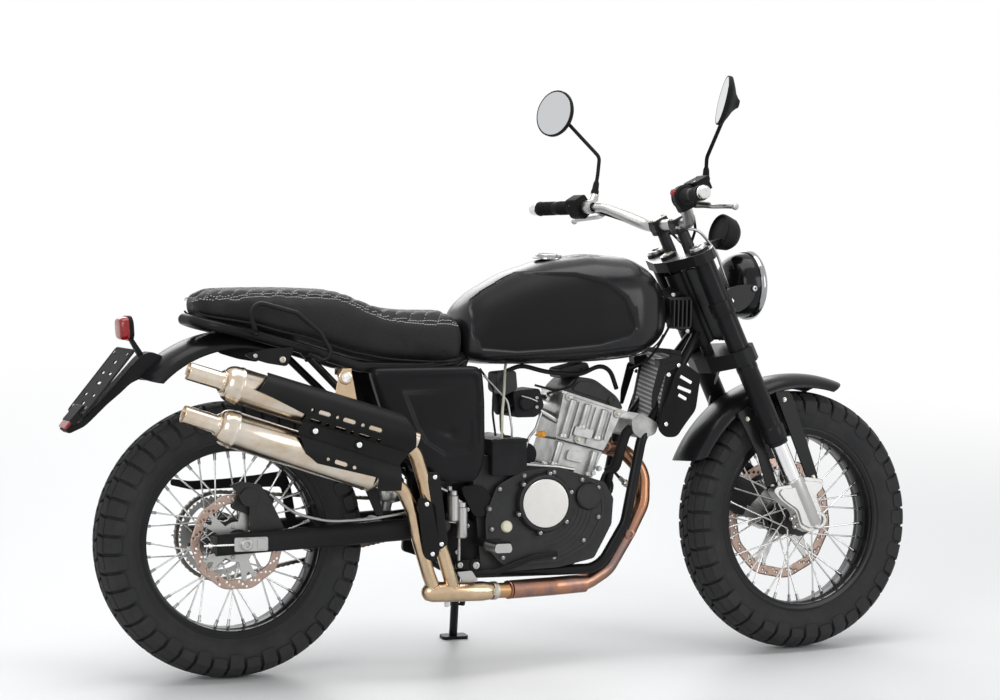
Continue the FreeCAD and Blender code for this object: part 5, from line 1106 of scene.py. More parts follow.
def addSwingarm(size):
    # two oval tubes, a cross tube, the pivot ears, the guard over the chain, and the chain adjusters
    black, bare = Shape(), Shape()
    t = np.linspace(0, 1, 30)
    path = np.stack([size["tail"][0] + (size["front"][0] - size["tail"][0]) * t, np.full(30, size["side"]),
                     size["tail"][1] + (size["front"][1] - size["tail"][1]) * t], 1)
    oval = ring(size["half"][0], 36) * [1, size["half"][1] / size["half"][0]]
    black.carried(path, oval * [0.97, 0.97], up=(0, 0, 1))
    ear = roundedOutline([(400, 318), (480, 318), (512, 342), (480, 366), (400, 358)], 12)
    black.plate(ear, size["side"] - 17, size["side"] - 8)
    guard = roundedOutline([(-113, 441), (-111, 456), (-64, 449), (20, 452), (93, 458), (167, 467), (181, 430),
                            (195, 351), (169, 351), (157, 429), (60, 430), (-60, 428)], 9)
    left = Shape().plate(guard, 91.2, 93.8)
    left.roundPlate([(170, 355), (194, 355), (194, 338), (170, 338)], 3, 92, 102)
    left.capBolt((20, 93.8, 441), (0, 1, 0), 5.5, 3.0)
    black.mirrored().join(left)
    black.tube([(382, -100, 337), (382, 100, 337)], 17, 10, 28)
    lug = roundedOutline([(372, 334), (398, 334), (398, 372), (372, 372)], 6)
    black.plate(lug, -14, 14)
    build("swingarmBody", black, "armBlack", replaces=["swingarm"], sharp=32, bevel=0.8)
    face = size["plateFace"]
    outline = roundedOutline([(-28, 304), (52, 304), (52, 336), (-28, 336)], 5)
    for side in (-1, 1):
        low, high = sorted((side * face, side * (face + size["plateThick"])))
        bare.plate(outline, low, high)
        outer = side * (face + size["plateThick"])
        ridge = roundedOutline([(26, 307), (49, 307), (49, 333), (26, 333)], 3)
        bare.plate(ridge, *sorted((outer - side * 0.5, outer + side * 1.6)))
        bare.turned([(0, 15.8), (1.6, 15.8), (1.6, 13.6), (7.4, 13.6), (9.0, 11.6), (9.0, 6.2), (3.0, 6.2)],
                    (0, outer, size["axleHigh"]), (0, side, 0), 36)
    build("adjusterPlates", bare, "satinAlloy", sharp=32, bevel=0.6)
    bolts, caps = Shape(), Shape()
    for side in (-1, 1):
        middle = side * (face + size["plateThick"] / 2)
        path = np.array([(-28, middle, 320), (-99, middle, 320)], float)
        turns = np.linspace(0, 1, 140)
        thread = 2.6 + 0.35 * np.abs(np.sin(turns * 60 * math.pi))
        run = path[0] + (path[1] - path[0]) * turns[:, None]
        bolts.carried(run, ring(1.0, 14), scale=thread, up=(0, 0, 1))
        bolts.hexBolt((-82, middle, 320), (-1, 0, 0), 10, 7)
        low, high = sorted((side * (size["side"] - 13), side * (face + size["plateThick"] - 0.5)))
        caps.roundPlate([(-74, 301), (-68.5, 301), (-68.5, 339), (-74, 339)], 1.5, low, high)
        caps.hexBolt((490, side * (size["side"] + 3), 342), (0, side, 0), 20, 8)
    build("adjusterBolts", bolts, "chrome", sharp=50)
    build("armCaps", caps, "blackCast", sharp=32, bevel=0.5)


shock = {"foot": (385, 0, 374), "head": (430, 0, 690), "coilRadius": 29.0, "wire": 6.0, "turns": 7.5}


def addShock(size):
    # a helix of wire between two cups, round the damper's body
    foot, head = np.array(size["foot"], float), np.array(size["head"], float)
    length = np.linalg.norm(head - foot)
    t = np.linspace(0, 1, 260)
    turn = t * size["turns"] * 2 * math.pi
    rise = 46 + (length - 104) * t
    path = np.stack([size["coilRadius"] * np.cos(turn), size["coilRadius"] * np.sin(turn), rise], 1)
    coil = aimed(carried(path, ring(size["wire"], 12)), foot, head - foot)
    build("shockSpring", coil, "glossBlack", replaces=["rear_shock"], sharp=40)
    body = turned([(0, 12), (18, 14), (24, 30), (40, 35), (46, 34), (46, 20), (150, 20), (156, 22), (170, 22),
                   (171, 9), (length - 62, 9), (length - 60, 33), (length - 46, 34), (length - 34, 26),
                   (length - 20, 13), (length, 12)], foot, head - foot, 40)
    build("shockBody", body, "satinAlloy", sharp=32)


addRearFrame(rearFrame)
addSwingarm(arm)
addShock(shock)
print("frame ready")
# exhaust

exhaust = {
    "header": [(939.5, 0, 519.2), (953.6, 0, 504.1), (992, -12, 498), (1036, -26, 448), (1030, -36, 372),
               (992, -40, 304), (934, -46, 218), (876, -56, 188), (780, -72, 184), (650, -118, 186),
               (596, -132, 188)],
    "headerRadius": 18.0,
    "upperRiser": [(500, -143, 200), (488, -152, 230), (444, -164, 366), (420, -168, 452), (394, -180, 520),
                   (350, -194, 562)],
    "lowerRiser": [(452, -146, 200), (436, -152, 236), (410, -156, 318), (396, -156, 384), (362, -176, 440),
                   (310, -194, 466)],
    "riserRadius": 16.0,
    "collector": [(0, 0.01), (0, 19.5), (4, 20.5), (20, 23), (150, 23.5), (166, 19), (174, 9), (176, 0.01)],
    "silencers": [((392, -194, 551), (-152, -194, 721)), ((330, -194, 462), (-164, -194, 625))],
    "silencerRadius": 42.0, "tipRadius": 20.5, "tail": 96.0,
}


def silencerShape(joint, tip, size):
    # profile turned about the can's line: cone, straight body, pressed dome, neck, and the open tail pipe
    a, b = np.array(joint, float), np.array(tip, float)
    length = np.linalg.norm(b - a)
    end, big, small = length - size["tail"], size["silencerRadius"], size["tipRadius"]
    t = np.linspace(0, 1, 12)
    cone = np.stack([14 + 42 * t, 19.2 + (big - 19.2) * (3 * t ** 2 - 2 * t ** 3)], 1)
    dome = np.stack([end - 16 + 26 * t, (big - small - 5) * np.sqrt(np.clip(1 - t ** 2, 0, 1)) + small + 5], 1)
    profile = np.concatenate([[(0, 0.01), (0, 19.2), (13, 19.2)], cone,
                              [(60, big), (61.5, big + 1.1), (64, big + 1.1), (65.5, big)],
                              [(end - 30, big), (end - 28.5, big + 1.4), (end - 24, big + 1.4), (end - 22.5, big),
                               (end - 17, big)], dome, [(end + 12, small + 4.6), (end + 14, small + 2.6),
                                                        (end + 18, small + 2.2), (end + 21, small)]])
    pipe = [(length - 1.2, small), (length, small - 0.8), (length, small - 1.6), (length - 1, small - 2.0),
            (end + 6, small - 2.0), (end + 4, 0.01)]
    return lathe(np.concatenate([profile, pipe]), a, b - a, 72)


def addExhaust(size):
    # header, sleeves, risers and silencers as tubes along their measured lines
    header = tube(size["header"], size["headerRadius"], 70, 36, 5)
    start, before = np.array(size["header"][0], float), np.array(size["header"][1], float)
    header.lathe([(0, 0.01), (0, 25), (7, 25), (9, 22), (20, 20), (22, 18.2)], start, before - start, 40)
    build("headerPipe", header, "headerSteel", replaces=["exhaust_pipes"], sharp=45)
    sleeve = tube([(868, -58, 187), (780, -73, 185), (652, -117, 187)], 21.8, 40, 36)
    sleeve.weldBead((872, -57, 187.5), (1, -0.1, 0), 19.6).weldBead((648, -118.5, 187), (-1, -0.3, 0), 19.8)
    sleeve.turned([(-6, 12), (5, 12), (6, 10.5), (6, 6.5), (1, 6.5)], (987, -58, 300), (-0.15, -1, 0.05), 28)
    build("headerSleeve", sleeve, "sleeveSteel", sharp=40)
    pipes = tube(size["upperRiser"], size["riserRadius"], 55, 32, 4)
    pipes.tube(size["lowerRiser"], size["riserRadius"], 50, 32, 4)
    pipes.lathe(size["collector"], (598, -133, 188), (-0.995, -0.07, 0.03), 48)
    for place, axis, radius in (((499, -143.4, 203), (-0.38, -0.2, 0.9), 17.5),
                                ((449, -147, 207), (-0.4, -0.2, 0.9), 17.5), ((604, -131, 188), (1, 0.2, 0), 19.5)):
        pipes.weldBead(place, axis, radius)
    build("riserPipes", pipes, "riserSteel", sharp=45)
    clamp = lathe([(0, 18), (0, 21.5), (14, 21.5), (14, 18)], (612, -128, 188), (-0.95, -0.3, 0.01), 36)
    clamp.boxShape((598, -156, 180), (610, -148, 196))
    clamp.hexBolt((604, -156, 188), (0, -1, 0), 8, 5)
    build("collectorClamp", clamp, "zinc", sharp=35, bevel=0.5)
    cans = Shape()
    for joint, tip in size["silencers"]:
        cans.join(silencerShape(joint, tip, size))
        a, b = np.array(joint, float), np.array(tip, float)
        along = (b - a) / np.linalg.norm(b - a)
        cans.weldBead(b - along * (size["tail"] - 13), along, size["tipRadius"] + 4.0, 0.9)
    build("silencerCans", cans, "canSteel", replaces=["silencers"], sharp=45)
    hanger = Shape()
    eye = roundedOutline([(199, 648), (208, 694), (216, 716), (236, 716), (244, 694), (254, 640), (240, 634),
                          (214, 640)], 14, 7)
    hanger.plate(eye, -177, -173)
    strap = roundedOutline([(206, 660), (240, 650), (222, 560), (196, 566)], 8)
    hanger.plate(strap, -197, -192)
    hanger.turned([(0, 17), (4, 17), (6, 14)], (226, -173, 698), (0, -1, 0), 32)
    hanger.boxShape((218, -178, 702), (240, -122, 718))
    build("silencerHanger", hanger, "riserSteel", sharp=35, bevel=0.6)
    nut = hexBolt((226, -181, 698), (0, -1, 0), 15, 8)
    build("hangerNut", nut, "chrome", sharp=35)


shields = {
    "screws": [(134, 581), (239, 547)], "screwSide": -231.5,
    "upperPlate": [(398, 412), (408, 420), (444, 400), (452, 282), (432, 268), (414, 280)],
    "lowerPlate": [(419, 476), (452, 475), (474, 308), (452, 293), (446, 330)],
}


def addRiserShields(size):
    # pressed plates over the risers: flat plates of rounded outline on standoffs, with their screws and washers
    plates, screws = Shape(), Shape()
    for outline in (size["upperPlate"], size["lowerPlate"]):
        plates.roundPlate(outline, 10, -184, -180.5, steps=7)
    for x, z in ((420, 402), (434, 286), (440, 464), (456, 308)):
        plates.lathe([(0, 7), (22, 6)], (x - 3, -160, z), (0, -1, 0), 20)
        screws.capBolt((x, -184, z), (0, -1, 0), 5.0, 3.5)
    for x, z in size["screws"]:
        screws.capBolt((x, size["screwSide"], z), (0, -1, 0), 6.2, 3.6)
        plates.turned([(0, 10.5), (2.2, 10.5), (3.6, 8.4)], (x, -228, z), (0, -1, 0), 28)
    build("riserShields", plates, "shieldBlack", sharp=35, bevel=0.9)
    build("shieldScrews", screws, "chrome", sharp=40)


# engine

engine = {
    "tilt": 18.0, "foot": (842.0, 0.0, 452.0), "side": -92.0, "clutch": (742, 388), "filter": (858, 400),
    "half": 62.0, "deck": 67.0, "top": 175.0,
    "coverBolts": [(612, 330), (640, 262), (700, 256), (770, 258), (846, 296), (884, 350), (884, 420), (842, 440),
                   (770, 460), (694, 454), (632, 424), (606, 378)],
}


def tiltedShape(shape):
    # from the barrel's own upright frame to its place on the cases
    return Shape().join(shape, [turnMatrix((0, 1, 0), engine["tilt"])], [np.array(engine["foot"])])


def addCases(size):
    # the dressed case solids carry a rim rib, bolts in bosses and the two round lids
    side = size["side"]
    ribs, bolts = Shape(), Shape()
    outline = np.array([(600, 290), (640, 246), (780, 250), (860, 290), (898, 360), (890, 420), (850, 446),
                        (770, 470), (690, 462), (626, 430), (598, 360)], float)
    edge = roundedOutline(outline, 16, 6)
    path = np.column_stack([edge[:, 0], np.full(len(edge), side - 15.5), edge[:, 1]])
    ribs.carried(np.concatenate([path, path[:2]]), [(-3, -2), (3, -2), (2.2, 1.8), (-2.2, 1.8)], up=(0, 1, 0))
    for x, z in size["coverBolts"]:
        ribs.turned([(-10, 10), (3, 9.4), (4, 8.6)], (x, side - 13.4, z), (0, -1, 0), 24)
        bolts.hexBolt((x, side - 17, z), (0, -1, 0), 6.5, 4.0)
    x, z = size["clutch"]
    lid = turned([(0, 71), (5, 71), (9, 68.5), (14, 68), (18, 66.5), (20, 63.5), (20, 60.5), (17.5, 59)],
                 (x, side - 15, z), (0, -1, 0), 96)
    ribs.join(lid)
    for index in range(6):
        turn = math.radians(20 + index * 60)
        ribs.turned([(0, 8), (14, 7.4), (15, 6.4)], (x + 71 * math.cos(turn), side - 14, z + 71 * math.sin(turn)),
                    (0, -1, 0), 20)
        bolts.capBolt((x + 71 * math.cos(turn), side - 29, z + 71 * math.sin(turn)), (0, -1, 0), 4.4, 3)
    x, z = size["filter"]
    ribs.turned([(0, 33), (4, 33), (10, 30), (13, 29), (14, 27), (13, 25)], (x, side - 13.5, z), (0, -1, 0), 64)
    for index in range(5):
        arc = np.linspace(-0.9, 0.5, 14) + index * 0.05
        radius = 84 + 11 * index
        line = np.stack([742 + radius * np.cos(arc - 0.7), np.full(14, side - 15.4),
                         388 + radius * np.sin(arc - 0.7)], 1)
        keep = (line[:, 0] < 884) & (line[:, 2] > 262)
        if keep.sum() > 3:
            ribs.carried(line[keep], [(-1.6, -1.5), (1.6, -1.5), (1.0, 1.5), (-1.0, 1.5)], up=(0, 1, 0))
    build("caseRibs", ribs, "blackCast", sharp=32)
    build("caseBolts", bolts, "darkChrome", sharp=35)
    x, z = size["clutch"]
    disc = lathe([(0, 57.6), (1.2, 57.6), (2.0, 56.8), (2.4, 50), (2.6, 0.01)], (x, side - 32.6, z), (0, -1, 0), 96)
    build("clutchDisc", disc, "spunDisc", sharp=40)
    left = turned([(0, 60), (3, 60), (6, 57), (6, 40), (3, 38)], (820, 108, 350), (0, 1, 0), 72)
    build("leftLid", left, "spunDisc", sharp=40)
    knobs = lathe([(0, 0.01), (0, 14), (4, 14), (9, 11), (10, 0.01)], (649, side - 14, 335), (0, -1, 0), 32)
    build("oilCap", knobs, "ivory", sharp=40)
    web = Shape()
    for index in range(4):
        web.tube([(560 + index * 16, 113.5, 300), (556 + index * 14, 113.5, 400)], 2.2, 5, 8)
    build("sprocketLidRibs", web, "blackCast")


def addBarrel(size):
    # cast barrel and head with round bolt columns, bosses and webs; black cover on top
    half, deck, top = size["half"], size["deck"], size["top"]
    silver, dark, bolts = Shape(), Shape(), Shape()
    barrel = roundedOutline([(-62, 0), (-73, deck - 3), (55, deck + 3), (47, 0)], 6)
    silver.plate(barrel, -half + 3, half - 3)
    head = roundedOutline([(-73, deck - 3), (-79, deck + 26), (-86, top), (74, top), (60, deck + 25), (55, deck + 3)],
                          6)
    silver.plate(head, -half, half)
    gasket = roundedOutline([(-74, deck - 4), (-75, deck - 1), (56, deck + 5), (55.5, deck + 2)], 1)
    dark.plate(gasket, -half - 4, half + 4)
    for x, low, high, radius in ((-60, 2, deck - 5, 9.2), (34, 4, deck - 2, 9.2), (-58, deck + 6, top - 8, 10.2),
                                 (-18, deck + 40, top - 8, 10.0), (28, deck + 26, top - 8, 10.2)):
        for side in (-1, 1):
            column = lathe([(0, 0.01), (0, radius - 1), (2, radius), (high - low - 3, radius),
                            (high - low - 1, radius - 1.4), (high - low, 0.01)], (x, side * (half + 3), low),
                           (0, 0, 1), 28)
            silver.join(column)
            silver.lathe([(0, radius + 1.4), (5, radius + 1.8), (9, radius + 0.6), (9, 0.01)],
                         (x, side * (half + 3), low - 1), (0, 0, 1), 28)
    for side in (-1, 1):
        for x, low, high in ((-40, deck + 8, top - 10), (5, deck + 8, top - 10), (48, deck + 30, top - 10)):
            silver.plate([(x - 2.2, low), (x + 2.2, low), (x + 2.2, high), (x - 2.2, high)],
                         *sorted((side * half, side * (half + 6))))
        pad = roundedOutline([(-36, deck + 18), (12, deck + 22), (12, deck + 44), (-36, deck + 40)], 5)
        silver.plate(pad, *sorted((side * half, side * (half + 11))))
        lower = roundedOutline([(-34, 24), (10, 28), (10, 50), (-34, 48)], 6)
        silver.plate(lower, *sorted((side * (half - 3), side * (half + 6))))
        for x, z in ((-70, top - 6), (62, top - 8), (-18, deck + 12)):
            silver.turned([(0, 11), (9, 10)], (x, side * (half - 4), z), (0, side, 0), 24)
            bolts.hexBolt((x, side * (half + 5), z), (0, side, 0), 9, 6)
    flange = roundedOutline([(-92, top - 3), (80, top - 3), (82, top + 4), (-94, top + 4)], 2)
    silver.plate(flange, -half - 3, half + 3)
    cover = roundedOutline([(-88, top + 4), (-84, top + 16), (-66, top + 46), (-20, top + 54), (52, top + 30),
                            (78, top + 4)], 16, 7)
    dark.plate(cover, -half + 2, half - 2)
    ridge = roundedOutline([(-70, top + 12), (-56, top + 38), (-20, top + 45), (40, top + 26), (58, top + 12)], 12, 6)
    dark.plate(ridge, -half - 1.5, half + 1.5)
    for side in (-1, 1):
        dark.turned([(0, 10.5), (3, 10.5), (3, 6), (1, 5.6)], (38, side * (half + 1.2), top + 19), (0, side, 0), 28)
    port = turned([(0, 27), (22, 25)], (54, 0, 102), (0.9, 0, -0.45), 36)
    silver.join(port)
    inlet = turned([(0, 30), (20, 27), (26, 31), (34, 31)], (-80, 0, top - 36), (-0.96, 0, 0.28), 40)
    silver.join(inlet)
    build("barrelAndHead", tiltedShape(silver), "brightCast", replaces=["cylinder", "cylinder_head"], sharp=32,
          bevel=1.6, bevelSteps=3)
    build("camCover", tiltedShape(dark), "blackCast", sharp=32, bevel=1.2)
    build("headBolts", tiltedShape(bolts), "zinc", sharp=35)


addExhaust(exhaust)
addRiserShields(shields)
addCases(engine)
addBarrel(engine)
print("engine and exhaust ready")
# tank, seat, covers and mudguards

tank = {
    # x, low, high, half width, belly height
    "sections": [(548, 738, 800, 50, 764), (554, 728, 834, 76, 766), (566, 722, 856, 92, 770),
                 (600, 716, 886, 110, 786), (680, 714, 929, 129, 806), (780, 714, 961, 140, 824),
                 (890, 718, 974, 144.5, 838), (990, 728, 965, 138, 848), (1036, 748, 940, 117, 850),
                 (1064, 768, 908, 90, 846), (1079, 786, 880, 66, 840), (1084, 806, 862, 44, 836)],
    "panel": [(590, 752), (572, 790), (574, 850), (600, 898), (640, 920), (697, 932), (824, 928), (900, 908),
              (945, 870), (968, 822), (974, 798), (958, 778), (876, 758), (773, 750), (672, 745)],
    "panelDepth": 8.5, "panelEdge": 9.0, "cap": (800, 0, 962),
}


def insideDepth(x, z, outline):
    # how far a place lies inside an outline: the distance to the nearest edge, negative outside
    a = np.array(outline, float)
    b = np.roll(a, -1, 0)
    place = np.stack([x, z], -1)[..., None, :]
    run = b - a
    share = np.clip(((place - a) * run).sum(-1) / (run ** 2).sum(-1), 0, 1)
    near = np.linalg.norm(place - (a + share[..., None] * run), axis=-1).min(-1)
    crosses = ((a[:, 1] > z[..., None]) != (b[:, 1] > z[..., None]))
    rise = np.where(b[:, 1] == a[:, 1], 1e-9, b[:, 1] - a[:, 1])
    edgeX = a[:, 0] + (z[..., None] - a[:, 1]) / rise * (b[:, 0] - a[:, 0])
    odd = (crosses & (x[..., None] < edgeX)).sum(-1) % 2 == 1
    return np.where(odd, near, -near)


def smoothStep(value):
    # three times the square less twice the cube, held between nothing and one
    value = np.clip(value, 0, 1)
    return value * value * (3 - 2 * value)


def stations(rows, count, ease=6):
    # rows of numbers filled in between and eased by a running mean, ends kept
    rows = np.array(rows, float)
    share = np.linspace(0, 1, count)
    runs = np.r_[0, np.cumsum(np.linalg.norm(np.diff(rows[:, :3], axis=0), axis=1))]
    fine = np.stack([np.interp(share * runs[-1], runs, rows[:, k]) for k in range(rows.shape[1])], 1)
    padded = np.concatenate([np.repeat(fine[:1], ease, 0) * 2 - fine[1:ease + 1][::-1], fine,
                             np.repeat(fine[-1:], ease, 0) * 2 - fine[-ease - 1:-1][::-1]])
    kernel = np.hanning(2 * ease + 3)[1:-1]
    kernel /= kernel.sum()
    return np.stack([np.convolve(padded[:, k], kernel, "valid") for k in range(rows.shape[1])], 1)


def tankShape(size):
    # superellipse sections along the machine; the knee panel is pressed in by a smooth step of its edge distance
    rows = stations(size["sections"], 230, 11)
    angles = circle(200)
    c, s = np.cos(angles), np.sin(angles)
    power = np.where(s > 0, 2.5, 4.2)
    x, low, high, half, belly = (rows[:, k][:, None] for k in range(5))
    y = half * (np.sign(c) * np.abs(c) ** (2 / power))
    z = belly + np.where(s > 0, high - belly, belly - low) * (np.sign(s) * np.abs(s) ** (2 / power))
    x = np.broadcast_to(x, y.shape)
    inside = insideDepth(x, z, size["panel"])
    press = smoothStep(inside / size["panelEdge"] + 0.4) * size["panelDepth"] * (np.abs(y) > 40)
    y = y - np.sign(y) * press
    mask = np.stack([np.where(np.abs(y) > 40, inside, -9.0) * stance["mm"], np.zeros_like(y)], -1)
    return Shape().grid(np.stack([x, y, z], -1), closeV=True, capStart=True, capEnd=True, uv=mask)


def addTank(size):
    # the lacquered shell with its cap, seam and trim
    build("tankShell", tankShape(size), "tankLacquer", replaces=["fuel_tank"], sharp=60)
    x, z = size["cap"][0], size["cap"][2]
    cap = lathe([(0, 38), (3, 38), (4, 36.5), (4.5, 33), (9, 32), (11, 30.5), (12, 27), (12, 12), (10.5, 10),
                 (10.5, 0.01)], (x, 0, z - 1), (0.05, 0, 1), 72)
    cap.join(roundPlate([(-22, -7), (22, -7), (22, 7), (-22, 7)], 5, 8, 13, "z"), [turnMatrix((0, 1, 0), 3)],
             [np.array([x - 2.0, 0, z])])
    build("tankCap", cap, "darkChrome", replaces=["fuel_cap"], sharp=35)
    screws = Shape()
    for index in range(6):
        turn = math.radians(index * 60 + 15)
        screws.capBolt((x + 35 * math.cos(turn), 35 * math.sin(turn), z + 1.5), (0, 0, 1), 2.4, 2)
    build("capScrews", screws, "chrome")
    seam = Shape()
    rows = stations(size["sections"], 60)[4:-5]
    low = np.stack([rows[:, 0], rows[:, 3] * 0.955, rows[:, 1] + 7.0], 1)
    seam.carried(low, ring(2.6, 10, 0.7))
    seam.mirrored()
    build("tankSeam", seam, "tankBlack", sharp=50)


seatSize = {
    # x, bottom, top, half width
    "sections": [(-96, 850, 868, 26), (-92, 840, 880, 48), (-78, 834, 888, 74), (-46, 829, 892, 97),
                 (20, 818, 893, 112), (90, 798, 893, 118), (140, 786, 892, 118), (224, 760, 888, 118),
                 (262, 748, 880, 117), (300, 740, 864, 116), (352, 730, 845, 114), (422, 724, 837, 112),
                 (480, 721, 836, 110), (524, 721, 836, 106), (541, 726, 826, 98), (547, 744, 806, 84)],
    "channelPitch": 36.0, "channelDepth": 4.6, "border": 92.0, "voxel": 0.0055, "cap": 0.007,
}


def seatForm(size):
    # superellipse sections, flat underneath and crowned on top
    rows = stations(size["sections"], 110, 3)
    angles = circle(96)
    c, s = np.cos(angles), np.sin(angles)
    power = np.where(s > 0, 3.2, 5.0)
    x, low, high, half = (rows[:, k][:, None] for k in range(4))
    belly = low + (high - low) * 0.46
    y = half * np.sign(c) * np.abs(c) ** (2 / power)
    z = belly + np.where(s > 0, high - belly, belly - low) * np.sign(s) * np.abs(s) ** (2 / power)
    return Shape().grid(np.stack([np.broadcast_to(x, y.shape), y, z], -1), closeV=True, capStart=True, capEnd=True)


def meshPoints(mesh):
    # the mesh's points as rows of three
    points = np.empty(len(mesh.vertices) * 3)
    mesh.vertices.foreach_get("co", points)
    return points.reshape(-1, 3)


def swollen(piece, voxel, cap, pressure=4.0):
    # the pad's cover as cloth, blown up a little from inside; no point moves further than the cap
    remesh = piece.modifiers.new("even", "REMESH")
    remesh.mode, remesh.voxel_size = "VOXEL", voxel
    before = meshPoints(applied(piece)).copy()
    cloth = piece.modifiers.new("cover", "CLOTH")
    cloth.settings.use_pressure = True
    cloth.settings.uniform_pressure_force = pressure
    cloth.settings.effector_weights.gravity = 0.0
    cloth.settings.quality = 5
    cloth.point_cache.frame_start, cloth.point_cache.frame_end = 1, 20
    for moment in range(1, 21):
        bpy.context.scene.frame_set(moment)
    after = meshPoints(applied(piece))
    bpy.context.scene.frame_set(1)
    move = after - before
    far = np.linalg.norm(move, axis=1)[:, None]
    before = before + move * np.minimum(1.0, cap / np.maximum(far, 1e-9))
    piece.data.vertices.foreach_set("co", before.ravel())
    piece.data.update()
    return before


def seatTopEdge(x, size):
    # the line of the piping: how far out the quilted top reaches at a place along the seat
    rows = np.array(size["sections"], float)
    half = np.interp(x, rows[:, 0], rows[:, 3])
    return np.minimum(size["border"], half - 14)


def addSeat(size):
    # the cushion blown up from its form and held in its cad box, with its seams and stitches
    pad = build("seatPad", seatForm(size), "leather", replaces=["seat"], sharp=180)
    placed = swollen(pad, size["voxel"], size["cap"])
    turn, origin = homes["machine"]
    points = (placed - origin) @ turn / stance["mm"]
    box = np.array(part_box("seat"))
    normals = np.empty(len(points) * 3)
    pad.data.vertices.foreach_get("normal", normals)
    up = (normals.reshape(-1, 3) @ turn)[:, 2]
    x, y = points[:, 0], points[:, 1]
    edge = seatTopEdge(x, size)
    onTop = smoothStep((up - 0.45) / 0.25)
    phase = ((x + 0.62 * np.abs(y)) / size["channelPitch"]) % 1.0
    channel = np.exp(-(np.minimum(phase, 1 - phase) * size["channelPitch"] / 3.6) ** 2)
    crown = np.sin(phase * math.pi) * 1.2
    quilt = smoothStep((edge - np.abs(y)) / 7.0) * smoothStep((x + 92) / 14) * onTop
    border = np.exp(-((edge - np.abs(y)) / 3.2) ** 2) * onTop
    points[:, 2] += quilt * (crown - channel * size["channelDepth"]) - border * 2.2
    placed = np.clip(inHome(points, "machine"), box[0] - 0.004, box[1] + 0.004)
    pad.data.vertices.foreach_set("co", placed.ravel())
    pad.data.polygons.foreach_set("use_smooth", np.ones(len(pad.data.polygons), bool))
    pad.data.update()
    pad.data.materials.clear()
    pad.data.materials.append(finishes["leather"])
    smooth = pad.modifiers.new("smooth", "SUBSURF")
    smooth.levels = smooth.render_levels = 1
    tops = points[up > 0.35]
    stitches = Shape()
    for side in (1, -1):
        for row, inset in enumerate((-3.4, 3.4)):
            xs = np.arange(-92.0, 530.0, 6.2) + row * 3
            ys = side * (seatTopEdge(xs, size) + inset)
            addStitches(stitches, tops, xs, ys, (1.0, 0.0))
        for start in np.arange(-60.0, 560.0, size["channelPitch"]):
            ys = side * np.arange(3.0, 90.0, 6.4)
            xs = start - 0.62 * np.abs(ys) - (start % size["channelPitch"])
            keep = (np.abs(ys) < seatTopEdge(xs, size) - 5) & (xs > -84) & (xs < 526)
            addStitches(stitches, tops, xs[keep], ys[keep], (-0.53 * side, 0.85))
    build("seatStitches", stitches, "stitch", sharp=60)
    rim = stations(size["sections"], 80, 3)[2:-3]
    band = np.stack([rim[:, 0], rim[:, 3] * 0.985, rim[:, 1] + 5.0], 1)
    trim = Shape().carried(band, ring(2.4, 10))
    trim.mirrored()
    build("seatTrim", trim, "plainRubber", sharp=60)


def addStitches(shape, tops, xs, ys, along, length=4.4, radius=0.9):
    # each stitch is a short thread laid on the nearest point of the pad's top
    for x, y in zip(xs, ys):
        near = tops[np.argmin((tops[:, 0] - x) ** 2 + (tops[:, 1] - y) ** 2)]
        if abs(near[0] - x) > 6 or abs(near[1] - y) > 6:
            continue
        t = np.linspace(-0.5, 0.5, 4)
        path = np.stack([x + along[0] * t * length, y + along[1] * t * length, near[2] + 1.5 - 2.2 * t ** 2 * 2], 1)
        shape.carried(path, ring(radius, 6))


covers = {
    "outline": [(300, 716), (576, 716), (583, 640), (584, 512), (574, 470), (556, 446), (500, 442), (455, 456),
                (386, 508), (330, 620)],
    "panel": [(367, 690), (560, 696), (568, 640), (562, 560), (540, 520), (480, 512), (424, 548)],
    "side": 151.5, "depth": 34.0,
}


def addSideCovers(size):
    # a domed shield: its height over the outline is a smooth step of the edge distance, the panel is pressed in
    outline = roundedOutline(size["outline"], 26, 7)
    centre = outline.mean(0)
    share = np.concatenate([np.linspace(0.0, 0.9, 24), np.linspace(0.91, 1.0, 12)])
    x = centre[0] + (outline[:, 0] - centre[0]) * share[:, None]
    z = centre[1] + (outline[:, 1] - centre[1]) * share[:, None]
    inside = insideDepth(x, z, [tuple(p) for p in outline])
    rounding = 15.0 * (1 - np.sqrt(np.clip(1 - (1 - np.clip(inside / 16, 0, 1)) ** 2, 0, 1)))
    panel = insideDepth(x, z, size["panel"])
    press = 5.0 * smoothStep(panel / 6 + 0.4)
    scoop = 3.5 * np.exp(-(((x - 500) / 30) ** 2 + ((z - 560 + 0.25 * (x - 500)) / 9) ** 2))
    y = size["side"] - rounding - press - scoop - 0.00045 * ((x - 470) ** 2)
    skin = Shape().grid(np.stack([x, y, z], -1)[:, ::-1], closeV=True)
    wallIn = np.stack([x[-1], y[-1] - size["depth"] * 0.45, z[-1]], -1)
    skin.grid(np.stack([np.stack([x[-1], y[-1], z[-1]], -1), wallIn])[:, ::-1], closeV=True)
    skin.mirrored()
    build("sideCovers", skin, "coverBlack", replaces=["side_covers"], sharp=50)
    studs = Shape()
    eyes = turned([(0, 11), (2, 11), (3.4, 9), (3.4, 6.6), (0.8, 6.2)], (486, 146.5, 500), (0, 1, 0), 32)
    studs.capBolt((486, 147, 500), (0, 1, 0), 5.2, 3.4)
    eyes.mirrored()
    studs.mirrored()
    build("coverEyes", eyes, "plainRubber", sharp=35)
    build("coverStuds", studs, "chrome", sharp=35)


guards = {
    "rear": {"centre": (10, 0, 500), "radius": 303.0, "half": 78.0, "low": 40, "span": (62, 139)},
    "front": {"centre": (40, 0, 0), "radius": 359.0, "half": 66.0, "low": 36, "span": (45, 130)},
}


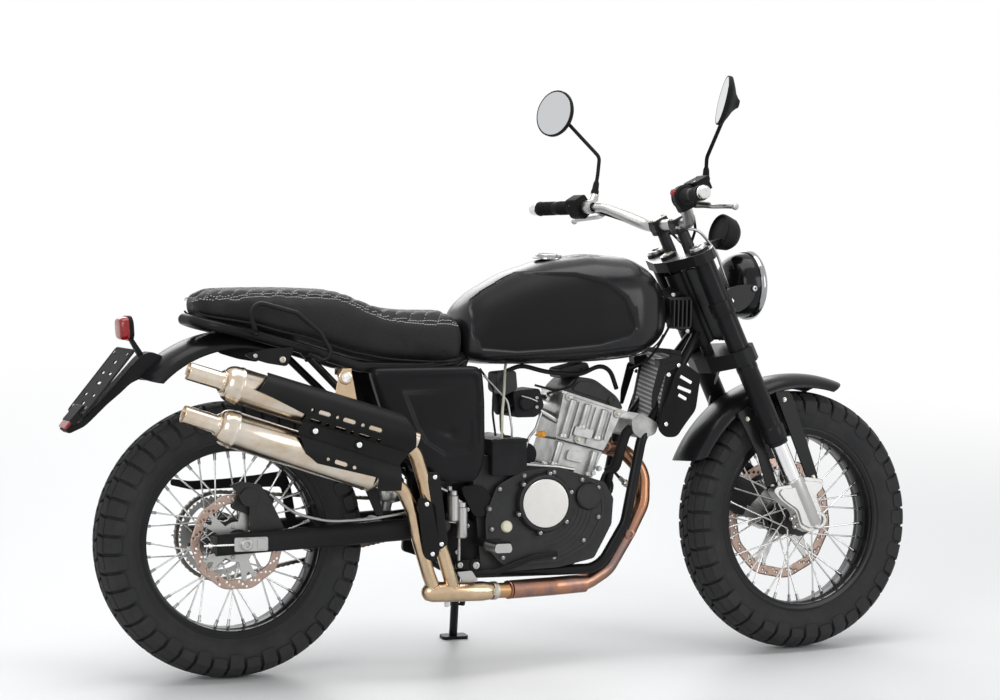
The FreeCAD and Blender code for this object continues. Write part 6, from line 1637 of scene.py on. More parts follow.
def guardShape(size, thickness=2.6):
    # an arch: its radius falls off to the sides as a power of the distance, its ends round off
    u = np.linspace(0, 1, 90)
    v = np.linspace(-1, 1, 41)
    low, high = np.radians(size["span"])
    across = v[None, :]
    trimEnd = 0.055 * np.abs(across) ** 3
    turn = low + (high - low) * (u[:, None] * (1 - 2 * trimEnd) + trimEnd)
    side = size["half"] * np.sin(across * math.pi / 2 * 0.97)
    fall = size["low"] * (1 - np.cos(across * math.pi / 2 * 0.97)) ** 1.15
    layers = []
    for skin in (0.0, thickness):
        radius = size["radius"] - fall - skin
        y = side * (1 - skin / size["half"])
        layers.append(np.stack([size["centre"][0] + radius * np.cos(turn), y + 0 * turn,
                                size["centre"][2] + radius * np.sin(turn)], -1))
    shape = Shape().grid(layers[0]).grid(layers[1][:, ::-1])
    for edge in (0, -1):
        pair = np.stack([layers[0][edge], layers[1][edge]])
        shape.grid(pair if edge else pair[::-1])
        pair = np.stack([layers[0][:, edge], layers[1][:, edge]])
        shape.grid(pair[::-1] if edge else pair)
    return shape


def addGuards(sizes):
    # the guard over the rear tyre
    rear = guardShape(sizes["rear"])
    build("rearGuard", rear, "tankBlack", replaces=["rear_fender"], sharp=50)


addTank(tank)
addSideCovers(covers)
addGuards(guards)
addSeat(seatSize)
print("bodywork ready")
# fork, bars and lamps, in the fork's own frame

fork = {
    "ahead": 28.0, "side": 98.0,
    "clamp": [(-44, 120), (-30, 126), (6, 112), (52, 112), (84, 92), (97, 82), (92, 68), (62, 60), (60, 8), (44, -18),
              (8, -19), (-14, 6), (-8, 48), (-36, 92)],
}


def addFork(size):
    # black outer tubes with stepped collars over chrome stanchions, in facetted axle clamps
    uppers, chromes, clamps, caps = Shape(), Shape(), Shape(), Shape()
    u, v = size["ahead"], size["side"]
    profile = [(0, 20.8), (0, 27.5), (4, 29), (34, 29), (37, 27.6), (40, 25.6), (188, 25.5), (190, 26.4), (200, 26.4),
               (202, 25.5), (238, 25.4), (507, 25.4), (511, 24), (511, 0.01)]
    uppers.lathe(profile, (u, v, 224), (0, 0, 1), 48)
    caps.lathe([(0, 21), (5, 20.6), (7, 18.6), (7, 12.4), (4.6, 12), (4.6, 0.01)], (u, v, 735), (0, 0, 1), 40)
    caps.hexBolt((u, v, 739), (0, 0, 1), 15, 7)
    chromes.turned([(0, 20.4), (180, 20.4)], (u, v, 60), (0, 0, 1), 40)
    uppers.lathe([(0, 20.6), (0, 24.6), (9, 25.4), (12, 23.4), (12, 20.6)], (u, v, 213), (0, 0, 1), 40)
    body = roundedOutline(size["clamp"], 9, 5)
    clamps.plate(body, v - 15, v + 17)
    inner = (body - [32, 50]) * 0.86 + [32, 50]
    clamps.plate(inner, v - 21, v + 22)
    clamps.turned([(0, 25), (4, 27), (122, 27), (126, 24)], (u, v, -6), (0, 0, 1), 44)
    clamps.turned([(0, 23), (42, 23), (45, 21), (45, 12), (34, 11.6)], (40, v - 22, 0), (0, 1, 0), 40)
    for w in (12, 34):
        clamps.turned([(0, 7.5), (26, 7.5)], (-16, v + 4, w), (1, 0, 0), 20)
    for shape in (uppers, chromes, clamps, caps):
        shape.mirrored()
    build("forkUppers", uppers, "frameBlack", "fork", replaces=["fork_tubes"], sharp=32)
    build("forkChrome", chromes, "chrome", "fork", replaces=["fork_sliders"], sharp=32)
    build("forkClamps", clamps, "satinAlloy", "fork", sharp=30, bevel=1.4, bevelSteps=3)
    build("forkCaps", caps, "satinAlloy", "fork", sharp=35)
    bolts = Shape()
    for w in (12, 34):
        bolts.capBolt((-19, v + 4, w), (-1, 0, 0), 5.0, 5)
    bolts.mirrored()
    build("pinchBolts", bolts, "zinc", "fork", sharp=35)


frontGuardSize = {"face": 75.5, "stay": 5.2, "half": 66.0}


def addFrontGuard(size):
    # the arch with its flat stays, each a rounded outline against the inner face of a leg's clamp
    shape = guardShape(guards["front"])
    stays, bolts = Shape(), Shape()
    face = size["face"]
    for side, foot in ((-1, -20), (1, 30)):
        low, high = sorted((side * (face - size["stay"]), side * face))
        back = [(-32, 326), (6, 326), (4, 206), (foot + 16, 124), (foot + 16, 104), (foot - 16, 110), (-24, 206)]
        ahead = [(88, 324), (130, 302), (110, 88), (104, 68), (78, 70)]
        stays.roundPlate(back, 8, low, high).roundPlate(ahead, 8, low, high)
        tabs = sorted((side * (size["half"] - 4), side * (face - 1)))
        stays.plate([(-30, 312), (6, 310), (6, 324), (-30, 324)], *tabs)
        stays.plate([(90, 309), (125, 298), (128, 309), (93, 322)], *tabs)
        for u, w in ((-12, 300), (104, 296), (96, 88), (foot, 120)):
            bolts.hexBolt((u, side * face, w), (0, side, 0), 8, 5)
    build("frontGuard", shape, "tankBlack", "fork", replaces=["front_fender"], sharp=50)
    build("guardStays", stays, "frameBlack", "fork", sharp=35, bevel=0.8)
    build("stayBolts", bolts, "zinc", "fork", sharp=35)


bars = {
    "line": [(36, 0, 800), (36, 95, 800), (-8, 190, 876), (-36, 238, 892), (-72, 390, 912)],
    "radius": 11.0, "middle": 14.3, "housing": {1: 23.0, -1: 29.0}, "leverAhead": (0.73, 0.0,
            -0.68), "gripLength": 122.0, "gripRadius": 16.5,
}


def barEnd(size, side):
    # the last point of the bar on one side and the way it runs there
    end, before = np.array(size["line"][-1], float), np.array(size["line"][-2], float)
    along = (end - before) / np.linalg.norm(end - before)
    return end * [1, side, 1], along * [1, side, 1]


def addBars(size):
    # a bar that is thick in its clamps and tapers before the first bend
    half = resampled(roundedPath(size["line"], 60, 5), 5.0)
    thick = np.interp(np.abs(half[:, 1]), [0, 140, 205], [size["middle"], size["middle"], size["radius"]])
    whole = np.concatenate([half[::-1] * [1, -1, 1], half[1:]])
    sizes = np.concatenate([thick[::-1], thick[1:]])
    build("bar", carried(whole, ring(1.0, 28), scale=sizes, up=(1, 0, 0)), "satinAlloy", "fork",
          replaces=["handlebar"], sharp=50)
    rubber, chrome = Shape(), Shape()
    length, radius = size["gripLength"], size["gripRadius"]
    t = np.linspace(9, length - 7, 240)
    ribs = radius + 0.9 * np.clip(np.sin(t * 2 * math.pi / 4.2) * 1.6, -1, 1)
    ribs = np.where((t > 48) & (t < 66), radius + 0.4, ribs)
    profile = np.concatenate([[(0, 11), (0, 21), (4.5, 21), (7.5, 18)], np.stack([t, ribs], 1),
                              [(length - 4, 18.4), (length, 17.6), (length, 11)]])
    for side in (1, -1):
        end, along = barEnd(size, side)
        rubber.lathe(profile, end - along * length, along, 40)
        chrome.turned([(0, 13.6), (3, 16), (18, 16.2), (23, 14.5), (26, 11), (26, 5), (22, 4.6)], end + along * 0.4,
                      along, 40)
    build("barGrips", rubber, "plainRubber", "fork", replaces=["grips"], sharp=40)
    build("barWeights", chrome, "polished", "fork", sharp=40)


def addBarControls(size):
    # housings, perches, levers with ball ends, the master cylinder and its cap
    black, silver, red = Shape(), Shape(), Shape()
    length = size["gripLength"]
    for side in (1, -1):
        end, along = barEnd(size, side)
        inner = end - along * (length + 2)
        big = size["housing"][side]
        black.lathe([(0, 11.5), (0, big - 3), (3, big), (15, big + 0.5), (16.5, big - 0.4), (18, big + 0.5),
                     (33, big), (38, big - 5), (38, 11.5)], inner - along * 38, along, 40)
        block = roundedOutline([(-26, -30), (14, -30), (20, -8), (20, 20), (-10, 28), (-26, 16)], 7)
        black.join(aimed(plate(block, 0, 34, "z"), inner - along * 37, along, 90))
        root = inner - along * 52
        silver.lathe([(0, 11.2), (0, 16), (3, 17), (23, 17), (26, 16), (26, 11.2)], inner - along * 66, along, 36)
        ahead = np.array(size["leverAhead"], float)
        lug = roundedOutline([(10, -15), (46, -11), (50, 0), (46, 10), (10, 14)], 6)
        tilt = turnMatrix((0, 1, 0), math.degrees(math.atan2(-ahead[2], ahead[0])))
        silver.join(plate(lug, -7, 6.5, "z"), [tilt], [root])
        path = [root + ahead * 42, root + ahead * 62 + [0, side * 46, 0], end + ahead * 92 - [0, side * 30, 0],
                end + ahead * 100 - [0, side * 8, 0]]
        line = resampled(roundedPath(path, 40), 5.0)
        flat = ring(7.6, 18) * [1.0, 0.9]
        grow = np.interp(np.linspace(0, 1, len(line)), [0, 0.15, 0.8, 1], [1.5, 1.15, 0.85, 0.75])
        silver.carried(line, flat, scale=grow, up=(0, 0, 1))
        ball = np.linspace(-math.pi / 2, math.pi / 2, 12)
        silver.lathe(np.stack([np.sin(ball) * 8, np.cos(ball) * 8 + 0.01], 1), line[-1], (0, side, 0), 20)
        silver.capBolt(root + ahead * 42 + tilt @ [0, 0, 6.5], tilt @ [0, 0, 1], 6, 4)
        for turn in (0, 1):
            black.capBolt(inner - along * (12 + 14 * turn) + np.array([0, 0, -19.0]), (0, 0, -1), 3, 4)
        button = inner - along * 20 + np.array([-0.72, 0, 0.69]) * (big + 3)
        red.turned([(-6, 8.4), (4.5, 7.8), (6, 6)], button, (-0.72, 0, 0.69), 20)
        black.boxShape(inner - along * 26 + [-25, -6, -8], inner - along * 26 + [-17, 6, 1])
        if side < 0:
            cup = roundedOutline([(14, -60), (58, -60), (58, -12), (14, -12)], 8)
            black.join(plate(cup, -2, 27, "z"), None, [root])
            black.join(roundPlate([(12, -62), (60, -62), (60, -10), (12, -10)], 9, 27, 30, "z"), None, [root])
            for corner in ((18, -56), (54, -16)):
                silver.capBolt(root + [corner[0], corner[1], 30], (0, 0, 1), 3, 2)
    build("switchHousings", black, "darkPlastic", "fork", replaces=["bar_controls"], sharp=35, bevel=0.7)
    build("levers", silver, "satinAlloy", "fork", sharp=40)
    build("switchButtons", red, "redLens", "fork", sharp=40)


mirrorSizes = {
    "left": ((49, 350, 1118), (-0.765, -0.319, 0.56)), "right": ((96, -350, 1075), (-0.71, 0.37, 0.60)),
    "leftStem": [(6, 240, 906), (37, 240, 948), (66, 250, 983), (65, 330, 1080)],
    "rightStem": [(35, -240, 899), (57, -250, 952), (82, -335, 1027)],
}


def addMirrors(sizes):
    # dished backs, round glasses and bent stems with ball joints and boots
    shells, glasses, perches = Shape(), Shape(), Shape()
    for name, side in (("left", 1), ("right", -1)):
        place, face = (np.array(value, float) for value in sizes[name])
        face /= np.linalg.norm(face)
        end, along = barEnd(bars, side)
        stem = [np.array(corner, float) for corner in sizes[name + "Stem"]]
        perches.tube([end - along * (bars["gripLength"] + 54), stem[0]], 9.5, 5, 24, 4)
        perches.turned([(-14, 11), (2, 11), (3, 8)], stem[0], stem[1] - stem[0], 28)
        line = resampled(roundedPath(stem + [place - face * 30], 26, 3), 3.0)
        shells.carried(line, ring(4.6, 16), up=(1, 0, 0.2))
        shells.lathe([(0, 0.01), (0, 9.5), (10, 10), (14, 8.4), (30, 7.2), (36, 5)], stem[0], stem[1] - stem[0], 24)
        shells.lathe([(0, 54.5), (-0.6, 57.5), (1, 59), (8, 59), (11, 57), (20, 40), (28, 22), (36, 12), (40, 9),
                      (40, 0.01)], place, -face, 64)
        glasses.lathe([(0, 55.4), (0.8, 54.8), (0.8, 0.01)], place - face * 0.6, face, 64)
    build("mirrorShells", shells, "darkPlastic", "fork", replaces=["mirrors"], sharp=35)
    build("mirrorPerches", perches, "satinAlloy", "fork", sharp=40)
    build("mirrorGlass", glasses, "mirrorGlass", "fork", sharp=40)


lamp = {"ahead": 172.0, "high": 575.0, "radius": 84.0, "shorter": 36.0, "gauge": (190, 0, 699),
        "gaugeFaces": (-0.76, 0, 0.65)}


def addLamps(size):
    # bucket, bright ring, bowl and lens about the lamp's own line, level on the machine
    tilt = math.radians(stance["rake"])
    ahead = np.array([math.cos(tilt), 0, -math.sin(tilt)])
    start = np.array([size["ahead"], 0, size["high"]]) - ahead * 62
    r = size["radius"]
    t = np.linspace(0, 1, 16)[1:]
    bowl = np.stack([52 * t ** 1.7, (r - 4) * np.sqrt(1 - (1 - t) ** 2)], 1)
    back = size["shorter"]
    bucket = np.concatenate([[(0, 0.01)], bowl, [(88 - back, r - 2.5), (92 - back, r - 2.5)]])
    body = lathe(bucket, start, ahead, 80)
    shapes, ears = Shape().join(body), Shape()
    for side in (-1, 1):
        ear = roundedOutline([(46, 600), (70, 612), (100, 606), (128, 596), (140, 584), (128, 562), (96, 548),
                              (66, 548), (46, 560)], 10)
        ears.plate(ear, *sorted((side * 86, side * 92)))
        ears.lathe([(0, 25.6), (0, 29.4), (2, 30), (34, 30), (36, 29.4), (36, 25.6)], (28, side * 98, 562), (0, 0, 1),
                   44)
        ears.turned([(0, 9), (30, 9)], (134, side * 64, 581), (0, side, 0), 24)
    harness = roundedOutline([(42, 486), (66, 486), (62, 600), (60, 680), (44, 680)], 8)
    ears.plate(harness, -30, 30)
    for v in (-26, -9, 10, 27):
        ears.tube([(60, v, 690), (74, v * 0.9, 640), (70, v * 1.1, 560), (58, v * 0.8, 480)], 5.0, 30, 10)
    build("lampEars", ears, "frameBlack", "fork", sharp=35, bevel=0.7)
    build("lampBucket", shapes, "glossBlack", "fork", replaces=["headlamp"], sharp=35, bevel=0.5)
    front = start - ahead * back
    rim = lathe([(90, r - 6), (90, r - 1.5), (93, r + 1.0), (97, r + 1.6), (103, r + 1.0), (106, r - 2), (107, r - 6),
                 (103, r - 8)], front, ahead, 96)
    screws = Shape()
    for side in (-1, 1):
        screws.capBolt((134, side * 92, 581), (0, side, 0), 7, 5)
        screws.hexBolt((28 + 34, side * 92, 581), (0, side, 0), 9, 5)
    build("lampRing", rim.join(screws), "darkChrome", "fork", sharp=40)
    glass = np.stack([106 + 13 * np.sqrt(np.clip(1 - np.linspace(1, 0, 18) ** 2, 0, 1)),
                      (r - 6.5) * np.linspace(1, 0.0002, 18)], 1)
    build("lampGlass", lathe(glass, front, ahead, 80), "lampGlass", "fork", sharp=60)
    bowlIn = np.stack([104 - 56 * np.sqrt(np.clip(1 - np.linspace(1, 0, 20) ** 2, 0, 1)),
                       (r - 8) * np.linspace(1, 0.02, 20)], 1)
    inner = lathe(bowlIn, front, ahead, 72).lathe([(50, 13), (72, 12), (76, 9), (78, 0.01)], front, ahead, 28)
    build("lampBowl", inner, "polished", "fork", sharp=60)
    g = np.array(size["gauge"], float)
    up = np.array(size["gaugeFaces"], float)
    cup = lathe([(-6, 0.01), (-6, 20), (-3, 27), (4, 34), (12, 39.5), (26, 42), (34, 43.6), (40, 44), (42, 43),
                 (42, 40), (36, 39)], g, up, 72)
    stay = roundedOutline([(64, 722), (74, 724), (182, 706), (188, 692), (64, 706)], 5)
    cup.plate(stay, -16, 16)
    build("gaugeCup", cup, "plainPlastic", "fork", replaces=["gauge"], sharp=35)
    build("gaugeRing", lathe([(37, 40), (42, 44.2), (44, 44.2), (46, 42.6), (46, 40.4), (42, 39.6)], g, up, 72),
          "darkPlastic", "fork", sharp=40)
    build("gaugeFace", lathe([(40, 40.4), (40.4, 38), (40.4, 0.01)], g, up, 64), "darkPlastic", "fork", sharp=40)


def addYokes():
    # clamp caps, bolts and the stem's nut on the two bridges
    caps, bolts = Shape(), Shape()
    for side in (-1, 1):
        cap = roundedOutline([(14, 788), (58, 788), (60, 806), (52, 819), (20, 819), (12, 806)], 8)
        caps.plate(cap, *sorted((side * 32, side * 60)))
        caps.lathe([(0, 0.01), (0, 15), (62, 14), (64, 0.01)], (36, side * 46, 726), (0, 0, 1), 32)
        for u in (18, 54):
            bolts.capBolt((u, side * 46, 818), (0, 0, 1), 4.6, 5)
        bolts.capBolt((54, side * 98, 716), (1, 0, 0), 5, 5)
        bolts.capBolt((54, side * 98, 450), (1, 0, 0), 5, 5)
    build("barClamps", caps, "blackCast", "fork", sharp=32, bevel=1.0)
    bolts.hexBolt((0, 0, 729), (0, 0, 1), 26, 12)
    build("yokeBolts", bolts, "zinc", "fork", sharp=35)


addFork(fork)
addFrontGuard(frontGuardSize)
addBars(bars)
addBarControls(bars)
addMirrors(mirrorSizes)
addLamps(lamp)
addYokes()
print("fork, bars and lamps ready")
# the tail: number plate's backing on its curved arm, lamp and reflector

tail = {
    "armTop": [(-150, 742), (-190, 758), (-214, 748), (-300, 655), (-338, 618), (-352, 600), (-380, 596), (-392, 586),
               (-383, 574), (-346, 590), (-330, 604), (-292, 640), (-262, 664), (-238, 686), (-206, 700),
               (-170, 706)],
    "plate": ((-243, 763), (-358, 622)), "plateHalf": 76.0, "lampAt": (-236, 0, 811), "lampHalf": (30.0, 27.0),
}


def addTail(size):
    # the arm as one curved plate with a flange, the backing sheet with real slots, the lens a superellipse dome
    arm = Shape()
    arm.roundPlate(size["armTop"], 10, -24, 24)
    arm.plate([(-236, 786), (-226, 786), (-203, 752), (-214, 746)], -9, 9)
    arm.roundPlate([(-384, 604), (-352, 640), (-340, 632), (-372, 592)], 4, -34, 34)
    build("plateArm", arm, "plainPlastic", replaces=["plate_holder"], sharp=35, bevel=1.2)
    top, low = (np.array([x, 0.0, z]) for x, z in size["plate"])
    down = (low - top) / np.linalg.norm(low - top)
    out = np.array([down[2], 0.0, -down[0]]) * (1 if down[2] < 0 else -1)
    sheet, slots, studs = Shape(), Shape(), Shape()
    half, length = size["plateHalf"], np.linalg.norm(low - top)
    outline = roundedOutline([(0, -half), (length, -half), (length, half), (0, half)], 9)
    basis = np.stack([down, [0, 1, 0], np.cross(down, [0, 1, 0])], 1)
    sheet.join(plate(outline, -1.5, 1.5, "z"), [basis], [top])
    rim = np.column_stack([outline, np.full(len(outline), 0.0)]) @ basis.T + top
    edge = carried(np.concatenate([rim, rim[:2]]), ring(2.6, 8), up=tuple(out))
    build("plateEdge", edge, "plainPlastic", sharp=50)
    for along, side, long, wide in ((38, 0, 22, 9), (70, -30, 26, 7), (70, 30, 26, 7), (98, 0, 34, 8),
                                    (132, -34, 22, 7), (132, 34, 22, 7), (156, 0, 20, 9)):
        hole = roundedOutline([(along - wide / 2, side - long / 2), (along + wide / 2, side - long / 2),
                               (along + wide / 2, side + long / 2), (along - wide / 2, side + long / 2)], 3.2)
        slots.join(plate(hole, -9, 9, "z"), [basis], [top])
    for along, side in ((14, -56), (14, 56), (length - 14, -56), (length - 14, 56)):
        studs.capBolt(top + down * along + [0, side, 0] + out * 1.5, out, 3.6, 2.4)
    build("plateBacking", sheet, "darkPlastic", sharp=35, cuts=slots)
    build("plateStuds", studs, "zinc", sharp=35)
    t = np.linspace(0, 1, 9)
    y, z = size["lampHalf"]
    face = np.array([(np.sign(c) * abs(c) ** 0.55 * y, np.sign(s) * abs(s) ** 0.55 * z) for c, s in
                     zip(np.cos(circle(48)), np.sin(circle(48)))])
    rows = [(-4.0 - 22 * math.sin(k * math.pi / 2), 1.0 - 0.30 * (1 - math.cos(k * math.pi / 2)) ** 1.2) for k in t]
    lens = np.stack([np.column_stack([np.full(48, x), face * k]) for x, k in rows])
    lens = Shape().grid(lens[:, ::-1], closeV=True, capStart=True, capEnd=True)
    build("tailLens", Shape().join(lens, [turnMatrix((0, 1, 0), -4)], [np.array(size["lampAt"], float)]), "redLens",
          replaces=["tail_lamp"], sharp=50)
    back = np.stack([np.column_stack([np.full(48, x), face * k]) for x,
                     k in ((-5, 1.03), (-5, 1.06), (4, 1.04), (7, 0.8))])
    back = Shape().grid(back[::-1][:, ::-1], closeV=True, capStart=True, capEnd=True)
    build("tailShell", Shape().join(back, [turnMatrix((0, 1, 0), -4)], [np.array(size["lampAt"], float)]),
          "darkPlastic", sharp=40)
    foot = low + down * 18
    pad = roundPlate([(0, -30), (30, -30), (30, 30), (0, 30)], 4, -4, 4, "z")
    build("tailReflector", Shape().join(pad, [basis], [foot + out * 3.0]), "redLens", sharp=40, bevel=1.0)
    frameBack = roundPlate([(-3, -33), (33, -33), (33, 33), (-3, 33)], 5, -3, 3, "z")
    build("reflectorFrame", Shape().join(frameBack, [basis], [foot - out * 2.5]), "darkPlastic", sharp=40, bevel=0.8)


# radiator with its core, tanks, hose and slotted shrouds

cooler = {
    "foot": (1062, 0, 566), "tilt": 12.0, "half": 75.0, "high": 170.0,
    "shroud": [(1108, 714), (1155, 682), (1142, 598), (1113, 563), (1092, 534), (1061, 534), (1042, 555), (1048, 579),
               (1089, 690)],
    "slots": [((1100, 681), (1132, 663)), ((1094, 655), (1130, 641)), ((1096, 636), (1118, 624))],
    "tank": [(980, 577), (1006, 594), (1052, 566), (1044, 541), (1006, 530), (984, 546)],
}


def addCooler(size):
    # a latticed core between a black top tank and a cast bottom tank, and crowned shrouds either side
    turn, foot = turnMatrix((0, 1, 0), size["tilt"]), np.array(size["foot"], float)
    core = Shape().join(boxShape((-13, -size["half"], 0), (13, size["half"], size["high"])), [turn], [foot])
    build("coolerCore", core, "coreMesh", replaces=["radiator"], sharp=30)
    frames = Shape()
    for low, high in ((-9, 1), (size["high"] - 2, size["high"] + 10)):
        frames.join(boxShape((-16, -79, low), (16, 79, high)), [turn], [foot])
    for side in (-1, 1):
        frames.join(plate([(-14, 0), (14, 0), (14, 168), (-14, 168)], *sorted((side * 75, side * 90))), [turn],
                    [foot])
    build("coolerFrame", frames, "plainPlastic", sharp=30, bevel=2.0)
    base = roundPlate(size["tank"], 9, -84, 84)
    for y in (-58, -20, 20, 58):
        base.roundPlate([(984, 574), (1007, 590), (1050, 564), (1043, 544), (1006, 533), (987, 548)], 6, y - 1.5,
                        y + 1.5)
    build("coolerTank", base, "castAlloy", sharp=32, bevel=3.0, bevelSteps=3)
    walls, slots, bolts = Shape(), Shape(), Shape()
    walls.roundPlate(size["shroud"], 12, -102, -96, steps=6)
    for (x0, z0), (x1, z1) in size["slots"]:
        along = np.array([x1 - x0, z1 - z0]) / math.hypot(x1 - x0, z1 - z0) * 4
        across = np.array([-along[1], along[0]])
        hole = [(x0 + across[0], z0 + across[1]), (x0 - across[0], z0 - across[1]), (x1 - across[0], z1 - across[1]),
                (x1 + across[0], z1 + across[1])]
        slots.roundPlate(hole, 3, -112, -92)
    walls.mirrored()
    slots.mirrored()
    build("coolerShrouds", walls, "darkPlastic", sharp=35, bevel=2.0, cuts=slots)
    brackets = roundPlate([(1048, 706), (1104, 716), (1100, 700), (1066, 690), (1036, 604), (1028, 604), (1030, 640)],
                          6, -95, -91)
    brackets.roundPlate([(1052, 700), (1100, 712), (1096, 728), (1050, 722)], 5, -92, -60)
    brackets.mirrored()
    build("coolerBrackets", brackets, "frameBlack", sharp=32, bevel=1.0)
    for x, z in ((1072, 684), (1098, 706), (1062, 566)):
        bolts.capBolt((x, -95.5 if z > 600 else -102, z), (0, -1, 0), 5.0, 4.0)
    bolts.mirrored()
    build("coolerBolts", bolts, "chrome", sharp=35)


# hoses, wires and small housings between the tank and the engine

fittings = {
    "hoses": [
        # points, radius, finish, home
        ([(985, -70, 556), (972, -70, 545), (958, -70, 505), (948, -62, 462), (930, -50, 450)], 12.0, "plainRubber",
         "machine"),
        ([(664, -60, 697), (702, -64, 713), (766, -66, 695), (856, -62, 686), (908, -60, 709), (939, -52, 696),
          (960, -40, 650)], 5.5, "plainRubber", "machine"),
        ([(640, -100, 540), (642, -98, 600), (652, -86, 660), (664, -60, 706), (676, -40, 726)], 3.2, "ivory",
         "machine"),
        ([(600, -60, 706), (628, -78, 660), (620, -92, 600), (626, -96, 548)], 2.6, "plainRubber", "machine"),
        ([(606, -70, 690), (660, -88, 630), (668, -96, 560), (666, -92, 520)], 2.6, "braid", "machine"),
        ([(684, -54, 618), (650, -66, 600), (646, -80, 560), (650, -90, 545)], 3.0, "plainRubber", "machine"),
        ([(760, -54, 600), (742, -62, 560), (720, -70, 540), (706, -74, 500)], 3.4, "braid", "machine"),
        ([(740, -60, 664), (790, -72, 650), (830, -76, 660), (862, -60, 700)], 2.8, "plainRubber", "machine"),
        ([(930, -64, 450), (936, -74, 420), (930, -78, 402), (916, -76, 396), (900, -70, 404)], 3.0, "plainRubber",
         "machine"),
        ([(498, -112, 424), (470, -118, 440), (452, -122, 420), (440, -122, 384), (300, -128, 366), (200, -126, 364),
          (120, -112, 385), (70, -96, 430)], 3.5, "braid", "machine"),
        ([(1098, -46, 800), (1060, -50, 742), (1030, -60, 716), (990, -50, 700)], 3.0, "plainRubber", "machine"),
        ([(20, -40, 770), (60, -46, 700), (86, -40, 620), (84, -20, 540), (78, 20, 470), (40, 66, 400), (-8, 98, 330),
          (-18, 99, 250), (-30, 96, 200), (-48, 88, 160), (-62, 80, 140)], 3.5, "braid", "fork"),
        ([(14, -60, 800), (66, -70, 770), (94, -60, 700), (96, -44, 600), (84, -30, 500)], 3.5, "braid", "fork"),
        ([(-28, 214, 884), (6, 170, 852), (40, 120, 810), (62, 60, 776), (60, 20, 740)], 3.2, "plainRubber", "fork"),
        ([(-28, -214, 884), (10, -160, 850), (50, -100, 812), (70, -50, 770), (62, -20, 740)], 3.4, "plainRubber",
         "fork"),
        ([(-20, 216, 872), (0, 150, 838), (26, 90, 800), (50, 30, 770)], 2.6, "plainRubber", "fork"),
    ],
}


def addFittings(size):
    # smooth hoses: a round section carried along a curve eased through its points
    gathered = {}
    for points, radius, finish, home in size["hoses"]:
        line = resampled(stations(points, 60, 5), 5.0)
        hose = carried(line, ring(radius, 14), up=(0, 1, 0))
        gathered.setdefault((home, finish), Shape()).join(hose)
    for (home, finish), shape in gathered.items():
        build(home + "Hoses" + finish[0].upper() + finish[1:], shape, finish, home, sharp=50)
    black, bright, dark = Shape(), Shape(), Shape()
    throttle = roundedOutline([(684, 650), (752, 656), (764, 613), (743, 588), (690, 588)], 8)
    black.plate(throttle, -62, 30)
    black.turned([(0, 24), (8, 26), (34, 26), (36, 20)], (690, -22, 622), (-1, 0, -0.1), 40)
    black.turned([(0, 17), (3, 18), (9, 18), (12, 14)], (716, -62, 622), (0, -1, 0), 40)
    for z in (634, 612):
        bright.capBolt((744, -62, z), (0, -1, 0), 4.0, 3.4)
    bright.tube([(700, -75, 640), (722, -76, 634), (742, -72, 626)], 2.0, 4, 10)
    port = turned([(0, 25), (6, 27), (12, 25), (40, 27), (60, 31), (74, 34), (80, 36)], (752, -8, 622),
                  (0.93, 0, -0.30), 44)
    bright.join(port)
    bright.tube([(752, -44, 606), (780, -46, 590), (806, -48, 574)], 7.5, 10, 20)
    bright.turned([(0, 9), (5, 9), (6, 6)], (790, -36, 640), (-0.3, -0.3, 1), 24)
    box = roundedOutline([(609, 456), (609, 536), (622, 540), (690, 540), (697, 532), (697, 470), (672, 456)], 7)
    black.plate(box, -118, -60)
    black.roundPlate([(606, 534), (700, 534), (700, 542), (606, 542)], 3, -120, -58)
    black.turned([(0, 26), (4, 28), (52, 28), (58, 24)], (716, -10, 500), (0, -1, 0), 44)
    dark.roundPlate([(640, 696), (690, 700), (694, 656), (660, 640), (640, 652)], 8, -66, -10)
    dark.roundPlate([(812, 700), (884, 716), (894, 690), (816, 676)], 8, -40, 30)
    for x in range(5):
        dark.plate([(1100 + x * 11, 796), (1104 + x * 11, 796), (1106 + x * 11, 862), (1102 + x * 11, 862)], -62, -44)
    dark.roundPlate([(1097, 868), (1156, 868), (1153, 790), (1100, 792)], 7, -46, -22)
    bright.capBolt((1106, -46, 874), (0, -1, 0), 5, 3).capBolt((1144, -46, 786), (0, -1, 0), 5, 3)
    for x, z, r in ((688, 470, 6), (706, 466, 5), (728, 474, 6), (760, 476, 5), (792, 470, 6), (884, 452, 5),
                    (900, 462, 5)):
        bright.turned([(0, r + 2), (3, r + 2), (3, r), (12, r)], (x, -70, z), (0, -1, 0), 20)
    bright.tube([(700, -84, 478), (740, -90, 474), (790, -90, 470), (830, -84, 462)], 5.0, 10, 16)
    build("throttleBody", black, "plainPlastic", replaces=["intake"], sharp=32, bevel=1.4)
    build("intakePort", bright, "satinAlloy", sharp=40)
    build("finnedBoxes", dark, "blackCast", sharp=32, bevel=1.0)
    build("plugCap", turned([(0, 8), (16, 8), (18, 6)], (742, -78, 548), (0.5, -0.6, 0.1), 20), "orangePlastic",
          sharp=40)
    probe = turned([(0, 8), (6, 9), (6, 6.5), (24, 6.5), (25, 8.5), (34, 8.5), (36, 6), (52, 5.4)], (1004, -36, 404),
                   (-0.75, -0.25, 0.62), 24)
    build("exhaustProbe", probe, "zinc", sharp=35)
    lead = stations([(962, -50, 438), (940, -66, 456), (914, -74, 452), (902, -72, 420)], 40, 4)
    build("probeLead", carried(lead, ring(3.6, 12), up=(0, 1, 0)), "plainRubber", sharp=50)


# controls at the foot

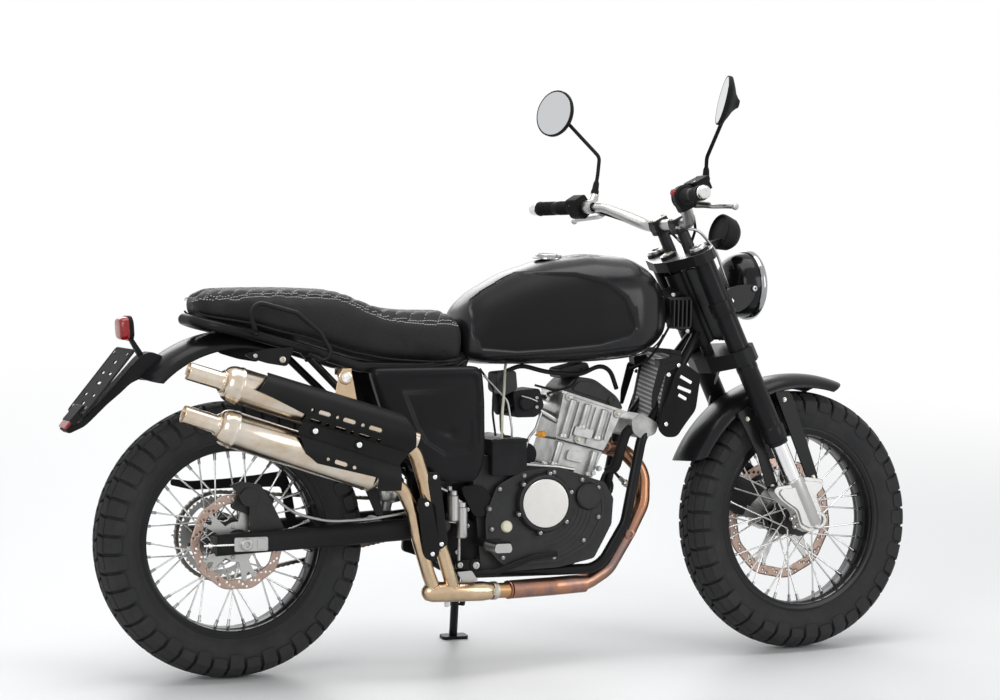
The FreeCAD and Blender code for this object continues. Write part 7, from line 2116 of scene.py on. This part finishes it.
foot = {
    "pedal": [(558, 230), (622, 229), (673, 248), (715, 262), (770, 268)], "side": 114.0,
    "hanger": [(516, 256), (534, 236), (560, 236), (612, 296), (606, 330), (560, 356), (536, 424), (516, 430),
               (508, 300)],
    "pivotCover": [(534, 434), (592, 434), (617, 400), (630, 365), (571, 357), (546, 403)],
}


def addFoot(size):
    # pegs with ribbed rubbers, the pedal arm, the master cylinder with its rod, and the gear lever on the left
    black, bright, rubber = Shape(), Shape(), Shape()
    plates = roundPlate(size["hanger"], 12, -76, -68)
    plates.roundPlate(size["pivotCover"], 16, -104, -96)
    plates.turned([(0, 14), (26, 13)], (580, -72, 396), (0, -1, 0), 24)
    left = roundPlate(size["hanger"], 12, 68, 76)
    black.join(plates).join(left)
    for side in (-1, 1):
        black.turned([(0, 10), (90, 10), (96, 13), (104, 13)], (588, side * 66, 300), (0, side, 0), 28)
        bright.roundPlate([(570, 288), (606, 288), (610, 296), (606, 309), (570, 309), (566, 296)], 4,
                          *sorted((side * 168, side * 243)))
        for index in range(8):
            y = side * (174 + index * 9)
            rubber.roundPlate([(568, 308), (608, 308), (606, 315), (570, 315)], 2, *sorted((y - 2.6, y + 2.6)))
        bright.capBolt((588, side * 76, 328), (0, side, 0), 6, 5).capBolt((536, side * 76, 276), (0, side, 0), 6, 5)
    y = size["side"]
    line = resampled(roundedPath([(x, -y - 14 * max(0, x - 622) / 148, z) for x, z in size["pedal"]], 30, 4), 4.0)
    thick = np.interp(np.linspace(0, 1, len(line)), [0, 0.5, 0.85, 1], [1.0, 0.9, 0.8, 0.9])
    black.carried(line, ring(8.0, 18) * [0.7, 1.0], scale=thick, up=(0, 0, 1))
    black.turned([(0, 14), (14, 14), (16, 11), (50, 11)], (566, -y - 8, 248), (0, 1, 0), 32)
    bright.capBolt((566, -y - 8, 248), (0, -1, 0), 8.5, 4).capBolt((527, -y - 5, 250), (0, -1, 0), 7, 4)
    black.roundPlate([(518, 240), (536, 240), (572, 232), (572, 262), (536, 260), (518, 260)], 6, -y - 4, -y + 4)
    bright.roundPlate([(520, 234), (556, 236), (572, 212), (534, 208)], 3, -122, -118)
    for radius, x, low, high in ((13.0, 513, 352, 424), (14.0, 534, 312, 396)):
        shell = turned([(0, radius - 3), (3, radius), (high - low - 12, radius), (high - low - 10, radius - 3),
                        (high - low, radius - 3.5)], (x, -112, low), (0, 0, 1), 32)
        bright.join(shell)
    bright.roundPlate([(500, 372), (548, 360), (548, 344), (500, 350)], 4, -110, -96)
    bright.roundPlate([(504, 420), (540, 396), (540, 380), (504, 396)], 4, -110, -96)
    bright.turned([(0, 3.6), (62, 3.6)], (527, -112, 250), (0.02, 0, 1), 14)
    for x, z in ((551, 378), (551, 340)):
        bright.capBolt((x, -104, z), (0, -1, 0), 5, 4)
    bright.hexBolt((504, -112, 426), (0, 0, 1), 12, 9)
    gear = resampled(roundedPath([(575, 112, 300), (575, 126, 300), (640, 132, 292), (700, 136, 290)], 8, 3), 3.0)
    bright.carried(gear, ring(5.0, 14), up=(0, 0, 1))
    rubber.turned([(0, 8), (2, 9), (30, 9), (32, 8)], (700, 132, 290), (0, 1, 0), 24)
    build("footBlack", black, "armBlack", replaces=["foot_controls"], sharp=32, bevel=1.0)
    build("footBright", bright, "satinAlloy", sharp=32, bevel=0.7)
    build("pegRubbers", rubber, "plainRubber", sharp=32, bevel=0.6)


def addStandSpring():
    # a helix beside the stand's leg, between its two hooks
    pivot, end = np.array([608.0, 112.0, 232.0]), np.array([650.0, 250.0, 28.0])
    leg = end - pivot
    axis = np.cross(leg, [-0.99, 0.08, 0.06])
    aside = np.cross(leg, axis) / np.linalg.norm(np.cross(leg, axis))
    if aside[0] > 0:
        aside = -aside
    a, b = pivot + leg * 0.13 + aside * 19, pivot + leg * 0.55 + aside * 19
    t = np.linspace(0, 1, 420)
    turn = t * 26 * 2 * math.pi
    path = np.stack([7.6 * np.cos(turn), 7.6 * np.sin(turn), t * np.linalg.norm(b - a)], 1)
    coil = aimed(carried(path, ring(1.5, 6)), a, b - a)
    build("standSpring", coil, "chrome", body="stand", sharp=50)


# brackets under the seat

def addRearBrackets():
    # plates under the seat's tail and their bolts, the same on both sides
    black, bright = Shape(), Shape()
    under = roundedOutline([(5, 752), (14, 744), (60, 730), (107, 722), (125, 766), (60, 764)], 9)
    black.plate(under, -114, -108)
    strap = roundedOutline([(261, 486), (296, 494), (326, 382), (309, 376)], 8)
    black.plate(strap, -152, -146)
    black.mirrored()
    bright.capBolt((95, -114, 738), (0, -1, 0), 7.5, 4).capBolt((30, -114, 748), (0, -1, 0), 5, 3.5)
    bright.mirrored()
    build("seatBrackets", black, "frameBlack", sharp=32, bevel=1.0)
    build("bracketBolts", bright, "zinc", sharp=35)


addTail(tail)
addCooler(cooler)
addFittings(fittings)
addFoot(foot)
addStandSpring()
addRearBrackets()
print("small parts ready")
